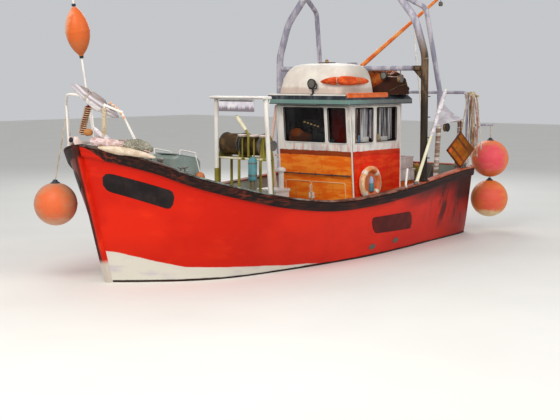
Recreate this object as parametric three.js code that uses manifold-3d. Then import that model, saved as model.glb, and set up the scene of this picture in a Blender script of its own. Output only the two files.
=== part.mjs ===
// Inshore fishing trawler, about ten metres long, at its real size in millimetres.
// +X points to the bow, +Y to port and +Z up. The origin is on the centreline, amidships, at the waterline.
import * as THREE from 'three';
import { mergeVertices } from 'three/addons/utils/BufferGeometryUtils.js';
import Module from 'manifold-3d';

const wasm = await Module();
wasm.setup();

// Driving sizes of the hull
const DECK_Z = 420;
const WALL = 90;
const GAP = 0.3;
const RUN = 0.7;
const STEM = { top: [4980, 2240], water: 4350, foot: [3450, -800], half: 50 };
const KEEL = { half: 80, soleFore: [2700, -1130], soleAft: [-3520, -1350], heelX: -4800, shoe: 90 };
const FOREDECK = { x: 2500, z: 1280, tipX: 4900, tipZ: 2120 };
const STERN_BREAK_X = -4300;

// Stations of the hull from the transom to the stem: place and height of the sheer, its half breadth,
// the half breadth at the waterline and the depth of the canoe body below the water.
const STATIONS = [
  { x: -5000, sheer: 1420, deck: 850, water: 800, depth: 240 },
  { x: -4930, sheer: 1420, deck: 1170, water: 1050, depth: 250 },
  { x: -4750, sheer: 1420, deck: 1420, water: 1240, depth: 280 },
  { x: -4450, sheer: 1420, deck: 1570, water: 1330, depth: 330 },
  { x: -3950, sheer: 1412, deck: 1660, water: 1385, depth: 430 },
  { x: -3000, sheer: 1350, deck: 1785, water: 1470, depth: 620 },
  { x: -1800, sheer: 1250, deck: 1900, water: 1600, depth: 740 },
  { x: -500, sheer: 1160, deck: 1960, water: 1670, depth: 800 },
  { x: 800, sheer: 1150, deck: 1945, water: 1590, depth: 830 },
  { x: 2000, sheer: 1295, deck: 1860, water: 1440, depth: 830 },
  { x: 3000, sheer: 1515, deck: 1660, water: 1230, depth: 820 },
  { x: 3800, sheer: 1745, deck: 1350, water: 870, depth: 810 },
  { x: 4300, sheer: 1965, deck: 1040, water: 530, depth: 800 },
  { x: 4650, sheer: 2105, deck: 700, water: 290, depth: 800 },
  { x: 4860, sheer: 2190, deck: 370, water: 130, depth: 800 },
  { x: 4970, sheer: 2240, deck: STEM.half, water: STEM.half, depth: 800 },
];

// Finishes: colour, roughness and metalness
const FINISH = {
  redPaint: [0xd2200f, 0.42, 0], darkRail: [0x3a2420, 0.6, 0], brownWood: [0x5c2f22, 0.7, 0],
  keelPaint: [0x2b2523, 0.8, 0], deckPaint: [0x6f7f78, 0.8, 0], whitePaint: [0xe4e0d8, 0.45, 0],
  orangePaint: [0xdd5b1e, 0.45, 0], mastGrey: [0x8d8a94, 0.5, 0.2], winchOlive: [0x8a7a2c, 0.55, 0.2],
  steel: [0x77716a, 0.45, 0.7], bronze: [0x9a7440, 0.4, 0.8], tealPaint: [0x5f9aa4, 0.5, 0],
  glass: [0x24282c, 0.1, 0], netOlive: [0x6b5a24, 0.9, 0], buoyOrange: [0xf0613a, 0.45, 0],
  canvasPale: [0xcfc4bd, 0.9, 0], netPink: [0xc79a8a, 0.95, 0], rustWood: [0xa3560f, 0.8, 0],
  netRed: [0xb54a22, 0.95, 0], flagGrey: [0xc9c2c6, 0.9, 0], darkMetal: [0x2c2a2b, 0.5, 0.4],
  boomOrange: [0xe07028, 0.5, 0], slateGreen: [0x6c7b76, 0.5, 0], ropeBuff: [0xb9a184, 0.9, 0],
};

const model = new THREE.Group();

// A closed three.js geometry as a manifold solid with its faces pointing out
function solidOf(geometry) {
  const bare = geometry.index ? geometry.toNonIndexed() : geometry.clone();
  bare.deleteAttribute('normal');
  bare.deleteAttribute('uv');
  const merged = mergeVertices(bare, 1e-3);
  const place = merged.attributes.position;
  const corners = merged.index.array;
  const kept = [];
  let volume = 0;
  const [a, b, c] = [new THREE.Vector3(), new THREE.Vector3(), new THREE.Vector3()];
  for (let i = 0; i < corners.length; i += 3) {
    const [p, q, r] = [corners[i], corners[i + 1], corners[i + 2]];
    if (p === q || q === r || r === p) continue;
    kept.push(p, q, r);
    a.fromBufferAttribute(place, p);
    b.fromBufferAttribute(place, q);
    c.fromBufferAttribute(place, r);
    volume += a.dot(b.cross(c));
  }
  if (volume < 0) kept.reverse();
  const mesh = new wasm.Mesh({
    numProp: 3, vertProperties: new Float32Array(place.array), triVerts: new Uint32Array(kept),
  });
  return new wasm.Manifold(mesh);
}

function geometryOf(solid) {
  const mesh = solid.getMesh();
  const geometry = new THREE.BufferGeometry();
  geometry.setAttribute('position', new THREE.BufferAttribute(new Float32Array(mesh.vertProperties), 3));
  geometry.setIndex(new THREE.BufferAttribute(new Uint32Array(mesh.triVerts), 1));
  geometry.computeVertexNormals();
  return geometry;
}

const union = (first, ...others) => others.reduce((sum, next) => sum.add(next), first);
const without = (first, ...others) => others.reduce((rest, next) => rest.subtract(next), first);

function addPart(name, solid, finish) {
  const [color, roughness, metalness] = FINISH[finish];
  const material = new THREE.MeshStandardMaterial({ color, roughness, metalness });
  const mesh = new THREE.Mesh(geometryOf(solid), material);
  mesh.name = name;
  model.add(mesh);
}

// Plain shapes
function block([x0, x1], [y0, y1], [z0, z1]) {
  const geometry = new THREE.BoxGeometry(x1 - x0, y1 - y0, z1 - z0);
  return solidOf(geometry.translate((x0 + x1) / 2, (y0 + y1) / 2, (z0 + z1) / 2));
}

function rod(from, to, radius, sides = 10, topRadius = radius) {
  const start = new THREE.Vector3(...from);
  const line = new THREE.Vector3(...to).sub(start);
  const geometry = new THREE.CylinderGeometry(topRadius, radius, line.length(), sides);
  const turn = new THREE.Quaternion().setFromUnitVectors(new THREE.Vector3(0, 1, 0), line.clone().normalize());
  const middle = start.clone().addScaledVector(line, 0.5);
  return solidOf(geometry.applyQuaternion(turn).translate(middle.x, middle.y, middle.z));
}

function ball([x, y, z], radius, around = 16, down = 10, stretch = [1, 1, 1]) {
  const geometry = new THREE.SphereGeometry(radius, around, down).rotateX(Math.PI / 2).scale(...stretch);
  return solidOf(geometry.translate(x, y, z));
}

// A bent tube through its corner points, mitred at each of them
function pipe(points, radius, sides = 8) {
  const places = points.map((p) => new THREE.Vector3(...p));
  const ways = places.slice(1).map((end, i) => end.clone().sub(places[i]).normalize());
  const turn = new THREE.Quaternion().setFromUnitVectors(new THREE.Vector3(0, 0, 1), ways[0]);
  let ring = Array.from({ length: sides }, (_, i) => {
    const angle = (2 * Math.PI * i) / sides;
    const spoke = new THREE.Vector3(radius * Math.cos(angle), radius * Math.sin(angle), 0);
    return spoke.applyQuaternion(turn).add(places[0]);
  });
  const rings = [ring];
  ways.forEach((way, i) => {
    const plane = way.clone().add(ways[i + 1] ?? way);
    const end = places[i + 1];
    ring = ring.map((q) => q.clone().addScaledVector(way, end.clone().sub(q).dot(plane) / way.dot(plane)));
    rings.push(ring);
  });
  return loft(rings.map((corners) => corners.map((q) => q.toArray())));
}

// An outline in the side plane or the cross plane, drawn out along the other axis from place to place
const PLANES = {
  xz: (from, to) => new THREE.Matrix4().makeBasis(
    new THREE.Vector3(1, 0, 0), new THREE.Vector3(0, 0, 1), new THREE.Vector3(0, -1, 0)).setPosition(0, to, 0),
  yz: (from) => new THREE.Matrix4().makeBasis(
    new THREE.Vector3(0, 1, 0), new THREE.Vector3(0, 0, 1), new THREE.Vector3(1, 0, 0)).setPosition(from, 0, 0),
};

function prism(plane, outline, [from, to]) {
  const shape = new THREE.Shape(outline.map(([u, v]) => new THREE.Vector2(u, v)));
  const geometry = new THREE.ExtrudeGeometry(shape, { depth: to - from, bevelEnabled: false });
  return solidOf(geometry.applyMatrix4(PLANES[plane](from, to)));
}

// A profile of radius and height turned about an axis through a place
function turned(profile, axis, [x, y, z], sides = 24) {
  const geometry = new THREE.LatheGeometry(profile.map(([r, h]) => new THREE.Vector2(r, h)), sides);
  const target = { x: [1, 0, 0], y: [0, 1, 0], z: [0, 0, 1] }[axis];
  const turn = new THREE.Quaternion().setFromUnitVectors(new THREE.Vector3(0, 1, 0), new THREE.Vector3(...target));
  return solidOf(geometry.applyQuaternion(turn).translate(x, y, z));
}

// Triangles that close one flat ring, wound the way that its corners run
function endCap(ring) {
  const places = ring.map((p) => new THREE.Vector3(...p));
  const normal = new THREE.Vector3();
  places.forEach((p, i) => normal.add(p.clone().cross(places[(i + 1) % places.length])));
  const flat = new THREE.Quaternion().setFromUnitVectors(normal.normalize(), new THREE.Vector3(0, 0, 1));
  const drawn = places.map((p) => p.clone().applyQuaternion(flat)).map(({ x, y }) => new THREE.Vector2(x, y));
  return THREE.ShapeUtils.triangulateShape(drawn, []).map(([i, j, k]) => (
    drawn[j].clone().sub(drawn[i]).cross(drawn[k].clone().sub(drawn[i])) > 0 ? [i, j, k] : [i, k, j]));
}

// The same for a ring whose second half mirrors the first: strips from side to side
function mirroredCap(ring) {
  const last = ring.length - 1;
  return Array.from({ length: ring.length / 2 - 1 }, (_, i) => (
    [[i, i + 1, last - i], [i + 1, last - i - 1, last - i]])).flat();
}

// A skin over closed rings of equal length, with both ends capped
function loft(rings, cap = endCap) {
  const points = [];
  const corners = [];
  const count = rings[0].length;
  const at = (ring, i) => ring * count + (i % count);
  rings.forEach((ring) => ring.forEach((p) => points.push(...p)));
  for (let r = 0; r + 1 < rings.length; r++) {
    for (let i = 0; i < count; i++) {
      corners.push(at(r, i), at(r, i + 1), at(r + 1, i + 1), at(r, i), at(r + 1, i + 1), at(r + 1, i));
    }
  }
  [[0, true], [rings.length - 1, false]].forEach(([r, first]) => {
    cap(rings[r]).forEach(([i, j, k]) => corners.push(...(first ? [at(r, k), at(r, j), at(r, i)]
      : [at(r, i), at(r, j), at(r, k)])));
  });
  const geometry = new THREE.BufferGeometry();
  geometry.setAttribute('position', new THREE.Float32BufferAttribute(points, 3));
  geometry.setIndex(corners);
  return solidOf(geometry);
}

// Smooth values between the stations: number 0 is the transom, the last one the stem
const LAST = STATIONS.length - 1;
const stationCurve = new THREE.CubicInterpolant(
  STATIONS.map((_, i) => i), STATIONS.flatMap((s) => [s.x, s.sheer, s.deck, s.water, s.depth]), 5);
function station(number) {
  const [x, sheer, deck, water, depth] = stationCurve.evaluate(THREE.MathUtils.clamp(number, 0, LAST));
  return { x, sheer, deck, water, depth };
}

// The stem leans back below its head, and the stations near it lean with it
function stemX(z) {
  if (z >= 0) return STEM.water + (STEM.top[0] - STEM.water) * (z / STEM.top[1]);
  return STEM.water - (STEM.water - STEM.foot[0]) * (z / STEM.foot[1]) ** 1.6;
}
const leanShare = (x) => THREE.MathUtils.clamp((x - FOREDECK.x) / (STEM.top[0] - FOREDECK.x), 0, 1) ** 1.5;

// A point of the port side at a height: above the water between the waterline and the sheer,
// below it on the round of the bilge
function sidePoint({ x, sheer, deck, water, depth }, z) {
  const share = leanShare(x);
  const place = x - (STEM.top[0] - stemX(z)) * share;
  if (z >= 0) return [place, water + (deck - water) * (z / sheer) ** (0.8 + 0.5 * share), z];
  const down = Math.min(-z / depth, 1);
  return [place, KEEL.half + Math.max(water - KEEL.half, 0) * (1 - down ** 2.2) ** 0.75, z];
}

const HEIGHTS = [1, 0.75, 0.5, 0.25, 0];
const DEPTHS = [0.3, 0.55, 0.75, 0.9, 1];
const STEPS = Array.from({ length: 2 * LAST + 1 }, (_, i) => i / 2);

function hullLoft(inset = 0, lift = 0) {
  const rings = STEPS.map((number) => {
    const s = station(number);
    const inner = { ...s, deck: Math.max(s.deck - inset, 8), water: Math.max(s.water - inset, 6) };
    const heights = [...HEIGHTS.map((h) => h * s.sheer), ...DEPTHS.map((d) => -d * s.depth)];
    const side = heights.map((z) => sidePoint(inner, z)).map(([x, y, z]) => [x, Math.min(y, 4000), z]);
    if (lift > 0) side.unshift([side[0][0], side[0][1], s.sheer + lift]);
    const squeezed = side.map(([x, y, z]) => [x * (1 - (1.2 * inset) / STEM.top[0]), y, z]);
    return [...squeezed, ...squeezed.map(([x, y, z]) => [x, -y, z]).reverse()];
  });
  return loft(rings, mirroredCap);
}

const foredeckZ = (x) => FOREDECK.z + ((FOREDECK.tipZ - FOREDECK.z) * (x - FOREDECK.x)) / (FOREDECK.tipX - FOREDECK.x);
const farForward = 5600;
const aboveForedeck = (lift) => prism('xz', [
  [FOREDECK.x, foredeckZ(FOREDECK.x) + lift], [farForward, foredeckZ(farForward) + lift],
  [farForward, 4500], [FOREDECK.x, 4500]], [-2200, 2200]);

// Hull, bulwarks, rails and stem
const shell = hullLoft();
const inside = hullLoft(WALL, 80);
const wellAbove = block([-5400, FOREDECK.x], [-2200, 2200], [DECK_Z, 3000]);
const RUDDER = { x: -4400, halfThick: 28, stock: 25, pin: 19, top: -420, bottom: -1235, fore: -4230, aft: -4760 };
const rudderBore = rod([RUDDER.x, 0, -500], [RUDDER.x, 0, -120], RUDDER.stock + RUN, 16);
const hull = without(shell, wellAbove, inside.intersect(aboveForedeck(0)), rudderBore);
addPart('hull', hull, 'redPaint');

const bulwarks = without(shell.intersect(block([-5400, FOREDECK.x - GAP], [-2200, 2200], [DECK_Z + GAP, 3000])),
  inside);
const sideCut = (ySpan) => block([STERN_BREAK_X + GAP / 2, farForward], ySpan, [0, 3000]);
addPart('bulwark_port', bulwarks.intersect(sideCut([0, 2200])), 'redPaint');
addPart('bulwark_starboard', bulwarks.intersect(sideCut([-2200, 0])), 'redPaint');
addPart('bulwark_stern', bulwarks.intersect(block([-5400, STERN_BREAK_X - GAP / 2], [-2200, 2200], [0, 3000])),
  'redPaint');

// The stem post stands proud of the hull and runs round the forefoot
const stemLine = [2300, 1600, 900, 300, 0, -250, -450, -620, -760].map((z) => [stemX(z), z]);
const stemOutline = (proud, back = 60) => [
  ...stemLine.map(([x, z]) => [x + proud, z - proud * 0.35]),
  ...[...stemLine].reverse().map(([x, z]) => [x - back, z])];
const besideShell = hullLoft(-GAP, GAP);
const stemPost = without(prism('xz', stemOutline(70), [-STEM.half - 5, STEM.half + 5]),
  besideShell, block([2000, 5400], [-100, 100], [2275, 2600]));
addPart('stem_post', stemPost, 'brownWood');

// Rub band below the sheer with the cap rail on top, as one L section that follows the sheer. Its inner
// faces start inside the hull and are then cut to the hull's own skin.
const RAIL = { proud: 45, band: 165, cap: 30, inboard: 40, into: 20, besideStem: STEM.half + 5 + GAP };
const ringStations = STEPS.map((number) => station(number));

// Height of the sheer at a place along the boat, straight between the hull's rings
function sheerAt(x) {
  const after = Math.max(1, ringStations.findIndex((s) => s.x >= x));
  const [a, b] = x > STEM.top[0] - 10 ? ringStations.slice(-2) : [ringStations[after - 1], ringStations[after]];
  return a.sheer + ((b.sheer - a.sheer) * Math.max(x - a.x, 0)) / (b.x - a.x);
}
const capAt = (x) => sheerAt(x) + RAIL.cap;

function gunwale(side) {
  const inboard = -WALL - RAIL.inboard;
  const sections = ringStations.map((s, i) => {
    const before = ringStations[Math.max(i - 1, 0)];
    const after = ringStations[Math.min(i + 1, ringStations.length - 1)];
    const along = new THREE.Vector2(after.x - before.x, after.deck - before.deck).normalize();
    const out = i === 0 ? new THREE.Vector2(-0.9, 0.44) : new THREE.Vector2(-along.y, along.x);
    const [topX, topY] = sidePoint(s, s.sheer);
    const [lowX, lowY, lowZ] = sidePoint(s, s.sheer - RAIL.band);
    const beside = (y) => side * Math.max(y, RAIL.besideStem);
    const onTop = (d, up) => [topX + out.x * d, beside(topY + out.y * d), sheerAt(topX + out.x * d) + up];
    const below = (d) => [lowX + out.x * d, beside(lowY + out.y * d), lowZ];
    return [onTop(RAIL.proud, RAIL.cap), below(RAIL.proud), below(-RAIL.into), onTop(-RAIL.into, -RAIL.into),
      onTop(inboard, -RAIL.into), onTop(inboard, RAIL.cap)];
  });
  const { x, sheer } = ringStations[0];
  const across = [[RAIL.proud, RAIL.cap], [RAIL.proud, -RAIL.band], [-RAIL.into, -RAIL.band],
    [-RAIL.into, -RAIL.into], [inboard, -RAIL.into], [inboard, RAIL.cap]];
  const atTransom = across.map(([d, up]) => [x - d, (side * GAP) / 2, sheer + up]);
  return without(loft([atTransom, ...sections]), besideShell);
}
const rails = { port: gunwale(1), starboard: gunwale(-1) };
addPart('gunwale_port', rails.port, 'darkRail');
addPart('gunwale_starboard', rails.starboard, 'darkRail');
const aboveRails = Object.values(rails).flatMap((rail) => [rail, rail.translate(0, 0, GAP)]);

// Keel with its flat sole, the propeller aperture and the shoe that carries the rudder's heel
const PROPELLER = { x: -3860, z: -850, radius: 330, hub: 62, shaft: 34 };
const keelOutline = [
  [3350, -500], [3300, -720], [3050, -960], KEEL.soleFore, [-1000, -1350], KEEL.soleAft, [KEEL.heelX, -1350],
  [KEEL.heelX, -1350 + KEEL.shoe], [-3640, -1350 + KEEL.shoe], [-3560, -1150], [-3560, -300]];
const keelPlate = prism('xz', keelOutline, [-KEEL.half + 10, KEEL.half - 10]);
const bossing = rod([-3400, 0, PROPELLER.z], [-3640, 0, PROPELLER.z], 125, 20, 85);
const shaftBore = rod([-3500, 0, PROPELLER.z], [-3700, 0, PROPELLER.z], PROPELLER.shaft + RUN, 20);
const heelBore = rod([RUDDER.x, 0, -1300], [RUDDER.x, 0, -1200], RUDDER.pin + RUN, 16);
addPart('keel', without(union(keelPlate, bossing), shaftBore, heelBore, shell.translate(0, 0, -GAP),
  stemPost.translate(0, 0, -GAP * 2), stemPost.translate(-GAP * 2, 0, 0)), 'keelPaint');

// Propeller with three broad blades, and the rudder
const bladeOutline = [[0, 20], [65, 60], [135, 180], [148, 260], [100, 320], [0, 330], [-100, 320], [-148, 260],
  [-135, 180], [-65, 60]];
const blades = [0, 120, 240].map((turn) => prism('yz', bladeOutline, [-8, 8]).rotate(0, 0, 35).rotate(turn, 0, 0)
  .translate(PROPELLER.x, 0, PROPELLER.z));
const hub = turned([[0, -110], [30, -105], [52, -70], [PROPELLER.hub, 0], [58, 90], [PROPELLER.shaft, 92],
  [PROPELLER.shaft, 330], [0, 330]], 'x', [PROPELLER.x, 0, PROPELLER.z], 20);
addPart('propeller', union(hub, ...blades), 'bronze');

const rudderPlate = prism('xz', [[RUDDER.fore, RUDDER.top], [RUDDER.aft, RUDDER.top + 20],
  [RUDDER.aft, RUDDER.bottom + 60], [RUDDER.aft + 60, RUDDER.bottom], [RUDDER.fore, RUDDER.bottom]],
[-RUDDER.halfThick, RUDDER.halfThick]);
const rudderStock = rod([RUDDER.x, 0, RUDDER.top - 60], [RUDDER.x, 0, -130], RUDDER.stock, 16);
const rudderPin = rod([RUDDER.x, 0, RUDDER.bottom + 30], [RUDDER.x, 0, -1290], RUDDER.pin, 16);
addPart('rudder', union(rudderPlate, rudderStock, rudderPin), 'keelPaint');

// Foredeck: companion hood, mooring bitts, stem roller, pulpit and what is stowed there
const HOOD = { x: [2520, 3120], y: 300, top: 2010, back: 1880 };
addPart('companion_hood', prism('xz', [
  [HOOD.x[0], foredeckZ(HOOD.x[0]) + GAP], [HOOD.x[1], foredeckZ(HOOD.x[1]) + GAP], [HOOD.x[1] - 30, HOOD.top - 60],
  [HOOD.x[1] - 90, HOOD.top], [HOOD.x[0] + 60, HOOD.back + 60], [HOOD.x[0], HOOD.back]], [-HOOD.y, HOOD.y]),
'slateGreen');

const bittsX = 3320;
addPart('mooring_bitts', union(
  ...[-140, 140].map((y) => block([bittsX - 45, bittsX + 45], [y - 45, y + 45],
    [foredeckZ(bittsX + 45) + GAP, foredeckZ(bittsX) + 400])),
  rod([bittsX, -260, foredeckZ(bittsX) + 290], [bittsX, 260, foredeckZ(bittsX) + 290], 24)), 'steel');

const rollerX = 4880;
addPart('stem_roller', without(union(
  prism('xz', [[4700, 2275], [5110, 2275], [5130, 2330], [5110, 2390], [5030, 2390], [4990, 2320], [4700, 2290]],
    [-70, 70])), block([4985, 5200], [-50, 50], [2290, 2500]), ...aboveRails), 'steel');

// The pulpit rail rises from the quarters of the foredeck to its high nose above the stem
const PULPIT = { radius: 20, nose: [5110, 0, 3060], foot: [[4400, 855], [4820, 410]] };
const pulpitTop = (side) => [[4640, side * 640, 2780], [4820, side * 450, 2890], [5070, side * 130, 3045]];
const pulpitLegs = (radius) => [1, -1].flatMap((side) => pulpitTop(side).slice(0, 2).map((top, i) => {
  const [x, y] = PULPIT.foot[i];
  return pipe([[x, side * y, capAt(x) - 3], [x, side * y, capAt(x) + 50], top], radius, 8);
}));
const pulpitFrame = (radius) => union(
  pipe([...pulpitTop(1), PULPIT.nose, ...pulpitTop(-1).reverse()], radius), ...pulpitLegs(radius));
const pulpit = without(pulpitFrame(PULPIT.radius), ...aboveRails);
const besidePulpit = pulpitFrame(PULPIT.radius + 2 * GAP);
addPart('bow_pulpit', pulpit, 'whitePaint');

// Soft shapes on the bow: a canvas furled and lashed along the port rail, and a heap of net and rope
function spindle(from, to, radius, sides = 14) {
  const start = new THREE.Vector3(...from);
  const line = new THREE.Vector3(...to).sub(start);
  const profile = [0, 0.12, 0.3, 0.5, 0.7, 0.88, 1].map((t) => new THREE.Vector2(
    t === 0 || t === 1 ? 0 : radius * Math.sin(Math.PI * t) ** 0.6, t * line.length()));
  const geometry = new THREE.LatheGeometry(profile, sides);
  const turn = new THREE.Quaternion().setFromUnitVectors(new THREE.Vector3(0, 1, 0), line.clone().normalize());
  return solidOf(geometry.applyQuaternion(turn).translate(...start.toArray()));
}
addPart('furled_canvas', without(spindle([5150, 60, 3215], [4600, 540, 2685], 120), besidePulpit), 'canvasPale');

const HEAP = { x: 4080, length: 640, half: 400, height: 470 };
const heapSlope = Math.atan2(FOREDECK.tipZ - FOREDECK.z, FOREDECK.tipX - FOREDECK.x);
const heapRound = solidOf(new THREE.SphereGeometry(1, 18, 12).scale(HEAP.length, HEAP.half, HEAP.height)
  .rotateY(-heapSlope).translate(HEAP.x, 0, foredeckZ(HEAP.x)));
addPart('foredeck_net_heap', heapRound.intersect(aboveForedeck(GAP)), 'netPink');

const DAN = { foot: [4130, -500, foredeckZ(4130) - 6], top: [4610, -500, 4620], radius: 17 };
const danPoint = (t) => DAN.foot.map((v, i) => v + (DAN.top[i] - v) * t);
const danFloat = spindle(danPoint(0.655), danPoint(0.935), 195, 16);
addPart('dan_buoy', without(union(rod(DAN.foot, DAN.top, DAN.radius, 10), danFloat), besidePulpit,
  hull.translate(0, 0, GAP)), 'buoyOrange');

// Ball fender slung outside the starboard bow
const FENDER = { at: [4840, -740, 1270], radius: 350 };
const fenderEye = [FENDER.at[0], FENDER.at[1], FENDER.at[2] + FENDER.radius + 50];
addPart('bow_fender', without(union(ball(FENDER.at, FENDER.radius, 16, 10),
  rod([FENDER.at[0], FENDER.at[1], fenderEye[2] - 90], fenderEye, 45, 12, 28),
  rod(fenderEye, [4630, -675, 2765], 11, 8)), besidePulpit), 'buoyOrange');

// Working deck: hold casing with its hatch, goalpost shelter, winch, tank and locker
const CASING = { x: [150, 2250], y: 750, top: 950 };
const HATCH = { x: [1480, 2080], y: 330, well: 480, coaming: 60, pin: 7, barrels: [-220, 220] };
const lidZ = CASING.top + HATCH.coaming;
const LID = { hingeX: HATCH.x[1] + 75, hingeZ: lidZ + 30 };
addPart('hold_casing', without(union(
  block(CASING.x, [-CASING.y, CASING.y], [DECK_Z + GAP, CASING.top]),
  block([HATCH.x[0] - 50, HATCH.x[1] + 50], [-HATCH.y - 50, HATCH.y + 50], [CASING.top - 20, lidZ]),
  ...HATCH.barrels.flatMap((y) => [-1, 1].map((s) => block([LID.hingeX - 14, LID.hingeX + 14],
    [y + s * 52 - 8, y + s * 52 + 8], [CASING.top - 10, LID.hingeZ + 14]))),
  ...HATCH.barrels.map((y) => rod([LID.hingeX, y - 50, LID.hingeZ], [LID.hingeX, y + 50, LID.hingeZ], HATCH.pin, 10))),
block(HATCH.x, [-HATCH.y, HATCH.y], [HATCH.well, CASING.top + 200])), 'deckPaint');

addPart('hatch_lid', without(union(
  block([HATCH.x[0] - 60, HATCH.x[1] + 40], [-HATCH.y - 60, HATCH.y + 60], [lidZ + GAP, lidZ + 45]),
  ...HATCH.barrels.map((y) => rod([LID.hingeX, y - 38, LID.hingeZ], [LID.hingeX, y + 38, LID.hingeZ], 14, 10)),
  ...HATCH.barrels.map((y) => block([LID.hingeX - 42, LID.hingeX], [y - 38, y + 38], [lidZ + 22, lidZ + 40])),
  pipe([[HATCH.x[0] + 60, -70, lidZ + 40], [HATCH.x[0] + 60, -70, lidZ + 85],
    [HATCH.x[0] + 60, 70, lidZ + 85], [HATCH.x[0] + 60, 70, lidZ + 40]], 9)),
...HATCH.barrels.map((y) => rod([LID.hingeX, y - 60, LID.hingeZ], [LID.hingeX, y + 60, LID.hingeZ], HATCH.pin + RUN,
  10))), 'deckPaint');

const SHELTER = { x: 1080, feet: [-640, 690], heads: [-640, 555], post: 38, barZ: 2930, boardFoot: 2700 };
const shelterPosts = union(...SHELTER.feet.map((y, i) => rod([SHELTER.x, y, CASING.top - 20],
  [SHELTER.x, SHELTER.heads[i], SHELTER.barZ + 10], SHELTER.post, 12)));
addPart('shelter_frame', without(union(shelterPosts,
  block([SHELTER.x - 120, SHELTER.x + 120], [-710, 610], [SHELTER.barZ, SHELTER.barZ + 50])),
block(CASING.x, [-CASING.y, CASING.y], [DECK_Z, CASING.top + GAP])), 'whitePaint');
addPart('shelter_board', block([SHELTER.x + 46, SHELTER.x + 70], [-520, 330], [SHELTER.boardFoot, SHELTER.barZ - GAP]),
  'whitePaint');

// Trawl winch: a raised frame of plates and legs, and two rope drums on one cross shaft
const WINCH = { x: 790, z: 2080, table: 1810, flange: 225, shaft: 30, ends: [-680, -190, 330], rope: 190, front: 245 };
const HANDWHEELS = [-40, 240, 470];
const winchCheek = (y) => without(union(
  prism('xz', [[WINCH.x - 190, WINCH.table], [WINCH.x + 190, WINCH.table], [WINCH.x + 110, WINCH.table + 430],
    [WINCH.x - 110, WINCH.table + 430]], [y - 14, y + 14]),
  ...[-170, 170].map((dx) => rod([WINCH.x + dx, y, CASING.top + GAP], [WINCH.x + dx, y, WINCH.table + 40], 26, 8))),
rod([WINCH.x, y - 60, WINCH.z], [WINCH.x, y + 60, WINCH.z], WINCH.shaft + RUN, 16));
const winchRail = (x0, x1, port) => block([WINCH.x + x0, WINCH.x + x1], [WINCH.ends[0] - 14, port],
  [WINCH.table, WINCH.table + 36]);
const handwheel = (y) => union(
  block([WINCH.x + 140, WINCH.x + WINCH.front + 20], [y - 22, y + 22], [WINCH.table + 2, WINCH.table + 34]),
  rod([WINCH.x + WINCH.front, y, WINCH.table + 10], [WINCH.x + WINCH.front, y, 2262], 14, 8),
  turned([[0, -8], [70, -12], [82, 0], [70, 12], [0, 8]], 'z', [WINCH.x + WINCH.front, y, 2262], 14));
addPart('winch_frame', union(...WINCH.ends.map(winchCheek), winchRail(-180, -150, WINCH.ends[2] + 14),
  winchRail(150, 180, HANDWHEELS[2] + 24), ...HANDWHEELS.map(handwheel),
  pipe([[WINCH.x + 165, 120, WINCH.table + 20], [WINCH.x + WINCH.front + 15, 120, WINCH.table + 80],
    [WINCH.x + WINCH.front + 15, 120, 2290], [WINCH.x + WINCH.front + 15, -170, 2620]], 22, 8)), 'winchOlive');

const drum = ([y0, y1]) => turned([[0, y0], [WINCH.flange, y0], [WINCH.flange, y0 + 18], [WINCH.rope, y0 + 20],
  [WINCH.rope, y1 - 20], [WINCH.flange, y1 - 18], [WINCH.flange, y1], [0, y1]], 'y', [WINCH.x, 0, WINCH.z], 20);
const warpingHead = (y) => turned([[0, -70], [95, -70], [62, -30], [62, 30], [95, 70], [0, 70]], 'y',
  [WINCH.x, y, WINCH.z], 16);
addPart('winch_drums', union(
  drum([WINCH.ends[0] + 22, WINCH.ends[1] - 22]), drum([WINCH.ends[1] + 22, WINCH.ends[2] - 22]),
  rod([WINCH.x, WINCH.ends[0] - 170, WINCH.z], [WINCH.x, WINCH.ends[2] + 170, WINCH.z], WINCH.shaft, 16),
  warpingHead(WINCH.ends[0] - 110), warpingHead(WINCH.ends[2] + 110)), 'steel');

const TANK = { at: [1210, 357], radius: 80, top: 1880, length: 420 };
addPart('oil_tank', union(
  turned([[0, 0], [TANK.radius, 0], [TANK.radius, TANK.length - 40], [TANK.radius * 0.6, TANK.length], [0, TANK.length]],
    'z', [...TANK.at, TANK.top - TANK.length], 16),
  ...[-45, 45].map((d) => rod([TANK.at[0], TANK.at[1] + d, CASING.top + GAP],
    [TANK.at[0], TANK.at[1] + d, TANK.top - TANK.length + 15], 16, 8))), 'tealPaint');

const LOCKER = { x: [-760, -330], y: [-860, -380], top: 1140 };
addPart('deck_locker', union(block(LOCKER.x, LOCKER.y, [DECK_Z + GAP, LOCKER.top]),
  rod([LOCKER.x[0] + 90, -520, LOCKER.top - 10], [LOCKER.x[0] + 90, -520, 1500], 55, 14),
  ball([LOCKER.x[0] + 90, -520, 1500], 90, 16, 8, [1, 1, 0.6])), 'whitePaint');

// Wheelhouse: four walls, a roof and glass, hollow inside. The front leans forward as it rises.
const HOUSE = { front: -1000, rake: 200, back: -2750, y: 900, wall: 40, eave: 2800, sill: 2060, head: 2730 };
const frontX = (z) => HOUSE.front - (HOUSE.rake * (HOUSE.eave - z)) / (HOUSE.eave - DECK_Z);
const slantedWall = (offset, thick, ySpan, [z0, z1]) => prism('xz', [
  [frontX(z0) - offset, z0], [frontX(z1) - offset, z1], [frontX(z1) - offset - thick, z1],
  [frontX(z0) - offset - thick, z0]], ySpan);
const FRONT_WINDOWS = [[-740, 270], [360, 790]];
const SIDE_WINDOWS = [[-1780, -1180], [-2600, -1900]];
const wallFoot = DECK_Z + GAP;
const wallTop = HOUSE.eave - GAP;
addPart('wheelhouse_front', without(slantedWall(0, HOUSE.wall, [-HOUSE.y, HOUSE.y], [wallFoot, wallTop]),
  ...FRONT_WINDOWS.map((span) => block([-1400, -800], span, [HOUSE.sill, HOUSE.head]))), 'orangePaint');
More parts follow.
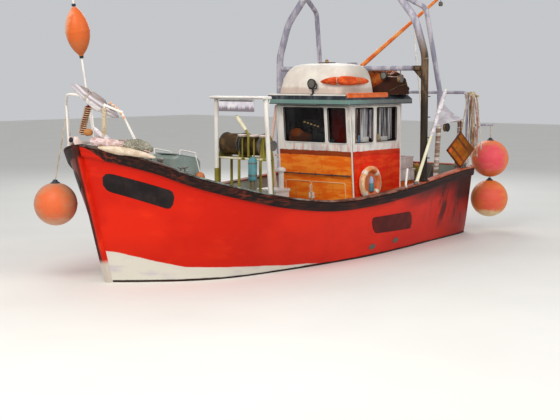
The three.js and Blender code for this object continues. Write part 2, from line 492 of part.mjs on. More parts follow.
const sideWall = (ySpan) => without(prism('xz', [
  [frontX(wallFoot) - HOUSE.wall - GAP, wallFoot], [frontX(wallTop) - HOUSE.wall - GAP, wallTop],
  [HOUSE.back, wallTop], [HOUSE.back, wallFoot]], ySpan),
...SIDE_WINDOWS.map(([x0, x1]) => block([x0, x1], [-1000, 1000], [HOUSE.sill, HOUSE.head])));
addPart('wheelhouse_port', sideWall([HOUSE.y - HOUSE.wall, HOUSE.y]), 'orangePaint');
addPart('wheelhouse_starboard', sideWall([-HOUSE.y, -HOUSE.y + HOUSE.wall]), 'orangePaint');

const DOOR = { y: [-760, -120], z: [520, 2330], clear: 5, thick: 38, hingeY: -775, hingeX: HOUSE.back - 26,
  hinges: [750, 2050], pin: 8 };
const innerY = HOUSE.y - HOUSE.wall - GAP;
const doorPin = (z, radius, reach) => rod([DOOR.hingeX, DOOR.hingeY, z - reach], [DOOR.hingeX, DOOR.hingeY, z + reach],
  radius, 12);
addPart('wheelhouse_aft', union(without(
  block([HOUSE.back, HOUSE.back + HOUSE.wall], [-innerY, innerY], [wallFoot, wallTop]),
  block([HOUSE.back - 50, HOUSE.back + 100], DOOR.y, DOOR.z),
  block([HOUSE.back - 50, HOUSE.back + 100], [120, 640], [HOUSE.sill, HOUSE.head - 60])),
...DOOR.hinges.flatMap((z) => [-1, 1].map((s) => block([DOOR.hingeX - 14, HOUSE.back + 5],
  [DOOR.hingeY - 14, DOOR.hingeY + 12], [z + s * 64 - 10, z + s * 64 + 10]))),
...DOOR.hinges.map((z) => doorPin(z, DOOR.pin, 60))), 'orangePaint');
addPart('wheelhouse_door', without(union(without(
  block([HOUSE.back + 1, HOUSE.back + DOOR.thick], [DOOR.y[0] + DOOR.clear, DOOR.y[1] - DOOR.clear],
    [DOOR.z[0] + DOOR.clear, DOOR.z[1] - DOOR.clear]),
  block([HOUSE.back - 50, HOUSE.back + 100], [-620, -260], [1500, 2180])),
...DOOR.hinges.map((z) => doorPin(z, 17, 49)),
...DOOR.hinges.map((z) => block([DOOR.hingeX - 4, HOUSE.back - 9], [DOOR.hingeY, DOOR.y[0] + 70], [z - 45, z + 45])),
...DOOR.hinges.map((z) => block([HOUSE.back - 20, HOUSE.back + 6], [DOOR.y[0] + 12, DOOR.y[0] + 70],
  [z - 45, z + 45])),
pipe([[HOUSE.back + 5, -170, 1300], [HOUSE.back - 45, -170, 1300], [HOUSE.back - 45, -170, 1430],
  [HOUSE.back + 5, -170, 1430]], 9)), ...DOOR.hinges.map((z) => doorPin(z, DOOR.pin + RUN, 90))), 'whitePaint');

const PANE = 8;
const paneZ = [HOUSE.sill - 25, HOUSE.head + 25];
addPart('glass_front', slantedWall(HOUSE.wall + GAP, PANE, [-innerY + 20, innerY - 20], paneZ), 'glass');
for (const [name, side] of [['glass_port', 1], ['glass_starboard', -1]]) {
  const near = side * (innerY - 0.1);
  const far = side * (innerY - PANE);
  addPart(name, block([-2640, -1140], [Math.min(near, far), Math.max(near, far)], paneZ), 'glass');
}

const ROOF = { x: [-2950, -780], y: 1050, crown: 930, top: 2980, edge: 2890 };
const roof = prism('yz', [[-ROOF.y, HOUSE.eave], [ROOF.y, HOUSE.eave], [ROOF.y, ROOF.edge],
  [ROOF.crown, ROOF.top], [-ROOF.crown, ROOF.top], [-ROOF.y, ROOF.edge]], ROOF.x);
addPart('wheelhouse_roof', roof, 'slateGreen');

// Raised moulding on the roof, from rings of a rounded box that shrink as they rise
const capRing = ([x0, x1], y, z, corner) => {
  const arcs = [[x1 - corner, y - corner, 0], [x0 + corner, y - corner, 90], [x0 + corner, -y + corner, 180],
    [x1 - corner, -y + corner, 270]];
  return arcs.flatMap(([cx, cy, start]) => [0, 30, 60, 90].map((step) => {
    const angle = THREE.MathUtils.degToRad(start + step);
    return [cx + corner * Math.cos(angle), cy + corner * Math.sin(angle), z];
  }));
};
const capShell = (grow) => loft([
  capRing([-2050 - grow, -850 + grow], 760 + grow, ROOF.top + GAP, 120),
  capRing([-2040 - grow, -880 + grow], 755 + grow, 3150, 140),
  capRing([-2010 - grow, -960 + grow], 715 + grow, 3400, 160),
  capRing([-1960 - grow, -1050 + grow], 645 + grow, 3530, 170), capRing([-1850, -1160], 520, 3590, 180)]);
addPart('roof_cap', capShell(0), 'whitePaint');

addPart('roof_rail', without(union(
  rod([-2150, 985, 3010], [-800, 985, 3010], 16, 8),
  ...[-2120, -1480, -830].map((x) => rod([x, 985, 2900], [x, 985, 3010], 12, 8))), roof.translate(0, 0, GAP)),
'boomOrange');

// A heap of net aft, and a canvas rolled up round the port front corner of the moulding
addPart('roof_net_heap', ball([-2560, 470, ROOF.top + 170], 1, 18, 12, [430, 590, 325])
  .intersect(block([-4000, 0], [-2000, 2000], [ROOF.top + GAP, 4000])), 'netRed');
const CANVAS_ROLL = { path: [[-815, 240, 3210], [-815, 700, 3210], [-930, 815, 3210], [-1650, 815, 3210]], radius: 92 };
addPart('roof_canvas_roll', without(pipe(CANVAS_ROLL.path, CANVAS_ROLL.radius, 14), capShell(GAP)), 'netRed');

addPart('searchlight', union(rod([-815, 150, ROOF.top + GAP], [-815, 150, 3130], 18, 8),
  rod([-760, 150, 3200], [-843, 150, 3200], 90, 18, 70)), 'darkMetal');

// What shows through the glass: the console with its wheel, and the helm seat
addPart('console', union(
  prism('xz', [[-1700, DECK_Z + GAP], [-1300, DECK_Z + GAP], [-1240, 1850], [-1330, 1990], [-1700, 1700]], [-600, 700]),
  rod([-1620, -150, 1600], [-1760, -150, 1680], 22, 8),
  turned([[150, -14], [185, -14], [185, 14], [150, 14], [150, -14]], 'x', [-1760, -150, 1680], 20),
  block([-1770, -1752], [-160, -140], [1520, 1840])), 'brownWood');
addPart('helm_seat', union(rod([-2250, -150, DECK_Z + GAP], [-2250, -150, 1150], 45, 12),
  block([-2450, -2030], [-360, 60], [1150, 1250]), block([-2450, -2380], [-360, 60], [1240, 1750])), 'darkMetal');

// Lifebuoy on the port wall, with a bracket behind it
const BUOY = { x: -1600, z: 1270, radius: 330, tube: 62, y: HOUSE.y };
const ring = Array.from({ length: 9 }, (_, i) => {
  const angle = (i / 8) * 2 * Math.PI;
  return [BUOY.radius - BUOY.tube + BUOY.tube * Math.cos(angle), BUOY.tube * Math.sin(angle)];
});
addPart('lifebuoy', without(union(turned(ring, 'y', [BUOY.x, BUOY.y + 72, BUOY.z], 24),
  block([BUOY.x - 30, BUOY.x + 30], [BUOY.y, BUOY.y + 70], [BUOY.z - BUOY.radius + 30, BUOY.z - BUOY.radius + 80])),
block([-2500, -1000], [BUOY.y - 100, BUOY.y + GAP], [0, 3000])), 'buoyOrange');

// Gantry: an arched tube frame astride the wheelhouse, with the cross beam that carries the derrick
const GANTRY = { x: -2200, y: 1814, tube: 72, shoulder: 3750, beamZ: 3500, top: 5450 };
const gantryFoot = capAt(GANTRY.x) - 15;
const gantryArch = (s) => [[GANTRY.x, s * GANTRY.y, GANTRY.shoulder], [GANTRY.x, s * 1580, 4450],
  [GANTRY.x, s * 1130, 4980], [GANTRY.x, s * 380, GANTRY.top]];
const DERRICK = { slewX: -2400, luffX: -2540, z: 3500, length: 3600, radius: 45, rise: 27.5, slewPin: 17, luffPin: 14 };
addPart('gantry', without(union(
  pipe([[GANTRY.x, GANTRY.y, gantryFoot], ...gantryArch(1), ...gantryArch(-1).reverse(),
    [GANTRY.x, -GANTRY.y, gantryFoot]], GANTRY.tube, 12),
  rod([GANTRY.x, -GANTRY.y, GANTRY.beamZ], [GANTRY.x, GANTRY.y, GANTRY.beamZ], 50, 12),
  block([DERRICK.slewX - 45, GANTRY.x], [-55, 55], [DERRICK.z - 120, DERRICK.z - 75]),
  block([DERRICK.slewX - 45, GANTRY.x], [-55, 55], [DERRICK.z + 75, DERRICK.z + 120]),
  block([GANTRY.x - 70, GANTRY.x], [-55, 55], [DERRICK.z - 110, DERRICK.z + 110]),
  block([GANTRY.x - 70, GANTRY.x + 30], [-30, 30], [GANTRY.top - 130, GANTRY.top])),
rod([DERRICK.slewX, 0, DERRICK.z - 200], [DERRICK.slewX, 0, DERRICK.z + 200],
  DERRICK.slewPin + RUN, 16), ...aboveRails), 'mastGrey');

// Derrick: a swivel that slews on an upright pin, and the boom that luffs on a cross pin
addPart('derrick_swivel', without(union(
  rod([DERRICK.slewX, 0, DERRICK.z - 125], [DERRICK.slewX, 0, DERRICK.z + 125], DERRICK.slewPin, 16),
  rod([DERRICK.slewX, 0, DERRICK.z - 70], [DERRICK.slewX, 0, DERRICK.z + 70], 45, 16),
  ...[-1, 1].map((s) => block([DERRICK.luffX - 50, DERRICK.slewX], [s > 0 ? 22 : -40, s > 0 ? 40 : -22],
    [DERRICK.z - 50, DERRICK.z + 50]))),
rod([DERRICK.luffX, -100, DERRICK.z], [DERRICK.luffX, 100, DERRICK.z], DERRICK.luffPin + RUN, 16)), 'steel');

const boomPoint = (along) => {
  const angle = THREE.MathUtils.degToRad(DERRICK.rise);
  return [DERRICK.luffX - along * Math.cos(angle), 0, DERRICK.z + along * Math.sin(angle)];
};
addPart('derrick_boom', union(
  rod([DERRICK.luffX, -48, DERRICK.z], [DERRICK.luffX, 48, DERRICK.z], DERRICK.luffPin, 16),
  rod([DERRICK.luffX, -17, DERRICK.z], [DERRICK.luffX, 17, DERRICK.z], 40, 20),
  rod(boomPoint(0), boomPoint(120), 16, 12),
  rod(boomPoint(95), boomPoint(DERRICK.length), DERRICK.radius, 14, 32),
  rod(boomPoint(DERRICK.length - 90), boomPoint(DERRICK.length - 40), 50, 14)), 'boomOrange');

// Gallows on each quarter with a strut to the gantry, and the trawl board hung outside
const GALLOWS = { fore: -3260, aft: -4200, footY: 1385, headY: 1500, top: 2450, tube: 52, strut: 50 };
function gallows(s) {
  const foot = (x, y) => [x, s * y, DECK_Z - 40];
  const frame = pipe([foot(GALLOWS.aft, GALLOWS.footY - 95), [GALLOWS.aft, s * (GALLOWS.headY - 60), GALLOWS.top],
    [GALLOWS.fore, s * GALLOWS.headY, GALLOWS.top], foot(GALLOWS.fore, GALLOWS.footY)], GALLOWS.tube, 10);
  const strut = pipe([[GALLOWS.fore, s * GALLOWS.headY, GALLOWS.top], [GALLOWS.fore, s * GALLOWS.headY, 3050],
    [-2900, s * 1377, 4693], [GANTRY.x, s * 1130, 4980]], GALLOWS.strut, 10);
  const arm = block([-3935, -3865], [Math.min(s * 1440, s * 1660), Math.max(s * 1440, s * 1660)],
    [GALLOWS.top - 20, GALLOWS.top + 25]);
  const gantryLeg = pipe([[GANTRY.x, s * GANTRY.y, gantryFoot], ...gantryArch(s)], GANTRY.tube + GAP, 12);
  const underDeck = block([-5000, 0], [-2200, 2200], [0, DECK_Z + GAP]);
  return without(union(frame, strut, arm), gantryLeg, bulwarks, underDeck);
}
const BOARD = { x: -3900, y: 1625, z: 1830, side: 520, thick: 50, yaw: 17.5 };
function trawlBoard(s) {
  const reach = BOARD.side / Math.SQRT2;
  const plate = prism('xz', [[0, -reach], [reach, 0], [0, reach], [-reach, 0]], [-BOARD.thick / 2, BOARD.thick / 2]);
  return union(plate.rotate(0, 0, -s * BOARD.yaw).translate(BOARD.x, s * BOARD.y, BOARD.z),
    rod([BOARD.x, s * BOARD.y, BOARD.z + reach - 30], [BOARD.x, s * BOARD.y, GALLOWS.top - 20 - GAP], 12, 8));
}
for (const [side, s] of [['port', 1], ['starboard', -1]]) {
  addPart(`gallows_${side}`, gallows(s), 'mastGrey');
  addPart(`trawl_board_${side}`, trawlBoard(s), 'rustWood');
}

// Net drum on its two stands
const NET = { x: -4020, z: 1080, y: 760, core: 300, flange: 430, shaft: 34 };
addPart('net_drum_frame', without(union(
  ...[-1, 1].map((s) => prism('xz', [[NET.x - 260, DECK_Z + GAP], [NET.x + 260, DECK_Z + GAP], [NET.x + 90, NET.z + 90],
    [NET.x - 90, NET.z + 90]], s > 0 ? [NET.y, NET.y + 40] : [-NET.y - 40, -NET.y])),
  block([NET.x - 260, NET.x - 200], [-NET.y, NET.y], [DECK_Z + GAP, DECK_Z + 40])),
rod([NET.x, -NET.y - 60, NET.z], [NET.x, NET.y + 60, NET.z], NET.shaft + RUN, 20)), 'steel');
addPart('net_drum', turned([[0, -NET.y - 60], [NET.shaft, -NET.y - 60], [NET.shaft, -NET.y + 20],
  [NET.flange, -NET.y + 20], [NET.flange, -NET.y + 45], [NET.core, -NET.y + 50], [NET.core + 60, -300],
  [NET.core + 40, 250], [NET.core, NET.y - 50], [NET.flange, NET.y - 45], [NET.flange, NET.y - 20],
  [NET.shaft, NET.y - 20], [NET.shaft, NET.y + 60], [0, NET.y + 60]], 'y', [NET.x, 0, NET.z], 20), 'netOlive');

// Stern frame with the arm that two ball buoys hang from
const FRAME = { x: -4760, y: 1270, foot: capAt(-4760) + GAP, top: 3000, tube: 34 };
const SLING = { at: [-5370, 1500], tip: [-5410, 1515], upper: 1570, lower: 700, radius: 400, arm: 2300 };
const slingArm = (radius) => pipe([[FRAME.x, FRAME.y, SLING.arm], [...SLING.tip, SLING.arm]], radius, 8);
addPart('stern_frame', union(
  pipe([[FRAME.x, FRAME.y, FRAME.foot], [FRAME.x, FRAME.y, FRAME.top], [FRAME.x, -FRAME.y, FRAME.top],
    [FRAME.x, -FRAME.y, FRAME.foot]], FRAME.tube, 10), slingArm(24)), 'mastGrey');
const buoy = (z, ropeTop) => union(
  ball([...SLING.at, z], SLING.radius, 16, 10),
  rod([...SLING.at, z + SLING.radius - 30], [...SLING.at, z + SLING.radius + 25], 60, 12, 40),
  rod([...SLING.at, z + SLING.radius], [...SLING.at, ropeTop], 12, 8));
addPart('stern_buoy_upper', without(buoy(SLING.upper, SLING.arm - 5), slingArm(24 + 2 * GAP)), 'buoyOrange');
addPart('stern_buoy_lower', buoy(SLING.lower, SLING.upper - SLING.radius - GAP), 'buoyOrange');

// Ensign staff raked aft from the port rail, with its plain pennant
const STAFF = { foot: [-1785, 1912, capAt(-1785) - 5], top: [-2758, 1955, 3093], radius: 34, tip: 20 };
const staffPoint = (t) => STAFF.foot.map((v, i) => v + (STAFF.top[i] - v) * t);
addPart('ensign_staff', without(rod(STAFF.foot, STAFF.top, STAFF.radius, 12, STAFF.tip), ...aboveRails), 'whitePaint');
const hoistTop = staffPoint(0.86);
const hoistLow = staffPoint(0.60);
const hoistY = (hoistTop[1] + hoistLow[1]) / 2;
const flyEnd = [-3555, 2500];
addPart('ensign', without(prism('xz', [[hoistTop[0], hoistTop[2]], flyEnd, [hoistLow[0], hoistLow[2]]].reverse(),
  [hoistY - 3, hoistY + 3]),
rod(STAFF.foot, STAFF.top, STAFF.radius + GAP, 12, STAFF.tip + GAP)), 'flagGrey');

export default model;
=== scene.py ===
# %% [markdown]
# # An inshore fishing trawler
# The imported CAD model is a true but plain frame: every part has its place, its size and its hinge. This
# lesson dresses that frame until it looks like the boat in the reference picture. The order is the one that a
# boatyard keeps: light and camera, tools, paints, hull, foredeck, working deck, wheelhouse, masts, stern
# gear. All lengths are in metres. +X is the bow, +Y is port, and the floor of the studio lies at the
# waterline.

# %% Load the frame and keep its box
import math
import random
import bmesh
import bpy
from mathutils import Matrix, Vector, noise


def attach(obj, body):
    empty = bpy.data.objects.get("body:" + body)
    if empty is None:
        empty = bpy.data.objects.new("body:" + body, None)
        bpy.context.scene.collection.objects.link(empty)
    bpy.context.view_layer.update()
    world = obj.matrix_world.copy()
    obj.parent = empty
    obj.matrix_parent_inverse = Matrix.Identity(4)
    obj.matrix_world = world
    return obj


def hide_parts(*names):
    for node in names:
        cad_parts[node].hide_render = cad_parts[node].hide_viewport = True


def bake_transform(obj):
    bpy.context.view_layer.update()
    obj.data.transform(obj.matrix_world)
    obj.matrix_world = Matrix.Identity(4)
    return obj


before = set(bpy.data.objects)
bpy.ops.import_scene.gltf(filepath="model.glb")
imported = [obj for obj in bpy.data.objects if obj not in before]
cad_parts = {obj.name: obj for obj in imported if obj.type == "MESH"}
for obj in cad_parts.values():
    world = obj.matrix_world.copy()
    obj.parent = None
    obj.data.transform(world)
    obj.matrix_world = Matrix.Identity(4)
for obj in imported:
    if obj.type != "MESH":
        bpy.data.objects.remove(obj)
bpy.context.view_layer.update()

# %% [markdown]
# ## Camera and light
# The camera stands off the port bow, where the picture was taken from: its height and its lens come from the
# painted sheer line and waterline. Three large soft lamps stand in for an overcast sky. The strongest is
# ahead of the bow, because in the picture what faces forward is brighter than what faces the quay.

# %% Camera, lamps and floor
CAMERA_PLACE, CAMERA_AIM, CAMERA_LENS = (16.975, 13.994, 3.30), (0, 0, 0.8), 74.44
camera_data = bpy.data.cameras.new("camera")
camera_data.lens = CAMERA_LENS
camera_data.clip_end = 200
camera = bpy.data.objects.new("camera", camera_data)
bpy.context.scene.collection.objects.link(camera)
camera.location = CAMERA_PLACE
camera.rotation_euler = (Vector(CAMERA_AIM) - camera.location).to_track_quat("-Z", "Y").to_euler()
bpy.context.scene.camera = camera
bpy.context.scene.view_settings.view_transform = "Standard"

# Lamps: name, place, size, power and colour
LAMPS = (
    ("sky_ahead", (13, 4, 11), 8, 1500, (1.0, 0.97, 0.92)),
    ("sky_port", (2, 15, 9), 9, 750, (0.96, 0.98, 1.0)),
    ("sky_aft", (-12, -9, 10), 9, 900, (0.93, 0.96, 1.0)),
)
for lamp_name, place, size, power, colour in LAMPS:
    lamp_data = bpy.data.lights.new(lamp_name, "AREA")
    lamp_data.size, lamp_data.energy, lamp_data.color = size, power, colour
    lamp = bpy.data.objects.new(lamp_name, lamp_data)
    lamp.location = place
    lamp.rotation_euler = (Vector((0, 0, 1)) - lamp.location).to_track_quat("-Z", "Y").to_euler()
    bpy.context.scene.collection.objects.link(lamp)
world = bpy.data.worlds.new("studio")
world.use_nodes = True
world.node_tree.nodes["Background"].inputs["Color"].default_value = (0.90, 0.92, 0.95, 1)
world.node_tree.nodes["Background"].inputs["Strength"].default_value = 0.62
bpy.context.scene.world = world

# %% [markdown]
# ## Shader maths as Python
# A material is a network of small nodes. Writing each node out takes many lines, so `Wire` wraps one socket
# and lets `+ - * /` add the Math nodes, and `Finish.node` adds any other node. Patterns read Object
# coordinates, which stay fixed to the part wherever it turns.

# %% Wires and finishes
def linear(code):
    """A hex colour, as a painter's chart gives it, in the linear values that shaders use."""
    channels = [int(code[i:i + 2], 16) / 255 for i in (0, 2, 4)]
    return tuple(c / 12.92 if c <= 0.04045 else ((c + 0.055) / 1.055) ** 2.4 for c in channels) + (1,)


def connect(tree, value, socket):
    if isinstance(value, Wire):
        tree.links.new(value.socket, socket)
    else:
        socket.default_value = linear(value) if isinstance(value, str) else value


class Wire:
    """One socket of a material, so that its maths reads as ordinary sums."""

    def __init__(self, tree, socket):
        self.tree, self.socket = tree, socket

    def maths(self, operation, first, second):
        node = self.tree.nodes.new("ShaderNodeMath")
        node.operation = operation
        connect(self.tree, first, node.inputs[0])
        connect(self.tree, second, node.inputs[1])
        return Wire(self.tree, node.outputs[0])

    def __add__(self, other):
        return self.maths("ADD", self, other)

    def __sub__(self, other):
        return self.maths("SUBTRACT", self, other)

    def __rsub__(self, other):
        return self.maths("SUBTRACT", other, self)

    def __mul__(self, other):
        return self.maths("MULTIPLY", self, other)

    def __truediv__(self, other):
        return self.maths("DIVIDE", self, other)

    __radd__, __rmul__ = __add__, __mul__


class Finish:
    """A material under construction: base shader, Object coordinates and one way to add nodes."""

    def __init__(self, name):
        self.material = bpy.data.materials.new(name)
        self.material.use_nodes = True
        self.tree = self.material.node_tree
        self.shader = self.tree.nodes["Principled BSDF"]
        # Weathered paint, cloth and rope give back little of the sky
        self.shader.inputs["Specular IOR Level"].default_value = 0.15
        self.place = self.node("TexCoord", output="Object")

    def node(self, kind, settings=None, sockets=None, output=0):
        node = self.tree.nodes.new("ShaderNode" + kind)
        for name, value in (settings or {}).items():
            setattr(node, name, value)
        for name, value in (sockets or {}).items():
            connect(self.tree, value, node.inputs[name])
        return Wire(self.tree, node.outputs[output])

    def maths(self, kind, *values):
        return self.node("Math", {"operation": kind}, dict(enumerate(values)))

    def axes(self):
        apart = self.tree.nodes.new("ShaderNodeSeparateXYZ")
        connect(self.tree, self.place, apart.inputs[0])
        return [Wire(self.tree, out) for out in apart.outputs]

    def noise(self, scale, stretch=(1, 1, 1), detail=3, lobes=0.55, twist=0):
        vector = self.place if stretch == (1, 1, 1) else self.node(
            "Mapping", None, {"Vector": self.place, "Scale": stretch})
        return self.node(
            "TexNoise", None,
            {"Vector": vector, "Scale": scale, "Detail": detail, "Roughness": lobes, "Distortion": twist})

    def cells(self, scale, stretch=(1, 1, 1), feature="F1"):
        vector = self.node("Mapping", None, {"Vector": self.place, "Scale": stretch})
        return self.node("TexVoronoi", {"feature": feature}, {"Vector": vector, "Scale": scale})

    def rise(self, value, low, high):
        """0 below low, 1 above high and smooth between them."""
        return self.node("MapRange", {"interpolation_type": "SMOOTHSTEP"},
                         {"Value": value, "From Min": low, "From Max": high})

    def mix(self, share, first, second):
        return self.node("Mix", {"data_type": "RGBA"}, {0: share, 6: first, 7: second}, output=2)

    def ground(self, colour=None, rough=None, metal=None, height=None, depth=0.002, coat=None):
        """Joins the results to the shader and gives the material back."""
        for name, value in (("Base Color", colour), ("Roughness", rough), ("Metallic", metal),
                            ("Coat Weight", coat)):
            if value is not None:
                connect(self.tree, value, self.shader.inputs[name])
        if height is not None:
            connect(
                self.tree, self.node("Bump", None, {"Height": height, "Strength": 1.0, "Distance": depth}),
                self.shader.inputs["Normal"])
        return self.material


# %% [markdown]
# ## The paint locker
# Most of the boat is painted steel or wood that has weathered the same way: broad patches where the sun has
# taken the colour, thin runs of rust or dirt below fastenings, and chips. So one recipe makes most finishes
# from a few named values, and only the hull, the glass, the nets and the ropes get recipes of their own.

# %% The recipe for weathered paint
def weathered(
        name, colour, faded, dirt="5a3a26", rough=0.5, metal=0.0, patch=1.6, fade=0.6, runs=0.35,
        chips=0.12, depth=0.0012):
    """Paint with faded patches, runs that fall down its sides, and chips that show what is under it."""
    coat = Finish(name)
    broad = coat.rise(coat.noise(patch, detail=4), 0.38, 0.66)
    brush = coat.noise(9, (1, 1, 0.35), detail=4, lobes=0.7)
    runny = coat.rise(coat.noise(13, (1, 1, 0.09), detail=3), 0.56, 0.78)
    spots = coat.rise(coat.noise(38, detail=2), 0.68, 0.76)
    shade = coat.mix(broad * fade + coat.rise(brush, 0.5, 0.9) * 0.3, colour, faded)
    shade = coat.mix(runny * broad * runs + runny * (runs * 0.4), shade, dirt)
    shade = coat.mix(spots * chips * 4 * broad, shade, dirt)
    return coat.ground(
        shade, brush * 0.25 + (rough - 0.1) + spots * 0.2, metal, brush * 0.6 - spots * 0.8, depth)


# Finishes: paint, its faded colour, its dirt, and what differs from the usual recipe
paint = {name: weathered(name, *chart, **extra) for name, chart, extra in (
    ("stem_brown", ("5a2219", "7a3526", "241512"), {"rough": 0.6}),
    ("antifouling", ("33231d", "4a3026", "191512"), {"rough": 0.8, "chips": 0.05}),
    ("inside_bulwark", ("8d9689", "a8aca0", "6b3f26"), {"rough": 0.6}),
    ("hood_green", ("75827c", "97a09a", "3f4442"), {"rough": 0.55}),
    ("deck_grey", ("66726c", "84857a", "5b3a26"), {"rough": 0.85, "patch": 2.4, "depth": 0.003}),
    ("white_gloss", ("e9e4dc", "cfc4bd", "a56a50"), {"rough": 0.38, "runs": 0.4}),
    ("cream", ("efe8da", "d9cdbd", "9a8068"), {"rough": 0.45, "runs": 0.25}),
    ("house_orange", ("e2601f", "f08a45", "8a2a14"), {"rough": 0.4, "patch": 2.2}),
    ("house_red", ("cf2c14", "e0502a", "7a1a10"), {"rough": 0.38, "patch": 2.0}),
    ("dark_sill", ("5a1a14", "7c2a1c", "2a1512"), {"rough": 0.55}),
    ("roof_green", ("6f7d78", "8f9a94", "37403d"), {"rough": 0.55}),
    ("roof_slate", ("3c4348", "5a6066", "20282a"), {"rough": 0.5}),
    ("mast_lavender", ("9a96a4", "c2bcc4", "6a4230"), {"rough": 0.5, "runs": 0.5, "patch": 3.0}),
    ("leg_brown", ("4a3a38", "6d5a52", "2a1a16"), {"rough": 0.6, "patch": 3.0}),
    ("winch_olive", ("857a2e", "a89a48", "5a3312"), {"rough": 0.55, "patch": 4.0, "chips": 0.25}),
    ("drum_steel", ("6e6a64", "8b8378", "6b3a1c"), {"rough": 0.45, "metal": 0.7, "patch": 5.0, "runs": 0.6}),
    ("wheel_pink", ("dcc6c0", "eadfda", "9a5b46"), {"rough": 0.5, "patch": 5.0}),
    ("tank_teal", ("4a7f88", "6f9fa2", "3a4a4c"), {"rough": 0.45, "patch": 5.0}),
    ("boom_orange", ("de6a26", "ef9650", "7a2c14"), {"rough": 0.45, "patch": 3.0, "runs": 0.45}),
    ("rail_orange", ("e0622a", "f09058", "7a2c14"), {"rough": 0.45, "patch": 5.0}),
    ("dark_metal", ("2a2a2d", "45454a", "5a3a26"), {"rough": 0.4, "metal": 0.4, "patch": 6.0}),
    ("bronze", ("8d6a3a", "b08a52", "3f5a48"), {"rough": 0.35, "metal": 0.85, "patch": 7.0}),
    ("board_wood", ("9c4f14", "c07a2c", "40200c"), {"rough": 0.8, "patch": 4.0, "runs": 0.7, "depth": 0.003}),
    ("console_wood", ("8a4a22", "b0642e", "3a1c0e"), {"rough": 0.45, "patch": 4.0}),
    ("staff_cream", ("e9e2c8", "d2c7a0", "7a6a4a"), {"rough": 0.45, "patch": 5.0}),
    ("plate_black", ("1c1718", "322a2a", "5a3a2e"), {"rough": 0.45, "patch": 3.0}),
    ("plate_maroon", ("4c1210", "6a1c16", "230c0c"), {"rough": 0.5, "patch": 3.0}),
    ("seat_dark", ("2c2c31", "3d3d44", "1a1a1c"), {"rough": 0.65, "patch": 7.0}),
)}
print("finishes", len(paint))

# %% [markdown]
# ## Making shapes in code
# Every piece is gathered in one `Shape`: boxes with eased edges, cut outlines, turned forms, bent tubes and
# skins over rows of points. Real tubes have no sharp corners, so a tube's path is rounded before it is swept.
# At the end the shape becomes one object whose place is in its mesh, with its normals outwards.

# %% Shapes
def angles(count):
    """Even steps round a full circle."""
    return [2 * math.pi * k / count for k in range(count)]


def circle(middle, one, two, radius, count):
    """Points round a middle, in the plane of two directions."""
    return [middle + (one * math.cos(a) + two * math.sin(a)) * radius for a in angles(count)]


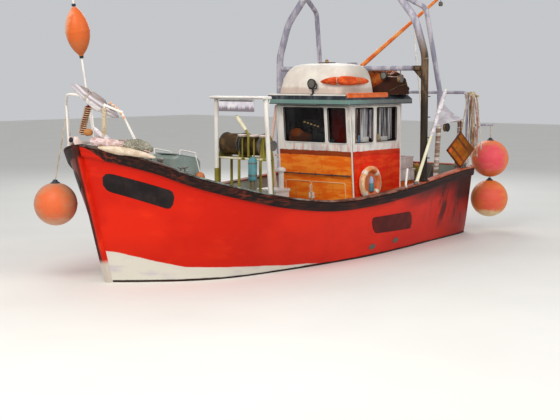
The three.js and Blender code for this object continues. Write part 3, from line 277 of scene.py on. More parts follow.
class Shape:
    """Gathers the closed forms of one piece, each with a number for its material."""

    def __init__(self):
        self.mesh = bmesh.new()

    def take(self, part, material):
        """Adds a closed form, with its faces turned outwards."""
        bmesh.ops.recalc_face_normals(part, faces=part.faces)
        moved = {v: self.mesh.verts.new(v.co) for v in part.verts}
        for face in part.faces:
            self.mesh.faces.new([moved[v] for v in face.verts]).material_index = material
        part.free()
        return self

    def box(self, low, high, ease=0.004, material=0, turn=None, about=(0, 0, 0)):
        part = bmesh.new()
        bmesh.ops.create_cube(part, size=1)
        low, high = Vector(map(min, low, high)), Vector(map(max, low, high))
        size = high - low
        for v in part.verts:
            v.co = (low + high) / 2 + Vector((v.co.x * size.x, v.co.y * size.y, v.co.z * size.z))
        ease = min(ease, min(size) * 0.45)
        bmesh.ops.bevel(part, geom=part.edges[:], offset=ease, segments=2, affect="EDGES", profile=0.6)
        if turn is not None:
            bmesh.ops.rotate(part, cent=about, matrix=turn, verts=part.verts)
        return self.take(part, material)

    def cut(self, outline, plane, span, ease=0.003, material=0):
        """An outline in the xz, yz or xy plane, drawn out over a span of the third axis."""
        lay = {
            "xz": lambda u, v, w: (u, w, v), "yz": lambda u, v, w: (w, u, v),
            "xy": lambda u, v, w: (u, v, w)}[plane]
        part = bmesh.new()
        ends = [[part.verts.new(lay(u, v, w)) for u, v in outline] for w in span]
        count = len(outline)
        part.faces.new(ends[0])
        part.faces.new(ends[1][::-1])
        for i in range(count):
            j = (i + 1) % count
            part.faces.new((ends[0][i], ends[1][i], ends[1][j], ends[0][j]))
        bmesh.ops.recalc_face_normals(part, faces=part.faces)
        if ease:
            sharp = [e for e in part.edges if len(e.link_faces) == 2 and e.calc_face_angle(0) > 0.45]
            bmesh.ops.bevel(part, geom=sharp, offset=ease, segments=2, affect="EDGES", profile=0.6)
        return self.take(part, material)

    def rows(self, rows, material=0, around=True, ends=True):
        """A skin over rows of points. around closes each row, ends fills the first and the last."""
        part = bmesh.new()
        made = [[part.verts.new(p) for p in row] for row in rows]
        count = len(rows[0])
        for one, two in zip(made, made[1:]):
            for i in range(count if around else count - 1):
                j = (i + 1) % count
                part.faces.new((one[i], one[j], two[j], two[i]))
        if ends:
            part.faces.new(made[0][::-1])
            part.faces.new(made[-1])
        bmesh.ops.remove_doubles(part, verts=part.verts, dist=1e-6)
        return self.take(part, material)

    def tube(self, path, radius, sides=14, material=0, loop=False):
        """A round bar along a path. radius is one number, or one for each point."""
        path = [Vector(p) for p in path]
        radii = radius if isinstance(radius, (list, tuple)) else [radius] * len(path)
        count = len(path)
        ways = []
        for i in range(count):
            before = path[i - 1] if loop or i else path[i]
            after = path[(i + 1) % count] if loop or i + 1 < count else path[i]
            ways.append((after - before).normalized())
        side = ways[0].orthogonal().normalized()
        rows = []
        for point, way, r in zip(path, ways, radii):
            side = (side - way * side.dot(way)).normalized()
            up = way.cross(side)
            rows.append(circle(point, side, up, r, sides))
        return self.rows(rows + rows[:1] if loop else rows, material, ends=not loop)

    def turned(self, profile, at, axis="z", sides=32, material=0):
        """A profile of radius and height, turned about an axis through a place."""
        at = Vector(at)
        spoke, other, along = {"x": ((0, 1, 0), (0, 0, 1), (1, 0, 0)), "y": ((0, 0, 1), (1, 0, 0), (0, 1, 0)),
                               "z": ((1, 0, 0), (0, 1, 0), (0, 0, 1))}[axis]
        spoke, other, along = Vector(spoke), Vector(other), Vector(along)
        rows = [circle(at + along * h, spoke, other, max(r, 1e-5), sides) for r, h in profile]
        return self.rows(rows, material)

    def ball(self, at, radius, stretch=(1, 1, 1), sides=28, material=0):
        at, steps, rows = Vector(at), sides // 2, []
        for k in range(steps + 1):
            r, z = max(radius * math.sin(math.pi * k / steps), 1e-5), -radius * math.cos(math.pi * k / steps)
            spots = [(r * math.cos(a) * stretch[0], r * math.sin(a) * stretch[1]) for a in angles(sides)]
            rows.append([at + Vector((x, y, z * stretch[2])) for x, y in spots])
        return self.rows(rows, material)

    def made(self, name, materials, body="boat", stands_for=(), slot=None, smooth=38):
        """The finished object, riding on its body."""
        data = bpy.data.meshes.new(name)
        self.mesh.to_mesh(data)
        self.mesh.free()
        return settle(name, data, materials, body, stands_for, smooth)


def settle(name, data, materials, body="boat", stands_for=(), smooth=38):
    """Gives a mesh its materials and its smooth shading, and makes it ride on its body."""
    if data.materials:
        data.materials.clear()
    for material in materials if isinstance(materials, (list, tuple)) else [materials]:
        data.materials.append(material)
    data.shade_smooth()
    data.set_sharp_from_angle(angle=math.radians(smooth))
    piece = bpy.data.objects.new(name, data)
    bpy.context.scene.collection.objects.link(piece)
    if body:
        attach(piece, body)
    if stands_for:
        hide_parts(*stands_for)
    return piece


def disc(radius, low, high):
    """The profile of a plain disc or pin."""
    return [(0.0, low), (radius, low), (radius, high), (0.0, high)]


def foot_plate(radius, edge, neck, height):
    """The profile of a round plate whose top slopes up to a neck."""
    return [(0.0, 0.0), (radius, 0.0), (radius, edge), (neck, height), (0.0, height)]


def wheel_profile(rim, middle, half):
    """The profile of a wheel whose face swells or narrows half-way: a block's cheek, or its sheave."""
    return [(0.0, -half), (rim, -half), (middle, 0.0), (rim, half), (0.0, half)]


def rounded(points, bend, steps=6, loop=False):
    """A path whose corners are rounded with a bend of that radius, as a tube bender leaves them."""
    points = [Vector(p) for p in points]
    count = len(points)
    path = []
    for i, corner in enumerate(points):
        if not loop and i in (0, count - 1):
            path.append(corner)
            continue
        back, on = points[i - 1] - corner, points[(i + 1) % count] - corner
        half = back.angle(on) / 2
        reach = min(bend / math.tan(half), back.length * 0.48, on.length * 0.48)
        a, b = corner + back.normalized() * reach, corner + on.normalized() * reach
        for k in range(steps + 1):
            t = k / steps
            path.append(a * (1 - t) ** 2 + corner * 2 * t * (1 - t) + b * t * t)
    return path


def repaint(slot_name, material, *nodes):
    """CAD nodes whose shape is right keep it, and get a better finish."""
    for node in nodes:
        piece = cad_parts[node]
        piece.data.materials.clear()
        piece.data.materials.append(material)


# %% [markdown]
# ## The lines of the hull
# A shipwright draws a hull as stations: cross sections at places along the boat. The same table that shaped
# the CAD hull is read here with a smooth curve through it, so the skin can be as fine as the picture needs
# while it stays on the solid. Near the stem each station leans with it, which gives the bow its rake.

# %% Stations and the skin's points
DECK, WALL, KEEL_HALF, STEM_TOP = 0.42, 0.09, 0.08, (4.98, 2.24)
BREAK_X, BREAK_Z, TIP_X, TIP_Z = 2.5, 1.28, 4.9, 2.12
# Each station: place along the boat, height of the sheer, half breadth there and at the water, depth below it
STATIONS = (
    (-5.00, 1.420, 0.850, 0.800, 0.240), (-4.93, 1.420, 1.170, 1.050, 0.250),
    (-4.75, 1.420, 1.420, 1.240, 0.280), (-4.45, 1.420, 1.570, 1.330, 0.330),
    (-3.95, 1.412, 1.660, 1.385, 0.430), (-3.00, 1.350, 1.785, 1.470, 0.620),
    (-1.80, 1.250, 1.900, 1.600, 0.740), (-0.50, 1.160, 1.960, 1.670, 0.800),
    (0.80, 1.150, 1.945, 1.590, 0.830), (2.00, 1.295, 1.860, 1.440, 0.830),
    (3.00, 1.515, 1.660, 1.230, 0.820), (3.80, 1.745, 1.350, 0.870, 0.810),
    (4.30, 1.965, 1.040, 0.530, 0.800), (4.65, 2.105, 0.700, 0.290, 0.800),
    (4.86, 2.190, 0.370, 0.130, 0.800), (4.97, 2.240, 0.050, 0.050, 0.800),)
LAST = len(STATIONS) - 1


def station(number):
    """The five values of a station, and of any place between two of them, on a smooth curve."""
    number = min(max(number, 0), LAST)
    i = min(int(number), LAST - 1)
    p = number - i
    here, after = STATIONS[i], STATIONS[i + 1]
    before = STATIONS[i - 1] if i > 0 else after
    beyond = STATIONS[i + 2] if i + 2 <= LAST else here
    w0, w1 = -0.5 * p ** 3 + p ** 2 - 0.5 * p, 1.5 * p ** 3 - 2.5 * p ** 2 + 1
    w2, w3 = -1.5 * p ** 3 + 2 * p ** 2 + 0.5 * p, 0.5 * p ** 3 - 0.5 * p ** 2
    return [w0 * a + w1 * b + w2 * c + w3 * d for a, b, c, d in zip(before, here, after, beyond)]


def stem_x(z):
    if z >= 0:
        return 4.35 + 0.63 * z / STEM_TOP[1]
    return 4.35 - 0.9 * (z / -0.8) ** 1.6


def skin_point(number, z, inset=0.0):
    """A point of the port skin at a height, or of the bulwark's inner face with the wall as inset."""
    x, sheer, deck, water, depth = station(number)
    deck, water = max(deck - inset, 0.008), max(water - inset, 0.006)
    share = min(max((x - BREAK_X) / (STEM_TOP[0] - BREAK_X), 0), 1) ** 1.5
    place = (x - (STEM_TOP[0] - stem_x(z)) * share) * (1 - 1.2 * inset / STEM_TOP[0])
    if z >= 0:
        return Vector((place, water + (deck - water) * (z / sheer) ** (0.8 + 0.5 * share), z))
    down = min(-z / depth, 1)
    return Vector((place, KEEL_HALF + max(water - KEEL_HALF, 0) * (1 - down ** 2.2) ** 0.75, z))


def station_at(x, z=None, inset=0.0):
    """The station number whose skin passes a place, at a height or at the sheer."""
    low, high = 0.0, float(LAST)
    for _ in range(40):
        middle = (low + high) / 2
        height = station(middle)[1] if z is None else z
        if skin_point(middle, height, inset).x < x:
            low = middle
        else:
            high = middle
    return (low + high) / 2


def sheer_z(x):
    return station(station_at(x))[1]


def deck_z(x):
    return BREAK_Z + (TIP_Z - BREAK_Z) * (x - BREAK_X) / (TIP_X - BREAK_X) if x > BREAK_X else DECK

# %% [markdown]
# ## The hull's paint
# The topsides are brushed gloss red. Painted shade under the rub band, on the starboard bow and towards the
# stern leaves the red brightest along the middle of the boat. Where ropes and boards chafe at the quarter
# there are upright scars. A cream boot-top starts high at the stem and runs down to nothing amidships, and a
# thin line of brown growth follows the water. Each of these is a mask made from the place of a point on the
# hull, and its edge is roughened with noise so that it looks brushed and not printed.

# %% Hull paint
def hull_paint():
    coat = Finish("hull_red")
    x, y, z = coat.axes()
    brush = coat.noise(5, (0.35, 0.35, 1.2), detail=5, lobes=0.65)
    broad = coat.noise(0.9, (0.6, 1, 1), detail=3)
    red = coat.mix(coat.rise(broad, 0.4, 0.62), "cb1a04", "dc2408")
    red = coat.mix(coat.rise(brush, 0.55, 0.75) * 0.5, red, "e83412")
    # Painted shade in a strip under the rub band aft of amidships, deeper along the quarter
    sheer_line = x * -0.075 + 1.125
    strip = coat.rise(z - sheer_line + brush * 0.16, -0.22, -0.02) * coat.rise(x * -1, -0.2, 1.0)
    red = coat.mix(strip * 0.75, red, "5a120a")
    quarter_rail_shade = coat.rise(z - sheer_line + brush * 0.2, -0.42, -0.12) * coat.rise(x * -1, 1.3, 2.3)
    red = coat.mix(quarter_rail_shade * 0.85, red, "4a0c0a")
    # Painted shade on the starboard bow beside the stem
    starboard_bow_shade = coat.rise(y * -1, 0.0, 0.04) * coat.rise(x, 4.2, 4.5) * coat.rise(z, 1.0, 1.6)
    red = coat.mix(starboard_bow_shade * 0.85, red, "4a221a")
    # Painted shade that darkens the red towards the stern
    aft = coat.rise(x * -1 + broad * 1.2, 3.1, 5.2)
    red = coat.mix(aft * 0.8, red, "7c120b")
    # Upright scars at the quarter, and softer ones all along
    scars = coat.noise(6, (1, 1, 0.12), detail=4, lobes=0.7)
    quarter = coat.rise(x * -1, 2.1, 3.4) * coat.rise(z, 0.1, 0.6)
    red = coat.mix(coat.rise(scars, 0.5, 0.62) * quarter * 0.9, red, "2c0b09")
    # Darker still high on the stern quarter
    corner = coat.rise(x * -1, 3.3, 4.0) * coat.rise(z + brush * 0.3, 0.75, 1.05)
    red = coat.mix(corner * 0.9, red, "220a0a")
    blots = coat.rise(coat.noise(3.2, (1, 1, 0.25), detail=3), 0.52, 0.6) * coat.rise(x * -1, 2.9, 3.7)
    red = coat.mix(blots * coat.rise(z, 0.35, 0.8) * 0.85, red, "2a0c0a")
    red = coat.mix(coat.rise(scars, 0.62, 0.8) * 0.3, red, "8e170c")
    # Dull strokes low on the bow, where the anchor chain and the fender rub
    low = coat.rise(z * -1 + brush * 0.3, -0.75, -0.35) * coat.rise(x, -1.0, 3.5)
    red = coat.mix(low * 0.35, red, "b81c06")
    ragged = brush * 0.05 - 0.025
    top = x * 0.075 - 0.02 + coat.rise(x, 3.5, 4.6) * 0.22
    cream = coat.rise(top + ragged - z, -0.008, 0.008) * coat.rise(x, 0.7, 1.3)
    white = coat.mix(coat.rise(coat.noise(3, (0.5, 0.5, 1.6), detail=4), 0.45, 0.7), "d6d3c6", "c3bcc2")
    shade = coat.mix(cream, red, white)
    growth = coat.rise(0.040 + ragged * 0.9 - z, -0.006, 0.01)
    shade = coat.mix(growth, shade, "33201a")
    rough = brush * 0.16 + 0.32 + cream * 0.08 + growth * 0.35 + quarter * 0.1
    return coat.ground(shade, rough, None, brush + coat.rise(scars, 0.5, 0.7) * quarter * -0.6, 0.0018)


paint["hull_red"] = hull_paint()


# %% [markdown]
# ## Hull skin and decks
# One closed skin runs round every section: down the outer side, under the bottom, up the other side, over the
# top of the bulwark, down its inner face and across the deck. The deck steps up to the foredeck, so two
# sections stand at that place. The piece replaces the faceted hull and its three bulwarks.

# %% Hull skin
OUTER = [1 - k / 14 for k in range(14)] + [0.0]
BELOW = [0.12, 0.25, 0.4, 0.55, 0.7, 0.82, 0.91, 0.97, 1.0]


def section(number, deck, inner):
    """A closed section: the outer skin, then the rim, the inner face and the deck."""
    x, sheer, *_, depth = station(number)
    outer = [skin_point(number, f * sheer) for f in OUTER] + [skin_point(number, -d * depth) for d in BELOW]
    port = []
    for k in range(7):
        height = sheer + (deck - sheer) * k / 6
        port.append(skin_point(number, height, WALL))
    if not inner:
        for point in port:
            point.z = sheer
    if inner == "end":
        for point in port:
            point.x = x
    across = [Vector((port[-1].x, port[-1].y * (1 - k / 6), port[-1].z)) for k in range(1, 7)]
    half = outer[::-1] + port + across
    return half + [Vector((p.x, -p.y, p.z)) for p in half[-2::-1]]


def hull_skin():
    numbers = sorted({k / 8 for k in range(8 * LAST + 1)})
    step = station_at(BREAK_X, DECK, WALL)
    rows = [section(0, DECK, "end"), section(0, DECK, None)]
    # The sections of the well, the step up to the foredeck, and the foredeck
    for number in sorted(numbers + [step]):
        raised = max(BREAK_Z, deck_z(skin_point(number, 1, WALL).x))
        rows.append(section(number, DECK if number <= step else raised, True))
        if number == step:
            rows.append(section(number, BREAK_Z, True))
    shape = Shape()
    shape.rows(rows)
    shape.mesh.normal_update()
    for face in shape.mesh.faces:
        middle = face.calc_center_median()
        number = station_at(middle.x, max(middle.z, 0))
        transom = middle.x < -4.6 and face.normal.x < -0.5
        outside = abs(middle.y) > skin_point(number, middle.z).y - 0.03 or transom or middle.z < 0.3
        flat = face.normal.z > 0.8
        face.material_index = 2 if flat and middle.z < sheer_z(middle.x) - 0.04 else 0 if outside else 1
    return shape.made(
        "hull_skin", [paint["hull_red"], paint["inside_bulwark"], paint["deck_grey"]],
        stands_for=("hull", "bulwark_port", "bulwark_starboard", "bulwark_stern"), slot="red_paint")


hull = hull_skin()
print("hull skin faces", len(hull.data.polygons))

# %% [markdown]
# ## Rub band and cap rail
# A heavy rubbing strake of dark timber takes the knocks below the sheer, and a flat cap closes the bulwark's
# top. Both follow the hull, so each is swept by moving one cross section along the stations. The cap's paint
# changes on its way aft: grey-green by the hood, dark amidships, then orange worn to pink by the gallows.

# %% Rails along the sheer
def cap_paint():
    coat = Finish("cap_rail")
    x = coat.axes()[0]
    worn = coat.noise(6, (0.4, 1, 1), detail=5, lobes=0.7)
    share = coat.rise(worn, 0.42, 0.62)
    shade = coat.mix(coat.rise(x + worn, -1.6, -0.6), coat.mix(share, "ac4626", "c47a5c"), coat.mix(
        share, "4a2a20", "9a6450"))
    shade = coat.mix(coat.rise(x + worn * 1.5, 1.2, 3.4), shade, coat.mix(share, "3c2c28", "7f8a84"))
    shade = coat.mix(coat.rise(x, 3.9, 4.1), shade, coat.mix(share, "33231f", "5a4840"))
    shade = coat.mix(coat.rise(coat.noise(16, (0.3, 1, 1)), 0.6, 0.72), shade, "2a1a16")
    return coat.ground(shade, worn * 0.3 + 0.45, None, worn, 0.003)


def band_paint():
    coat = Finish("rub_band")
    x, y, z = coat.axes()
    grain = coat.noise(14, (0.12, 1, 1.6), detail=5, lobes=0.7)
    broad = coat.noise(1.3, (0.6, 1, 1), detail=3)
    shade = coat.mix(coat.rise(grain, 0.45, 0.62), "1f1312", "3b2019")
    shade = coat.mix(coat.rise(broad, 0.5, 0.62) * coat.rise(grain, 0.5, 0.6), shade, "6a2a1c")
    # The hull's red has been brushed up over the band's lower edge where it narrows to the stem
    below = x * 0.41 + 0.232 - z
    narrow = coat.rise(below - (5.0 - x) * 0.8, 0.030, 0.038) * coat.rise(x, 4.70, 4.80)
    shade = coat.mix(narrow * coat.rise(y, 0.0, 0.02), shade, "c41c06")
    return coat.ground(shade, grain * 0.3 + 0.4, None, grain, 0.004)


paint["cap_rail"], paint["rub_band"] = cap_paint(), band_paint()

BAND = ((-0.012, -0.006), (0.034, -0.004), (0.045, -0.014), (0.047, -0.062), (0.041, -0.072), (0.041, -0.084),
        (0.046, -0.094), (0.045, -0.150), (0.034, -0.163), (-0.012, -0.160))
CAP = (
    (0.036, 0.001), (0.049, 0.007), (0.052, 0.018), (0.043, 0.029), (0.0, 0.0315), (-0.075, 0.0315),
    (-0.118, 0.029), (-0.128, 0.020), (-0.127, 0.008), (-0.116, 0.001))


def along_sheer(side, outline, first=0.0, last=LAST):
    """Rows of a cross section moved along the sheer. Its points are (out from skin, up from sheer)."""
    rows = []
    for k in range(8 * LAST + 1):
        number = first + (last - first) * k / (8 * LAST)
        sheer = station(number)[1]
        one, two = (skin_point(number + d, sheer) for d in (-0.06, 0.06))
        out = Vector((-(two.y - one.y), two.x - one.x, 0)).normalized()
        if number < 0.3:
            out = out.lerp(Vector((-0.9, 0.44, 0)).normalized(), 1 - number / 0.3)
        row = []
        for away, up in outline:
            base = skin_point(number, sheer + min(up, 0))
            point = base + out * away
            row.append(Vector((point.x, side * max(point.y, 0.0555), sheer + up)))
        rows.append(row)
    if first == 0.0:
        x, sheer = STATIONS[0][:2]
        rows.insert(0, [Vector((x - away, side * 0.0002, sheer + up)) for away, up in outline])
    return rows


for name, side in (("port", 1), ("starboard", -1)):
    Shape().rows(along_sheer(side, BAND)).made(f"rub_band_{name}", paint["rub_band"],
                                                stands_for=(f"gunwale_{name}",), slot="dark_rail")
    Shape().rows(along_sheer(side, CAP)).made(f"cap_rail_{name}", paint["cap_rail"], slot="dark_rail")


def stem_paint():
    """The hull's red on the stem's port face, and painted shade on its fore and starboard faces."""
    coat = Finish("stem_paint")
    _, y, z = coat.axes()
    brush = coat.noise(6, (1, 1, 0.5), detail=4)
    red = coat.mix(coat.rise(brush, 0.45, 0.65), "c41c06", "dc2c0c")
    # Painted shade for every face of the stem but the port one
    stem_shade = coat.mix(coat.rise(brush, 0.4, 0.6), "3a1610", "5a2418")
    face = coat.rise(y + brush * 0.02, 0.012, 0.030) * coat.rise(z * -1, -2.12, -2.02)
    shade = coat.mix(face, stem_shade, red)
    return coat.ground(
        coat.mix(coat.rise(0.35 - z + brush * 0.1, 0.0, 0.1), shade, "c9c0b4"), 0.45, None, brush, 0.002)


repaint("brown_wood", stem_paint(), "stem_post")
repaint("antifouling", paint["antifouling"], "keel", "rudder")
repaint("bronze", paint["bronze"], "propeller")

# %% [markdown]
# ## Repeating pieces by rule
# Stays behind the bulwark, bolts, rope strands and wheel spokes repeat along a line. Geometry Nodes place
# them: a curve says where, a few named inputs say how large and how far apart, and the result is turned into
# a plain mesh. `evenly` holds one such tree. It sets a small form at even steps along a path, turned to
# follow it.

# %% Trees for forms that repeat
def new_tree(name, *inputs):
    """An empty geometry tree with its geometry input and output, and named number inputs."""
    tree = bpy.data.node_groups.new(name, "GeometryNodeTree")
    tree.interface.new_socket("Geometry", in_out="INPUT", socket_type="NodeSocketGeometry")
    for label, kind, value in inputs:
        socket = tree.interface.new_socket(label, in_out="INPUT", socket_type="NodeSocket" + kind)
        if value is not None:
            socket.default_value = value
    tree.interface.new_socket("Geometry", in_out="OUTPUT", socket_type="NodeSocketGeometry")
    return tree, tree.nodes.new("NodeGroupInput"), tree.nodes.new("NodeGroupOutput")


def add(tree, kind, settings=None, **links):
    """One node of a geometry tree. A link's name is its socket's, with _ for a space."""
    node = tree.nodes.new(kind)
    for name, value in (settings or {}).items():
        setattr(node, name, value)
    for name, value in links.items():
        socket = node.inputs[
            int(name[1:]) if name[0] == "n" and name[1:].isdigit() else name.replace("_", " ")]
        if isinstance(value, bpy.types.NodeSocket):
            tree.links.new(value, socket)
        else:
            socket.default_value = value
    return node


def evenly_tree():
    tree, given, result = new_tree("evenly", ("Step", "Float", 0.3), ("Form", "Object", None),
                                   ("Finish", "Material", None))
    points = add(tree, "GeometryNodeCurveToPoints", {"mode": "LENGTH"}, Curve=given.outputs["Geometry"],
                 Length=given.outputs["Step"])
    turn = add(tree, "FunctionNodeAlignEulerToVector", {"axis": "X", "pivot_axis": "Z"},
               Vector=points.outputs["Tangent"])
    form = add(tree, "GeometryNodeObjectInfo", None, Object=given.outputs["Form"])
    placed = add(tree, "GeometryNodeInstanceOnPoints", None, Points=points.outputs["Points"],
                 Instance=form.outputs["Geometry"], Rotation=turn.outputs[0])
    real = add(tree, "GeometryNodeRealizeInstances", None, Geometry=placed.outputs[0])
    done = add(
        tree, "GeometryNodeSetMaterial", None, Geometry=real.outputs[0], Material=given.outputs["Finish"])
    tree.links.new(done.outputs[0], result.inputs[0])
    return tree


def rope_tree():
    """Sweeps a profile of three strands along the path and twists it as it goes."""
    tree, given, result = new_tree("laid rope", ("Radius", "Float", 0.01), ("Lay", "Float", 0.1),
                                   ("Grain", "Float", 0.02), ("Finish", "Material", None))
    fine = add(tree, "GeometryNodeResampleCurve", {"mode": "LENGTH"}, Curve=given.outputs["Geometry"],
               Length=given.outputs["Grain"])
    along = add(tree, "GeometryNodeSplineParameter")
    turns = add(tree, "ShaderNodeMath", {"operation": "DIVIDE"}, n0=along.outputs["Length"],
                n1=given.outputs["Lay"])
    angle = add(tree, "ShaderNodeMath", {"operation": "MULTIPLY"}, n0=turns.outputs[0], n1=2 * math.pi)
    twisted = add(tree, "GeometryNodeSetCurveTilt", None, Curve=fine.outputs[0], Tilt=angle.outputs[0])
    ring = add(tree, "GeometryNodeCurvePrimitiveCircle", {"mode": "RADIUS"}, Resolution=12,
               Radius=given.outputs["Radius"])
    number = add(tree, "GeometryNodeInputIndex")
    third = add(tree, "ShaderNodeMath", {"operation": "MULTIPLY"}, n0=number.outputs[0], n1=math.pi / 2)
    lobe = add(tree, "ShaderNodeMath", {"operation": "COSINE"}, n0=third.outputs[0])
    reach = add(tree, "ShaderNodeMath", {"operation": "MULTIPLY_ADD"}, n0=lobe.outputs[0], n1=0.16, n2=0.84)
    spot = add(tree, "GeometryNodeInputPosition")
    pulled = add(
        tree, "ShaderNodeVectorMath", {"operation": "SCALE"}, n0=spot.outputs[0], Scale=reach.outputs[0])
    strands = add(tree, "GeometryNodeSetPosition", None, Geometry=ring.outputs[0], Position=pulled.outputs[0])
    swept = add(
        tree, "GeometryNodeCurveToMesh", None, Curve=twisted.outputs[0], Profile_Curve=strands.outputs[0],
        Fill_Caps=True)
    real = add(tree, "GeometryNodeRealizeInstances", None, Geometry=swept.outputs[0])
    done = add(
        tree, "GeometryNodeSetMaterial", None, Geometry=real.outputs[0], Material=given.outputs["Finish"])
    tree.links.new(done.outputs[0], result.inputs[0])
    return tree


EVENLY, ROPE = evenly_tree(), rope_tree()


def grow(tree, path, values, closed=False):
    """Runs a tree on a path of points and gives back the plain mesh."""
    line = bpy.data.curves.new("path", "CURVE")
    line.dimensions, line.twist_mode = "3D", "MINIMUM"
    for points in path if isinstance(path[0][0], (Vector, tuple, list)) else [path]:
        spline = line.splines.new("POLY")
        spline.points.add(len(points) - 1)
        for spot, point in zip(spline.points, points):
            spot.co = (*point, 1)
        spline.use_cyclic_u = closed
    guide = bpy.data.objects.new("path", line)
    bpy.context.scene.collection.objects.link(guide)
    rule = guide.modifiers.new("rule", "NODES")
    rule.node_group = tree
    for socket in tree.interface.items_tree:
        if socket.in_out == "INPUT" and socket.name in values:
            rule[socket.identifier] = values[socket.name]
    bpy.context.view_layer.update()
    mesh = bpy.data.meshes.new_from_object(guide.evaluated_get(bpy.context.evaluated_depsgraph_get()))
    guide.modifiers.remove(rule)
    bpy.data.objects.remove(guide)
    return mesh


def form_of(shape):
    """A small form for a tree to repeat. It isn't part of the scene itself."""
    data = bpy.data.meshes.new("form")
    shape.mesh.to_mesh(data)
    shape.mesh.free()
    return bpy.data.objects.new("form", data)


def repeated(name, path, step, shape, finish, body="boat", smooth=38, closed=False):
    mesh = grow(EVENLY, path, {"Step": step, "Form": form_of(shape), "Finish": finish}, closed)
    return settle(name, mesh, finish, body, smooth=smooth)


def rope(name, path, radius, finish, body="boat", closed=False, lay=None):
    """A laid rope along one path or several."""
    mesh = grow(
        ROPE, path, {"Radius": radius, "Lay": lay or radius * 7, "Grain": radius * 1.4, "Finish": finish},
        closed)
    return settle(name, mesh, finish, body, smooth=60)


# %% [markdown]
# ## Behind the bulwark
# Upright stays stiffen the bulwark every sixty centimetres or so. They stand on the deck and lean with the
# wall. A pair of oval outlets opens low on the port side, each with a pale lip below it.

# %% Bulwark stays and outlets
stays = Shape()
for side in (1, -1):
    for k in range(13):
        number = station_at(-4.2 + k * 0.545, DECK, WALL)
        foot, head = skin_point(number, DECK, WALL), skin_point(number, station(number)[1] - 0.01, WALL)
        outline = [(foot.y + 0.02, DECK - 0.002), (foot.y - 0.10, DECK - 0.002), (foot.y - 0.09, DECK + 0.05),
                   (head.y - 0.02, head.z - 0.04), (head.y + 0.02, head.z - 0.004)]
        stays.cut([(side * u, v) for u, v in outline], "yz", (foot.x - 0.022, foot.x + 0.022), ease=0.006)
stays.made("bulwark_stays", paint["inside_bulwark"], slot="deck_paint")


def skin_y(x, z):
    return skin_point(station_at(x, z), z).y


outlets = Shape()
for x, z in ((-0.59, 0.186), (-1.404, 0.219)):
    for bulge, grow_by, number in ((0.012, 1.0, 0), (0.006, 0.68, 1)):
        ring = []
        for k in range(20):
            a = 2 * math.pi * k / 20
            u, v = x + 0.105 * grow_by * math.cos(a), z + 0.052 * grow_by * math.sin(a)
            ring.append((u, v))
        behind = [Vector((u, skin_y(u, v) - 0.01, v)) for u, v in ring]
        edge = [Vector((u, skin_y(u, v) + bulge - 0.004, v)) for u, v in ring]
        lip = [Vector((x + (u - x) * 0.9, skin_y(u, v) + bulge, z + (v - z) * 0.86)) for u, v in ring]
        outlets.rows([behind, edge, lip], material=number)
outlets.made("side_outlets", [paint["drum_steel"], paint["dark_metal"]], slot="steel")


# %% [markdown]
# ## Plain plates on the bow and the side
# A black board with rounded ends sits on each bow, and a dark red one on each side amidships. They follow the
# flare of the hull, so each is a fine grid of points laid on the skin with its edge turned in.

# %% Blank plates
def plate(name, corners, thick, finish, side):
    """corners: the four corners (x, z) from the fore top one round; the plate's ends are rounded."""
    (ax, az), (bx, bz), (cx, cz), (dx, dz) = corners
    long, tall = 28, 10
    ring_rows = []
    for i in range(long + 1):
        u = i / long
        length, height = math.dist((ax, az), (bx, bz)), math.dist((ax, az), (dx, dz))
        edge = min(u, 1 - u) * length / (height * 0.30)
        pinch = 1 - (1 - min(edge, 1)) ** 2
        share = 0.5 * (0.42 + 0.58 * math.sqrt(max(pinch, 0)))
        row = []
        for j in range(tall + 1):
            v = 0.5 + (j / tall - 0.5) * 2 * share
            x = (ax * (1 - u) + bx * u) * (1 - v) + (dx * (1 - u) + cx * u) * v
            z = (az * (1 - u) + bz * u) * (1 - v) + (dz * (1 - u) + cz * u) * v
            row.append((x, z, 1.0 if 0 < j < tall and 0 < i < long else 0.45))
        front = [Vector((x, side * (skin_y(x, z) + thick * lift), z)) for x, z, lift in row]
        back = [Vector((x, side * (skin_y(x, z) - 0.004), z)) for x, z, lift in row]
        ring_rows.append(front + back[::-1])
    Shape().rows(ring_rows).made(name, paint[finish], slot="dark_metal", smooth=50)


BOW_PLATE = ((4.764, 1.842), (3.958, 1.518), (3.935, 1.211), (4.694, 1.539))
QUARTER_PLATE = ((-0.343, 0.762), (-1.825, 0.751), (-1.975, 0.392), (-0.539, 0.441))
for side_name, side in (("port", 1), ("starboard", -1)):
    plate(f"bow_plate_{side_name}", BOW_PLATE, 0.008, "plate_black", side)
    plate(f"quarter_plate_{side_name}", QUARTER_PLATE, 0.006, "plate_maroon", side)

# %% [markdown]
# ## Rope, net and float finishes
# A net heap shows as crossing twines with deep gaps, so its colour and its bump both come from the edges of
# cells, and the gaps get painted shade. Floats are inflated plastic: glossy, in rings of colour round the
# side that faces one way, and pale with growth below.

# %% Finishes for soft and floating gear
def twine(name, colour, light, dark, mesh_size=26, rough=0.9):
    coat = Finish(name)
    cross = coat.rise(coat.cells(mesh_size, (1, 1, 1.5), "DISTANCE_TO_EDGE"), 0.02, 0.16)
    fine = coat.noise(60, detail=3)
    broad = coat.rise(coat.noise(3.2, (1, 1.4, 2.2), detail=4, twist=0.6), 0.4, 0.62)
    shade = coat.mix(broad, colour, light)
    # Painted shade in the gaps between the twines, in the dirt colour
    shade = coat.mix(cross * 0.6, shade, dark)
    shade = coat.mix(coat.rise(fine, 0.6, 0.8) * 0.4, shade, dark)
    return coat.ground(shade, rough, None, fine * 0.4 - cross, 0.006)


def cordage(name, colour, light, dark):
    coat = Finish(name)
    fuzz = coat.noise(90, detail=3)
    broad = coat.noise(5, detail=3)
    shade = coat.mix(coat.rise(broad, 0.4, 0.6), colour, light)
    return coat.ground(coat.mix(coat.rise(fuzz, 0.5, 0.75) * 0.5, shade, dark), 0.9, None, fuzz, 0.002)


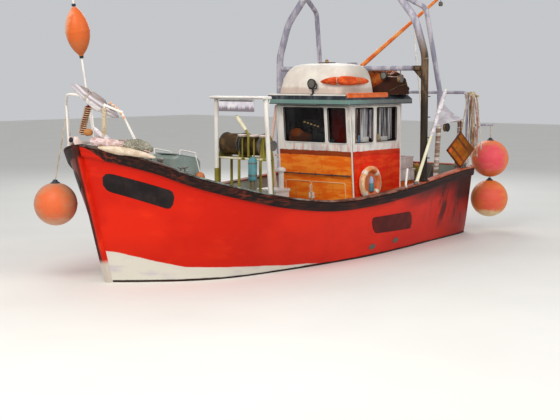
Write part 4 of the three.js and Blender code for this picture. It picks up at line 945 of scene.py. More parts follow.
def cloth(name, colour, light, dark, folds=9.0):
    """Weathered canvas: an even weave, soft creases and stains along them."""
    coat = Finish(name)
    weave = coat.noise(240, (1, 1, 0.4), detail=1)
    crease = coat.noise(folds, (0.5, 1, 1.6), detail=4, lobes=0.6, twist=0.8)
    shade = coat.mix(coat.rise(crease, 0.38, 0.62), colour, light)
    shade = coat.mix(coat.rise(coat.noise(4, detail=4), 0.55, 0.75) * 0.5, shade, dark)
    return coat.ground(shade, 0.85, None, crease * 2.0 + weave * 0.25, 0.006)


def float_paint(
        name, at, radius, facing=(0.6, 0.75, 0.1), centre="e64a4c", rim="ea7434", low="d9c8a0",
        hull="f0906a"):
    """Inflated plastic in rings of colour round the side that faces one way, and pale with growth underneath.
    """
    coat = Finish(name)
    x, y, z = coat.axes()
    face = Vector(facing).normalized()
    toward = ((x - at[0]) * face.x + (y - at[1]) * face.y + (z - at[2]) * face.z) / radius
    smear = coat.noise(5 / radius * 0.4, (1, 1, 2.4), detail=4) - 0.5
    shade = coat.mix(coat.rise(toward + smear * 0.6, 0.15, 0.70), rim, hull)
    shade = coat.mix(coat.rise(toward + smear * 0.8, 0.42, 0.98), shade, centre)
    under = coat.rise((z - at[2]) / radius * -1 + smear * 0.9, 0.5, 0.85)
    shade = coat.mix(under * 0.85, shade, low)
    scuff = coat.rise(coat.noise(22, (1, 1, 0.5), detail=4), 0.6, 0.75)
    shade = coat.mix(scuff * 0.3, shade, "8a4a36")
    return coat.ground(shade, smear * 0.2 + 0.36, None, scuff * -0.3 + smear, 0.002)


# Ropes, nets and canvas: the recipe, the name, and its colour, lighter colour and dirt, then what differs; a
# net's dirt colour also gives the painted shade in its gaps
SOFT_FINISHES = (
    (cordage, "rope_buff", "b49a78", "d8c8ac", "6a5238"),
    (cordage, "rope_white", "ddd6cc", "f0ece4", "8e8478"),
    (cordage, "rope_pink", "c79488", "e6cfc6", "7d5048"),
    (cordage, "rope_rust", "a2603f", "c98a62", "5a3020"),
    (cordage, "rope_blue", "5d8fae", "9cc2d6", "3a5366"),
    (cordage, "rope_dark", "4a3a2a", "6b5434", "241a12"),
    (twine, "net_pink", "b99486", "e4d6cc", "6d4a40", 22),
    (twine, "net_red", "b4451c", "dd7430", "4e2416", 20),
    (twine, "net_brown", "3d2a22", "5e4030", "1c1310", 24),
    (twine, "net_grey", "8d887c", "bdb8a6", "57513f", 24),
    (twine, "net_olive", "6b5a20", "94801f", "2c2410", 20),
    (cloth, "canvas_lilac", "b9b0b6", "e6e0e2", "8a7a76"),
    (cloth, "canvas_red", "c8441c", "ee6a34", "6a2412", 7),
    (cloth, "canvas_buff", "c0ab93", "d9c9b4", "8a7461", 7),
    (cloth, "canvas_pink", "b5958a", "d9c6c8", "7c5c54", 11),
    (cloth, "pennant_grey", "b9b2b8", "d6d0d4", "8d868c", 5),
)
for recipe, *chart in SOFT_FINISHES:
    paint[chart[0]] = recipe(*chart)


def drapes(name, colours):
    """Faded curtain cloth in upright strips. Noise drawn out along z gives strips without a repeat."""
    coat = Finish(name)
    strip = coat.noise(26, (1, 0.2, 0.02), detail=2)
    shade = coat.mix(coat.rise(strip, 0.40, 0.47), colours[0], colours[1])
    shade = coat.mix(coat.rise(strip, 0.52, 0.56), shade, colours[2])
    shade = coat.mix(coat.rise(strip, 0.60, 0.64), shade, colours[3])
    return coat.ground(shade, 0.9, None, coat.noise(240, (1, 1, 0.4), detail=1), 0.001)


paint["curtain"] = drapes("curtain", ("4c4644", "b9b6ba", "ece9e6", "7d5f50"))

# %% [markdown]
# ## The bow rail
# One bent tube runs round the nose of the foredeck on four legs, each on a small foot plate. The fore leg is
# served with rope from end to end, and a hank of line hangs from the rail beside it. The stem head carries a
# roller between two cheeks for the anchor rope.

# %% Bow rail and stem head
RAIL_TOP = [(4.64, 0.64, 2.78), (4.82, 0.45, 2.89), (5.07, 0.13, 3.045)]
FEET = [(4.40, 0.855), (4.82, 0.41)]
bow_rail = Shape()
bow_rail.tube(
    rounded(RAIL_TOP + [(5.11, 0, 3.06)] + [(x, -y, z) for x, y, z in RAIL_TOP[::-1]], 0.18), 0.02, 14)
for side in (1, -1):
    for (x, y), top in zip(FEET, RAIL_TOP):
        foot = Vector((x, side * y, sheer_z(x) + 0.032))
        head = Vector((top[0], side * top[1], top[2]))
        bow_rail.tube(rounded([foot, foot + Vector((0, 0, 0.05)), head], 0.03), 0.018, 12)
        bow_rail.turned(
            [(0.0, -0.004), (0.048, -0.004), (0.048, 0.006), (0.028, 0.012), (0.024, 0.03), (0.0, 0.03)],
            foot, sides=20)
        bow_rail.ball(head, 0.026, sides=14)
bow_rail.made("bow_rail", paint["white_gloss"], stands_for=("bow_pulpit",), slot="white_paint")


def winding(start, end, radius, turns, around):
    """A helix round a straight bar, as a rope is served round it."""
    start, end = Vector(start), Vector(end)
    way = (end - start).normalized()
    side = way.orthogonal().normalized()
    up = way.cross(side)
    steps, path = int(turns * around), []
    for k in range(steps + 1):
        a = 2 * math.pi * k / around
        path.append(start.lerp(end, k / steps) + (side * math.cos(a) + up * math.sin(a)) * radius)
    return path


def on_leg(i, side, t):
    x, y = FEET[i]
    foot = Vector((x, side * y, sheer_z(x) + 0.03))
    return foot.lerp(Vector((RAIL_TOP[i][0], side * RAIL_TOP[i][1], RAIL_TOP[i][2])), t)


rope(
    "leg_serving", [winding(on_leg(1, 1, 0.05), on_leg(1, 1, 0.93), 0.029, 26, 12)], 0.013,
    paint["rope_buff"])

# The hank: a core of dark line wound round with pale rope, slung from the rail, and a thin line beside it
HANK_TOP, HANK_FOOT = Vector((4.975, 0.25, 2.87)), Vector((4.99, 0.10, 2.44))
hank = Shape()
hank.tube([HANK_TOP, HANK_FOOT], [0.038, 0.042], 16)
hank.tube([HANK_TOP, Vector((4.975, 0.25, 2.97))], 0.008, 8)
hank.made("hank_core", paint["plate_maroon"], slot="canvas")
rope("hank", [winding(HANK_TOP, HANK_FOOT, 0.042, 13, 14)], 0.011, paint["rope_rust"])
rope("hank_outer", [winding(HANK_TOP, HANK_FOOT, 0.053, 13, 14)], 0.006, paint["rope_buff"])
rope(
    "bow_line", [[Vector((4.945, 0.285, 2.955)), Vector((4.92, 0.285, 2.70)), Vector((4.90, 0.28, 2.53))]],
    0.011, paint["rope_white"])

stem_head = Shape()
for y in (-0.062, 0.062):
    stem_head.cut([
        (4.72, 2.277), (5.10, 2.277), (5.125, 2.33), (5.11, 2.40), (5.03, 2.40), (4.98, 2.33),
        (4.72, 2.30)], "xz", (y - 0.007, y + 0.007), ease=0.003)
stem_head.cut([(4.72, 2.277), (5.03, 2.277), (5.03, 2.292), (4.72, 2.292)], "xz", (-0.055, 0.055), ease=0.002)
stem_head.turned(
    [(0.0, -0.053), (0.042, -0.053), (0.026, -0.02), (0.026, 0.02), (0.042, 0.053), (0.0, 0.053)],
    (5.075, 0, 2.345), "y", 24, material=1)
stem_head.turned(disc(0.013, -0.078, 0.078), (5.075, 0, 2.345), "y", 14)
stem_head.made(
    "stem_head", [paint["wheel_pink"], paint["dark_metal"]], stands_for=("stem_roller",), slot="steel")

# %% [markdown]
# ## Companion hood, bitts and small bow gear
# The hood over the fore cabin keeps its CAD shape and gets a sliding lid, a pair of doors aft and a grab
# rail. The bitts are turned posts with a bar through them, and hold the first turns of a mooring rope.

# %% Hood, bitts, fairleads
repaint("slate_green", paint["hood_green"], "companion_hood")
hood = Shape()
hood.cut([(2.56, 1.934), (3.06, 2.026), (3.06, 2.046), (2.55, 1.954)], "xz", (-0.24, 0.24), ease=0.006)
for y in (-0.215, 0.005):
    hood.box((2.506, y, 1.34), (2.519, y + 0.21, 1.84), 0.004)
    hood.box((2.498, y + 0.02, 1.44), (2.508, y + 0.19, 1.56), 0.003, material=1)
    hood.box((2.498, y + 0.02, 1.64), (2.508, y + 0.19, 1.76), 0.003, material=1)
for y in (-0.31, 0.31):
    hood.tube(
        rounded([(2.62, y * 0.97, 1.955), (2.62, y, 2.03), (3.02, y, 2.105), (3.02, y * 0.97, 2.02)], 0.03),
        0.011, 12, material=2)
hood.made(
    "hood_fittings", [paint["hood_green"], paint["roof_slate"], paint["white_gloss"]], slot="slate_green")

bitts = Shape()
foot_z = deck_z(3.32)
for y in (-0.14, 0.14):
    bitts.turned([
        (0.0, -0.01), (0.075, -0.01), (0.075, 0.012), (0.05, 0.02), (0.043, 0.06), (0.043, 0.34),
        (0.058, 0.37), (0.056, 0.39), (0.03, 0.402), (0.0, 0.404)], (3.32, y, foot_z + 0.004), sides=28)
bitts.turned([(0.0, -0.26), (0.022, -0.26), (0.024, -0.25), (0.024, 0.25), (0.022, 0.26), (0.0, 0.26)],
             (3.32, 0, foot_z + 0.29), "y", 18)
for side in (1, -1):
    for x in (3.9, -4.1):
        at = skin_point(station_at(x), sheer_z(x))
        z = sheer_z(x) + 0.032
        y = side * (at.y - 0.035)
        bitts.box((x - 0.11, y - 0.03, z - 0.002), (x + 0.11, y + 0.03, z + 0.012), 0.004)
        for dx in (-0.045, 0.045):
            bitts.turned(
                [(0.0, 0.0), (0.018, 0.0), (0.014, 0.05), (0.0, 0.052)], (x + dx, y, z + 0.01), sides=14)
        bitts.tube([
            (x - 0.12, y, z + 0.075), (x - 0.06, y, z + 0.062), (x + 0.06, y, z + 0.062),
            (x + 0.12, y, z + 0.075)], [0.008, 0.015, 0.015, 0.008], 12)
bitts.made("bitts_and_cleats", paint["drum_steel"], stands_for=("mooring_bitts",), slot="steel")

turns = []
for y, wraps in ((0.14, 4), (-0.14, 3)):
    turns.append(winding(
        (3.32, y, foot_z + 0.06), (3.32, y, foot_z + 0.06 + 0.024 * wraps), 0.056, wraps, 20))
rope("bitts_rope", turns, 0.012, paint["rope_white"])

# A float is hung beside the hood, clear of the hatch lid when that stands open
HOOD_FLOAT = Vector((2.64, 0.405, 1.62))
hood_float = Shape()
hood_float.ball(HOOD_FLOAT, 0.085, (1, 1, 1.15))
hood_float.tube(
    [HOOD_FLOAT + Vector((0, 0, 0.09)), (2.65, 0.355, 1.88), (2.66, 0.312, 2.03)], 0.006, 8, material=1)
dull_orange = float_paint("small_float", HOOD_FLOAT, 0.1, centre="b8683c", rim="a0542c", hull="b8744c")
hood_float.made("hood_float", [dull_orange, paint["rope_white"]], slot="buoy_orange")

# %% [markdown]
# ## Heaps of net
# A heap is a mound of folded net: its outline is the CAD solid's, its surface is folded by noise, and the
# ropes and floats that edge a net lie over it in loops. `Mound` gives the height of such a heap, so ropes can
# follow it.

# %% Mounds with ropes and floats on them
class Mound:
    """A folded mound over an ellipse. slope lets it lie on a raised deck; folds run along grain."""

    def __init__(self, at, halves, height, seed, slope=0.0, grain=(1.0, 2.2), depth=0.16):
        self.at, self.halves, self.height, self.slope = Vector(at), halves, height, slope
        self.seed, self.grain, self.depth = seed, grain, depth

    def point(self, angle, out, lift=0.0):
        """A point of the surface: angle round the middle, out from 0 at the top to 1 at the edge."""
        c, s = math.cos(angle), math.sin(angle)
        tall = math.cos(min(out, 1) * math.pi / 2) ** 0.75
        reach = math.sin(min(out, 1) * math.pi / 2)
        x, y, z = self.halves[0] * reach * c, self.halves[1] * reach * s, self.height * tall
        spot = Vector((x * self.grain[0] * 5, y * self.grain[1] * 5, z * 3 + self.seed * 7.3))
        fold = noise.fractal(spot, 1.0, 2.0, 4) * self.depth - self.depth * 0.35
        fold *= min(1.0, (1 - out) * 6)
        away = Vector((
            x / self.halves[0] ** 2, y / self.halves[1] ** 2, z / self.height ** 2 + 1e-6)).normalized()
        x, y, z = Vector((x, y, z)) + away * (fold * min(self.halves[0], self.height) + lift)
        return self.at + Vector((x, y, max(z, 0.0) + x * self.slope))

    def surface(self, around=96, down=30):
        rows = [
            [self.point(2 * math.pi * k / around, j / down) for k in range(around)]
            for j in range(1, down + 1)]
        rows.insert(0, [self.point(0, 0)] * around)
        feet = [(x - self.at.x, y - self.at.y) for x, y, _ in rows[-1]]
        rows.append([self.at + Vector((x, y, x * self.slope + 0.002)) for x, y in feet])
        return Shape().rows(rows)

    def loops(self, count, seed, lift, near=0.15, far=0.9):
        """Closed-looking curves of rope that wander over the mound."""
        draw = random.Random(seed)
        paths = []
        for _ in range(count):
            start, sweep = draw.uniform(0, 2 * math.pi), draw.uniform(1.2, 3.6) * draw.choice((-1, 1))
            a, b, wave = draw.uniform(near, far), draw.uniform(near, far), draw.uniform(0, 6)
            path = []
            for t in (k / 40 for k in range(41)):
                out = min(0.97, max(0.05, a + (b - a) * t + 0.10 * math.sin(wave + 7 * t)))
                path.append(self.point(start + sweep * t, out, lift))
            paths.append(path)
        return paths


slope = (TIP_Z - BREAK_Z) / (TIP_X - BREAK_X)
bow_heap = Mound((4.08, 0, deck_z(4.08) + 0.004), (0.61, 0.385), 0.46, 1, slope, (0.6, 2.6), 0.22)
heap_piece = bow_heap.surface().made("foredeck_net", paint["net_pink"], stands_for=("foredeck_net_heap",),
                                     slot="net_pink", smooth=60)
rope("foredeck_ropes", bow_heap.loops(9, 5, 0.006), 0.012, paint["rope_white"])
rope("foredeck_net_edges", bow_heap.loops(7, 11, 0.007), 0.014, paint["rope_pink"])
corks = Shape()
for path in bow_heap.loops(3, 23, 0.012):
    for point in path[4:36:5]:
        corks.ball(point, 0.032, (1.2, 1.2, 0.9), 14)
corks.made("foredeck_corks", float_paint("cork_float", (4.08, 0, 2.0), 0.5), slot="buoy_orange", smooth=60)

# %% [markdown]
# ## Canvas, furled and lashed
# Canvas rolled along a rail bulges between its lashings. The roll starts as a pinched tube with long creases.
# A short cloth simulation with a little air pressure then swells it, as folded cloth does when it is tied,
# and the lashings go on afterwards.

# %% Swollen canvas
def swollen(piece, voxel, cap, pressure=4.0, frames=20):
    """Runs cloth with air pressure on a piece, limits how far each point moves, and keeps the result."""
    scene = bpy.context.scene
    work = bpy.data.objects.new("work", piece.data.copy())
    scene.collection.objects.link(work)
    remesh = work.modifiers.new("even", "REMESH")
    remesh.mode, remesh.voxel_size = "VOXEL", voxel
    bpy.context.view_layer.update()
    even = bpy.data.meshes.new_from_object(work.evaluated_get(bpy.context.evaluated_depsgraph_get()))
    work.modifiers.clear()
    work.data = even
    before = [v.co.copy() for v in even.vertices]
    cloth_rule = work.modifiers.new("cloth", "CLOTH")
    cloth_rule.settings.quality = 5
    cloth_rule.settings.use_pressure = True
    cloth_rule.settings.uniform_pressure_force = pressure
    cloth_rule.settings.effector_weights.gravity = 0
    cloth_rule.settings.tension_stiffness = cloth_rule.settings.compression_stiffness = 12
    start = scene.frame_current
    for frame_number in range(1, frames + 1):
        scene.frame_set(frame_number)
    after = bpy.data.meshes.new_from_object(work.evaluated_get(bpy.context.evaluated_depsgraph_get()))
    for vertex, old in zip(after.vertices, before):
        move = vertex.co - old
        if move.length > cap:
            vertex.co = old + move.normalized() * cap
    scene.frame_set(start)
    bpy.data.objects.remove(work)
    after.materials.clear()
    for material in piece.data.materials:
        after.materials.append(material)
    after.shade_smooth()
    piece.data = after
    return piece


def canvas_roll(name, path, thick, finish, lashings, seed, slot, stands_for, taper=0.5, bend=0.2):
    """A roll along a path, pinched at its lashings, with creases along it."""
    path = rounded(path, bend, 8)
    reach = [0.0]
    for one, two in zip(path, path[1:]):
        reach.append(reach[-1] + (two - one).length)

    def ring(t, count, size):
        """One ring round the path at a share of its length; size gives the radius at an angle."""
        far = t * reach[-1]
        i = max(k for k in range(len(path) - 1) if reach[k] <= far or k == 0)
        middle = path[i].lerp(path[i + 1], (far - reach[i]) / (reach[i + 1] - reach[i]))
        turn = (path[min(i + 2, len(path) - 1)] - path[max(i - 1, 0)]).normalized()
        side = turn.cross(Vector((0, 0, 1))).normalized()
        up = side.cross(turn)
        return [middle + (side * math.cos(a) + up * math.sin(a)) * size(a) for a in angles(count)]

    def body(t):
        return thick * math.sin(math.pi * min(max(t, 0.004), 0.996)) ** taper

    rows = []
    for i in range(101):
        t = i / 100
        pinch = 1 - 0.26 * sum(math.exp(-((t - at) * reach[-1] / 0.035) ** 2) for at in lashings)
        rows.append(ring(t, 44, lambda a: body(t) * pinch * (0.86 + (0.5 + 0.5 * pinch) * 0.30 * noise.noise(
            Vector((3 * t, 2.6 * math.cos(a) + seed, 2.6 * math.sin(a)))))))
    piece = Shape().rows(rows).made(name, finish, stands_for=stands_for, slot=slot, smooth=60)
    swollen(piece, 0.011, thick * 0.10)
    if lashings:
        rope(name + "_lashings", [ring(at, 24, lambda a: body(at) * 0.80) for at in lashings], 0.007,
             paint["rope_buff"], closed=True)
    return piece


def bow_canvas_paint(fore, aft):
    """Furled canvas, streaked along its length: brown and dirty where rain lies on it, clean underneath."""
    coat = Finish("bow_canvas_paint")
    x, y, z = coat.axes()
    way = (aft - fore).normalized()
    out = way.cross(Vector((0, 0, 1))).normalized()
    up = out.cross(way)
    middle = fore.lerp(aft, 0.5)
    high = (x - middle.x) * up.x + (y - middle.y) * up.y + (z - middle.z) * up.z
    wide = (x - middle.x) * out.x + (y - middle.y) * out.y
    drift = coat.noise(3.5, detail=3)
    streak = coat.maths("SINE", high * 95 + wide * 30 + drift * 7)
    shade = coat.mix(coat.rise(streak, -0.5, 0.7), "a39a9d", "c9c2c6")
    shade = coat.mix(coat.rise(high + drift * 0.05, 0.045, 0.09) * 0.75, shade, "80706a")
    shade = coat.mix(coat.rise(high * -1 + drift * 0.05, 0.05, 0.09) * 0.8, shade, "e9e5e6")
    shade = coat.mix(coat.rise(coat.noise(9, detail=4), 0.58, 0.72) * 0.5, shade, "8a7a70")
    return coat.ground(shade, 0.85, None, streak * 0.5 + drift, 0.006)


BOW_CANVAS = [Vector((5.15, 0.06, 3.215)), Vector((4.60, 0.54, 2.685))]
canvas_roll("bow_canvas", BOW_CANVAS, 0.122, bow_canvas_paint(*BOW_CANVAS), (0.34, 0.70), 3, "canvas",
            ("furled_canvas",), 0.55)

# %% [markdown]
# ## Net and canvas over the rail
# The end of the net heap has been pulled over the port rail to dry. It is built as four soft folds that lie
# along the cap: a striped one forward, a grey lump, a long pale fold outside it and a corner of canvas that a
# line holds up.

# %% Folds over the port rail
SPILL = {
    "spill_fore": (
        [(4.94, 0.22, 2.335), (4.80, 0.42, 2.315), (4.60, 0.66, 2.26)], 0.085, "canvas_pink", 0.35),
    "spill_lump": ([(4.64, 0.64, 2.26), (4.45, 0.80, 2.25), (4.24, 0.92, 2.18)], 0.130, "net_grey", 0.45),
    "spill_long": (
        [(4.90, 0.36, 2.235), (4.60, 0.78, 2.165), (4.32, 1.06, 2.07)], 0.066, "canvas_buff", 0.42),
    "spill_corner": (
        [(4.905, 0.28, 2.555), (4.86, 0.35, 2.45), (4.74, 0.50, 2.35)], 0.055, "canvas_lilac", 0.60),}
for number, (name, (path, thick, finish, taper)) in enumerate(SPILL.items()):
    canvas_roll(name, path, thick, paint[finish], (), 20 + number, "net_pink", (), taper)
SPILL_EDGE = ((4.92, 0.26, 2.32), (4.78, 0.46, 2.27), (4.58, 0.72, 2.22), (4.36, 0.98, 2.10))
edges = [[Vector(spot) + Vector((0.02, 0.03, lift)) for spot in SPILL_EDGE] for lift in (-0.015, 0.055)]
rope("spill_edges", edges, 0.010, paint["rope_pink"])

# Small floats on a line that runs off the canvas and down the after leg of the rail
beside_leg = [on_leg(0, 1, t) + Vector((0.03, 0.03, 0)) for t in (0.86, 0.42)]
float_line = [Vector((4.72, 0.46, 2.93)), Vector((4.66, 0.60, 2.82)), *beside_leg]
rope("float_line", [float_line], 0.009, paint["rope_white"])
line_floats = Shape()
for t in (0.04, 0.16, 0.27, 0.37, 0.47, 0.62):
    spot = t * (len(float_line) - 1)
    at = float_line[int(spot)].lerp(float_line[int(spot) + 1], spot - int(spot))
    line_floats.ball(at, 0.020, (1, 1, 1.25), 14)
line_floats.ball((4.94, 0.20, 2.465), 0.070, (1.1, 1, 0.85), material=1)
peach = weathered("float_peach", "d99a6c", "e6b890", "8a5a3c", rough=0.5, patch=6.0)
brown = weathered("float_brown", "a8703e", "c08a54", "5a3a24", rough=0.5, patch=6.0)
line_floats.made("line_floats", [peach, brown], slot="buoy_orange")

# %% [markdown]
# ## Dan buoy and bow fender
# The dan marks the end of a fleet of nets: a long pole through a float, with a line that runs down to the
# deck. The fender is a ball with a moulded eye at its top, hung from the rail by a rope that its weight keeps
# straight.

# %% Dan buoy and fender
DAN_FOOT, DAN_TOP = Vector((4.13, -0.50, deck_z(4.13))), Vector((4.61, -0.50, 4.62))
dan = Shape()
dan.tube([DAN_FOOT.lerp(DAN_TOP, t) for t in (0, 0.3, 0.6, 1)], [0.018, 0.018, 0.017, 0.014], 14, material=1)
way = (DAN_TOP - DAN_FOOT).normalized()
side = way.orthogonal().normalized()
across = way.cross(side)
float_rows = []
for i in range(33):
    t = i / 32
    r = 0.195 * max(0.16, math.sin(math.pi * min(max(t, 0.02), 0.98)) ** 0.62)
    r *= 1 + 0.03 * math.exp(-((t - 0.5) / 0.012) ** 2)
    centre = DAN_FOOT.lerp(DAN_TOP, 0.655 + 0.28 * t)
    float_rows.append(circle(centre, side, across, r, 32))
dan.rows(float_rows)
# A collar below the float and one above it, as steps along the pole and radii
COLLAR = ((-0.008, 0.018), (-0.006, 0.034), (0.006, 0.034), (0.008, 0.018))
for t in (0.648, 0.945):
    dan.rows([circle(DAN_FOOT.lerp(DAN_TOP, t + d), side, across, r, 20) for d, r in COLLAR], material=2)
dan_paint = float_paint(
    "dan_paint", DAN_FOOT.lerp(DAN_TOP, 0.795), 0.25, (0.4, -0.9, 0.2), "e0a48c", "c8602c", "c26a3c",
    "d89878")
dan.made("dan_float", [dan_paint, paint["white_gloss"], paint["dark_metal"]], stands_for=("dan_buoy",),
         slot="buoy_orange")

FENDER = Vector((4.84, -0.74, 1.27))


def ball_buoy(name, at, radius, stands_for, rope_top, facing, centre, rim, low, hull="f0906a"):
    """An inflated ball with a ridge round its middle and a ribbed eye; its lanyard is pulled straight."""
    at, buoy = Vector(at), Shape()
    profile = []
    for k in range(41):
        a = math.pi * k / 40
        ridge = 1 + 0.012 * math.exp(-((a - math.pi / 2) / 0.03) ** 2)
        profile.append((radius * math.sin(a) * ridge, -radius * math.cos(a)))
    buoy.turned(profile, at, sides=48)
    top = radius - 0.012
    buoy.turned([(0.0, top), (0.085, top), (0.07, top + 0.018), (0.05, top + 0.024), (0.048, top + 0.036),
                 (0.036, top + 0.042), (0.034, top + 0.06), (0.0, top + 0.062)], at, sides=28, material=1)
    buoy.turned(
        [(0.0, -radius - 0.004), (0.05, -radius + 0.006), (0.06, -radius + 0.022), (0.0, -radius + 0.03)],
        at, sides=28, material=1)
    finish = float_paint(name + "_paint", at, radius, facing, centre, rim, low, hull)
    piece = buoy.made(
        name, [finish, paint["roof_slate"]], stands_for=(stands_for,), slot="buoy_orange", smooth=50)
    rope(name + "_lanyard", [at + Vector((0, 0, radius + 0.04)), Vector(rope_top)], 0.011, paint["rope_buff"])
    return piece


ball_buoy(
    "bow_ball", FENDER, 0.35, "bow_fender", (4.63, -0.66, 2.765), (0.75, 0.65, 0.1), "d8683c", "c08468",
    "cfa084", "c4805c")

# %% [markdown]
# ## Casing, hatch and shelter
# The hold casing and its lid keep their CAD shapes. Bolts along the coaming are one small form that Geometry
# Nodes set at even steps. The shelter is a goalpost of white tube whose feet are painted yellow, with a thin
# roof and a board hung under it.

# %% Casing, hatch bolts and shelter
repaint("deck_paint", paint["deck_grey"], "hold_casing")
repaint("deck_paint", paint["hood_green"], "hatch_lid")
bolt = Shape().turned(
    [(0.0, -0.002), (0.011, -0.002), (0.011, 0.005), (0.006, 0.009), (0.0, 0.0095)], (0, 0, 0), sides=8)
casing_edge = [
    (0.19, -0.71, 0.951), (0.19, 0.71, 0.951), (1.38, 0.71, 0.951), (2.21, 0.71, 0.951),
    (2.21, -0.71, 0.951)]
repeated("casing_bolts", casing_edge, 0.16, bolt, paint["drum_steel"], closed=True)

POST_X, BAR_Z = 1.08, 2.93
POST_FEET, POST_HEADS = (-0.64, 0.69), (-0.64, 0.555)
shelter = Shape()
for low, high in zip(POST_FEET, POST_HEADS):
    foot, head = Vector((POST_X, low, 0.952)), Vector((POST_X, high, BAR_Z + 0.004))
    shelter.tube([foot, head], 0.041, 20)
    shelter.turned(foot_plate(0.085, 0.012, 0.05, 0.02), (POST_X, low, 0.951), sides=24,
                   material=1)
    shelter.tube([foot.lerp(head, 0.85), head + Vector((-0.11, 0, 0))], 0.014, 10)
# The yellow sleeve on the foot of the starboard post
shelter.tube([(POST_X, POST_FEET[0], 0.952), (POST_X, POST_FEET[0], 1.64)], 0.0425, 20, material=1)
shelter.box((POST_X - 0.12, -0.71, BAR_Z), (POST_X + 0.12, 0.61, BAR_Z + 0.05), 0.02)
shelter.tube([(POST_X + 0.122, -0.70, BAR_Z + 0.025), (POST_X + 0.122, 0.60, BAR_Z + 0.025)], 0.014, 10)
shelter.made(
    "shelter", [paint["white_gloss"], paint["winch_olive"]], stands_for=("shelter_frame",),
    slot="white_paint")


def board_paint():
    """A white board, lavender in its shade, whose lower edge is frayed and dirty."""
    coat = Finish("shelter_board")
    z = coat.axes()[2]
    drip = coat.noise(22, (1, 1, 0.06), detail=3)
    cloud = coat.noise(4, detail=4)
    shade = coat.mix(coat.rise(cloud, 0.4, 0.62), "dcd5e0", "f6f2f6")
    low = coat.rise(2.78 - z + drip * 0.16, 0.05, 0.13)
    return coat.ground(coat.mix(low, shade, "8a7f86"), cloud * 0.2 + 0.45, None, drip, 0.002)


board = Shape()
board.box((POST_X + 0.047, -0.52, 2.70), (POST_X + 0.069, 0.33, 2.925), 0.005)
board.box((POST_X + 0.069, -0.50, 2.885), (POST_X + 0.076, 0.31, 2.905), 0.002, material=1)
board.made(
    "shelter_board_skin", [board_paint(), paint["drum_steel"]], stands_for=("shelter_board",),
    slot="white_paint")

# %% [markdown]
# ## The trawl winch
# The frame keeps its CAD shape. The drums are rebuilt so that each carries its wire, wound in close turns by
# the same helix that served the bow rail, and so that their flanges have rims and the warping heads their
# waists. The drums turn, so they ride on their own body. Brake wheels are small rims on four spokes.

# %% Winch drums, wire and brake wheels
WINCH_X, WINCH_Z, WIRE_TURNS = 0.79, 2.08, 12
repaint("winch_olive", paint["winch_olive"], "winch_frame")
drums = Shape()
for y0, y1 in ((-0.658, -0.212), (-0.168, 0.308)):
    drums.turned([
        (0.0, y0), (0.205, y0), (0.222, y0 + 0.004), (0.222, y0 + 0.016), (0.20, y0 + 0.02),
        (0.12, y0 + 0.022), (0.12, y1 - 0.022), (0.20, y1 - 0.02), (0.222, y1 - 0.016), (0.222, y1 - 0.004),
        (0.205, y1), (0.0, y1)], (WINCH_X, 0, WINCH_Z), "y", 40)
    for k in range(6):
        a = math.pi * k / 3
        at = (WINCH_X + 0.15 * math.cos(a), y1 + 0.003, WINCH_Z + 0.15 * math.sin(a))
        drums.turned([(0.0, -0.01), (0.016, -0.01), (0.013, 0.008), (0.0, 0.009)], at, "y", 6, material=1)
drums.turned(disc(0.03, -0.85, 0.50), (WINCH_X, 0, WINCH_Z), "y", 20)
for y in (-0.79, 0.44):
    drums.turned([
        (0.0, y - 0.07), (0.09, y - 0.07), (0.095, y - 0.06), (0.066, y - 0.02), (0.062, y),
        (0.066, y + 0.02), (0.095, y + 0.06), (0.09, y + 0.07),
        (0.0, y + 0.07)], (WINCH_X, 0, WINCH_Z), "y", 32)
drums.made("warp_drums", [paint["drum_steel"], paint["winch_olive"]], "winch_body", ("winch_drums",), "steel")


def wound_wire():
    """A strand with a plain round section, for wire that is too fine to show its lay."""
    wire = Shape()
    for y0, y1, full in ((-0.63, -0.24, 0.186), (-0.14, 0.28, 0.178)):
        for layer in (0.0, 0.012):
            path, last = [], 24 * WIRE_TURNS
            for k in range(last + 1):
                a, r = 2 * math.pi * k / 24, full - layer
                path.append(Vector((
                    WINCH_X + r * math.cos(a), y0 + (y1 - y0) * k / last, WINCH_Z + r * math.sin(a))))
            wire.tube(path, 0.0165, 6)
    return wire


wound_wire().made("warp_wire", paint["rope_dark"], "winch_body", slot="steel", smooth=60)

wheels = Shape()
for y in (-0.04, 0.24, 0.47):
    at = Vector((1.035, y, 2.268))
    rim = [at + Vector((0.076 * math.cos(a), 0.076 * math.sin(a), 0.004)) for a in angles(28)]
    wheels.tube(rim, 0.0115, 10, loop=True)
    for k in range(4):
        a = math.pi * k / 2 + y * 5
        wheels.tube([at, at + Vector((0.074 * math.cos(a), 0.074 * math.sin(a), 0.004))], 0.007, 8)
    wheels.turned([(0.0, -0.014), (0.02, -0.014), (0.02, 0.014), (0.008, 0.022), (0.0, 0.022)], at, sides=16)
    wheels.turned(
        [(0.086, -0.018), (0.086, -0.012), (0.07, -0.010), (0.02, -0.012), (0.02, -0.018)], at, sides=28)
wheels.made("brake_wheels", paint["wheel_pink"], slot="white_paint")

# A bearing cap on each side of a bracket, from the bracket out
BEARING = ((0.0, 0.012), (0.045, 0.012), (0.055, 0.016), (0.055, 0.03), (0.0, 0.03))
gear = Shape()
for y in (-0.68, -0.19, 0.33):
    for side in (-1, 1):
        cap = [(r, side * h) for r, h in BEARING[::side]]
        gear.turned(cap, (WINCH_X, y, WINCH_Z), "y", 20)
gear.box((0.62, -0.66, 1.822), (0.96, 0.31, 1.848), 0.006, material=1)
gear.box((0.955, -0.685, 1.815), (0.985, 0.485, 1.852), 0.006, material=2)
# The brake lever's grip, served so that it is thick in the hand
gear.tube(
    [(1.05, -0.16, 2.609), (1.05, -0.10, 2.54), (1.05, 0.06, 2.358)], [0.030, 0.040, 0.034], 16, material=2)
gear.made(
    "winch_bearings", [paint["dark_metal"], paint["winch_olive"], paint["staff_cream"]], slot="winch_olive")

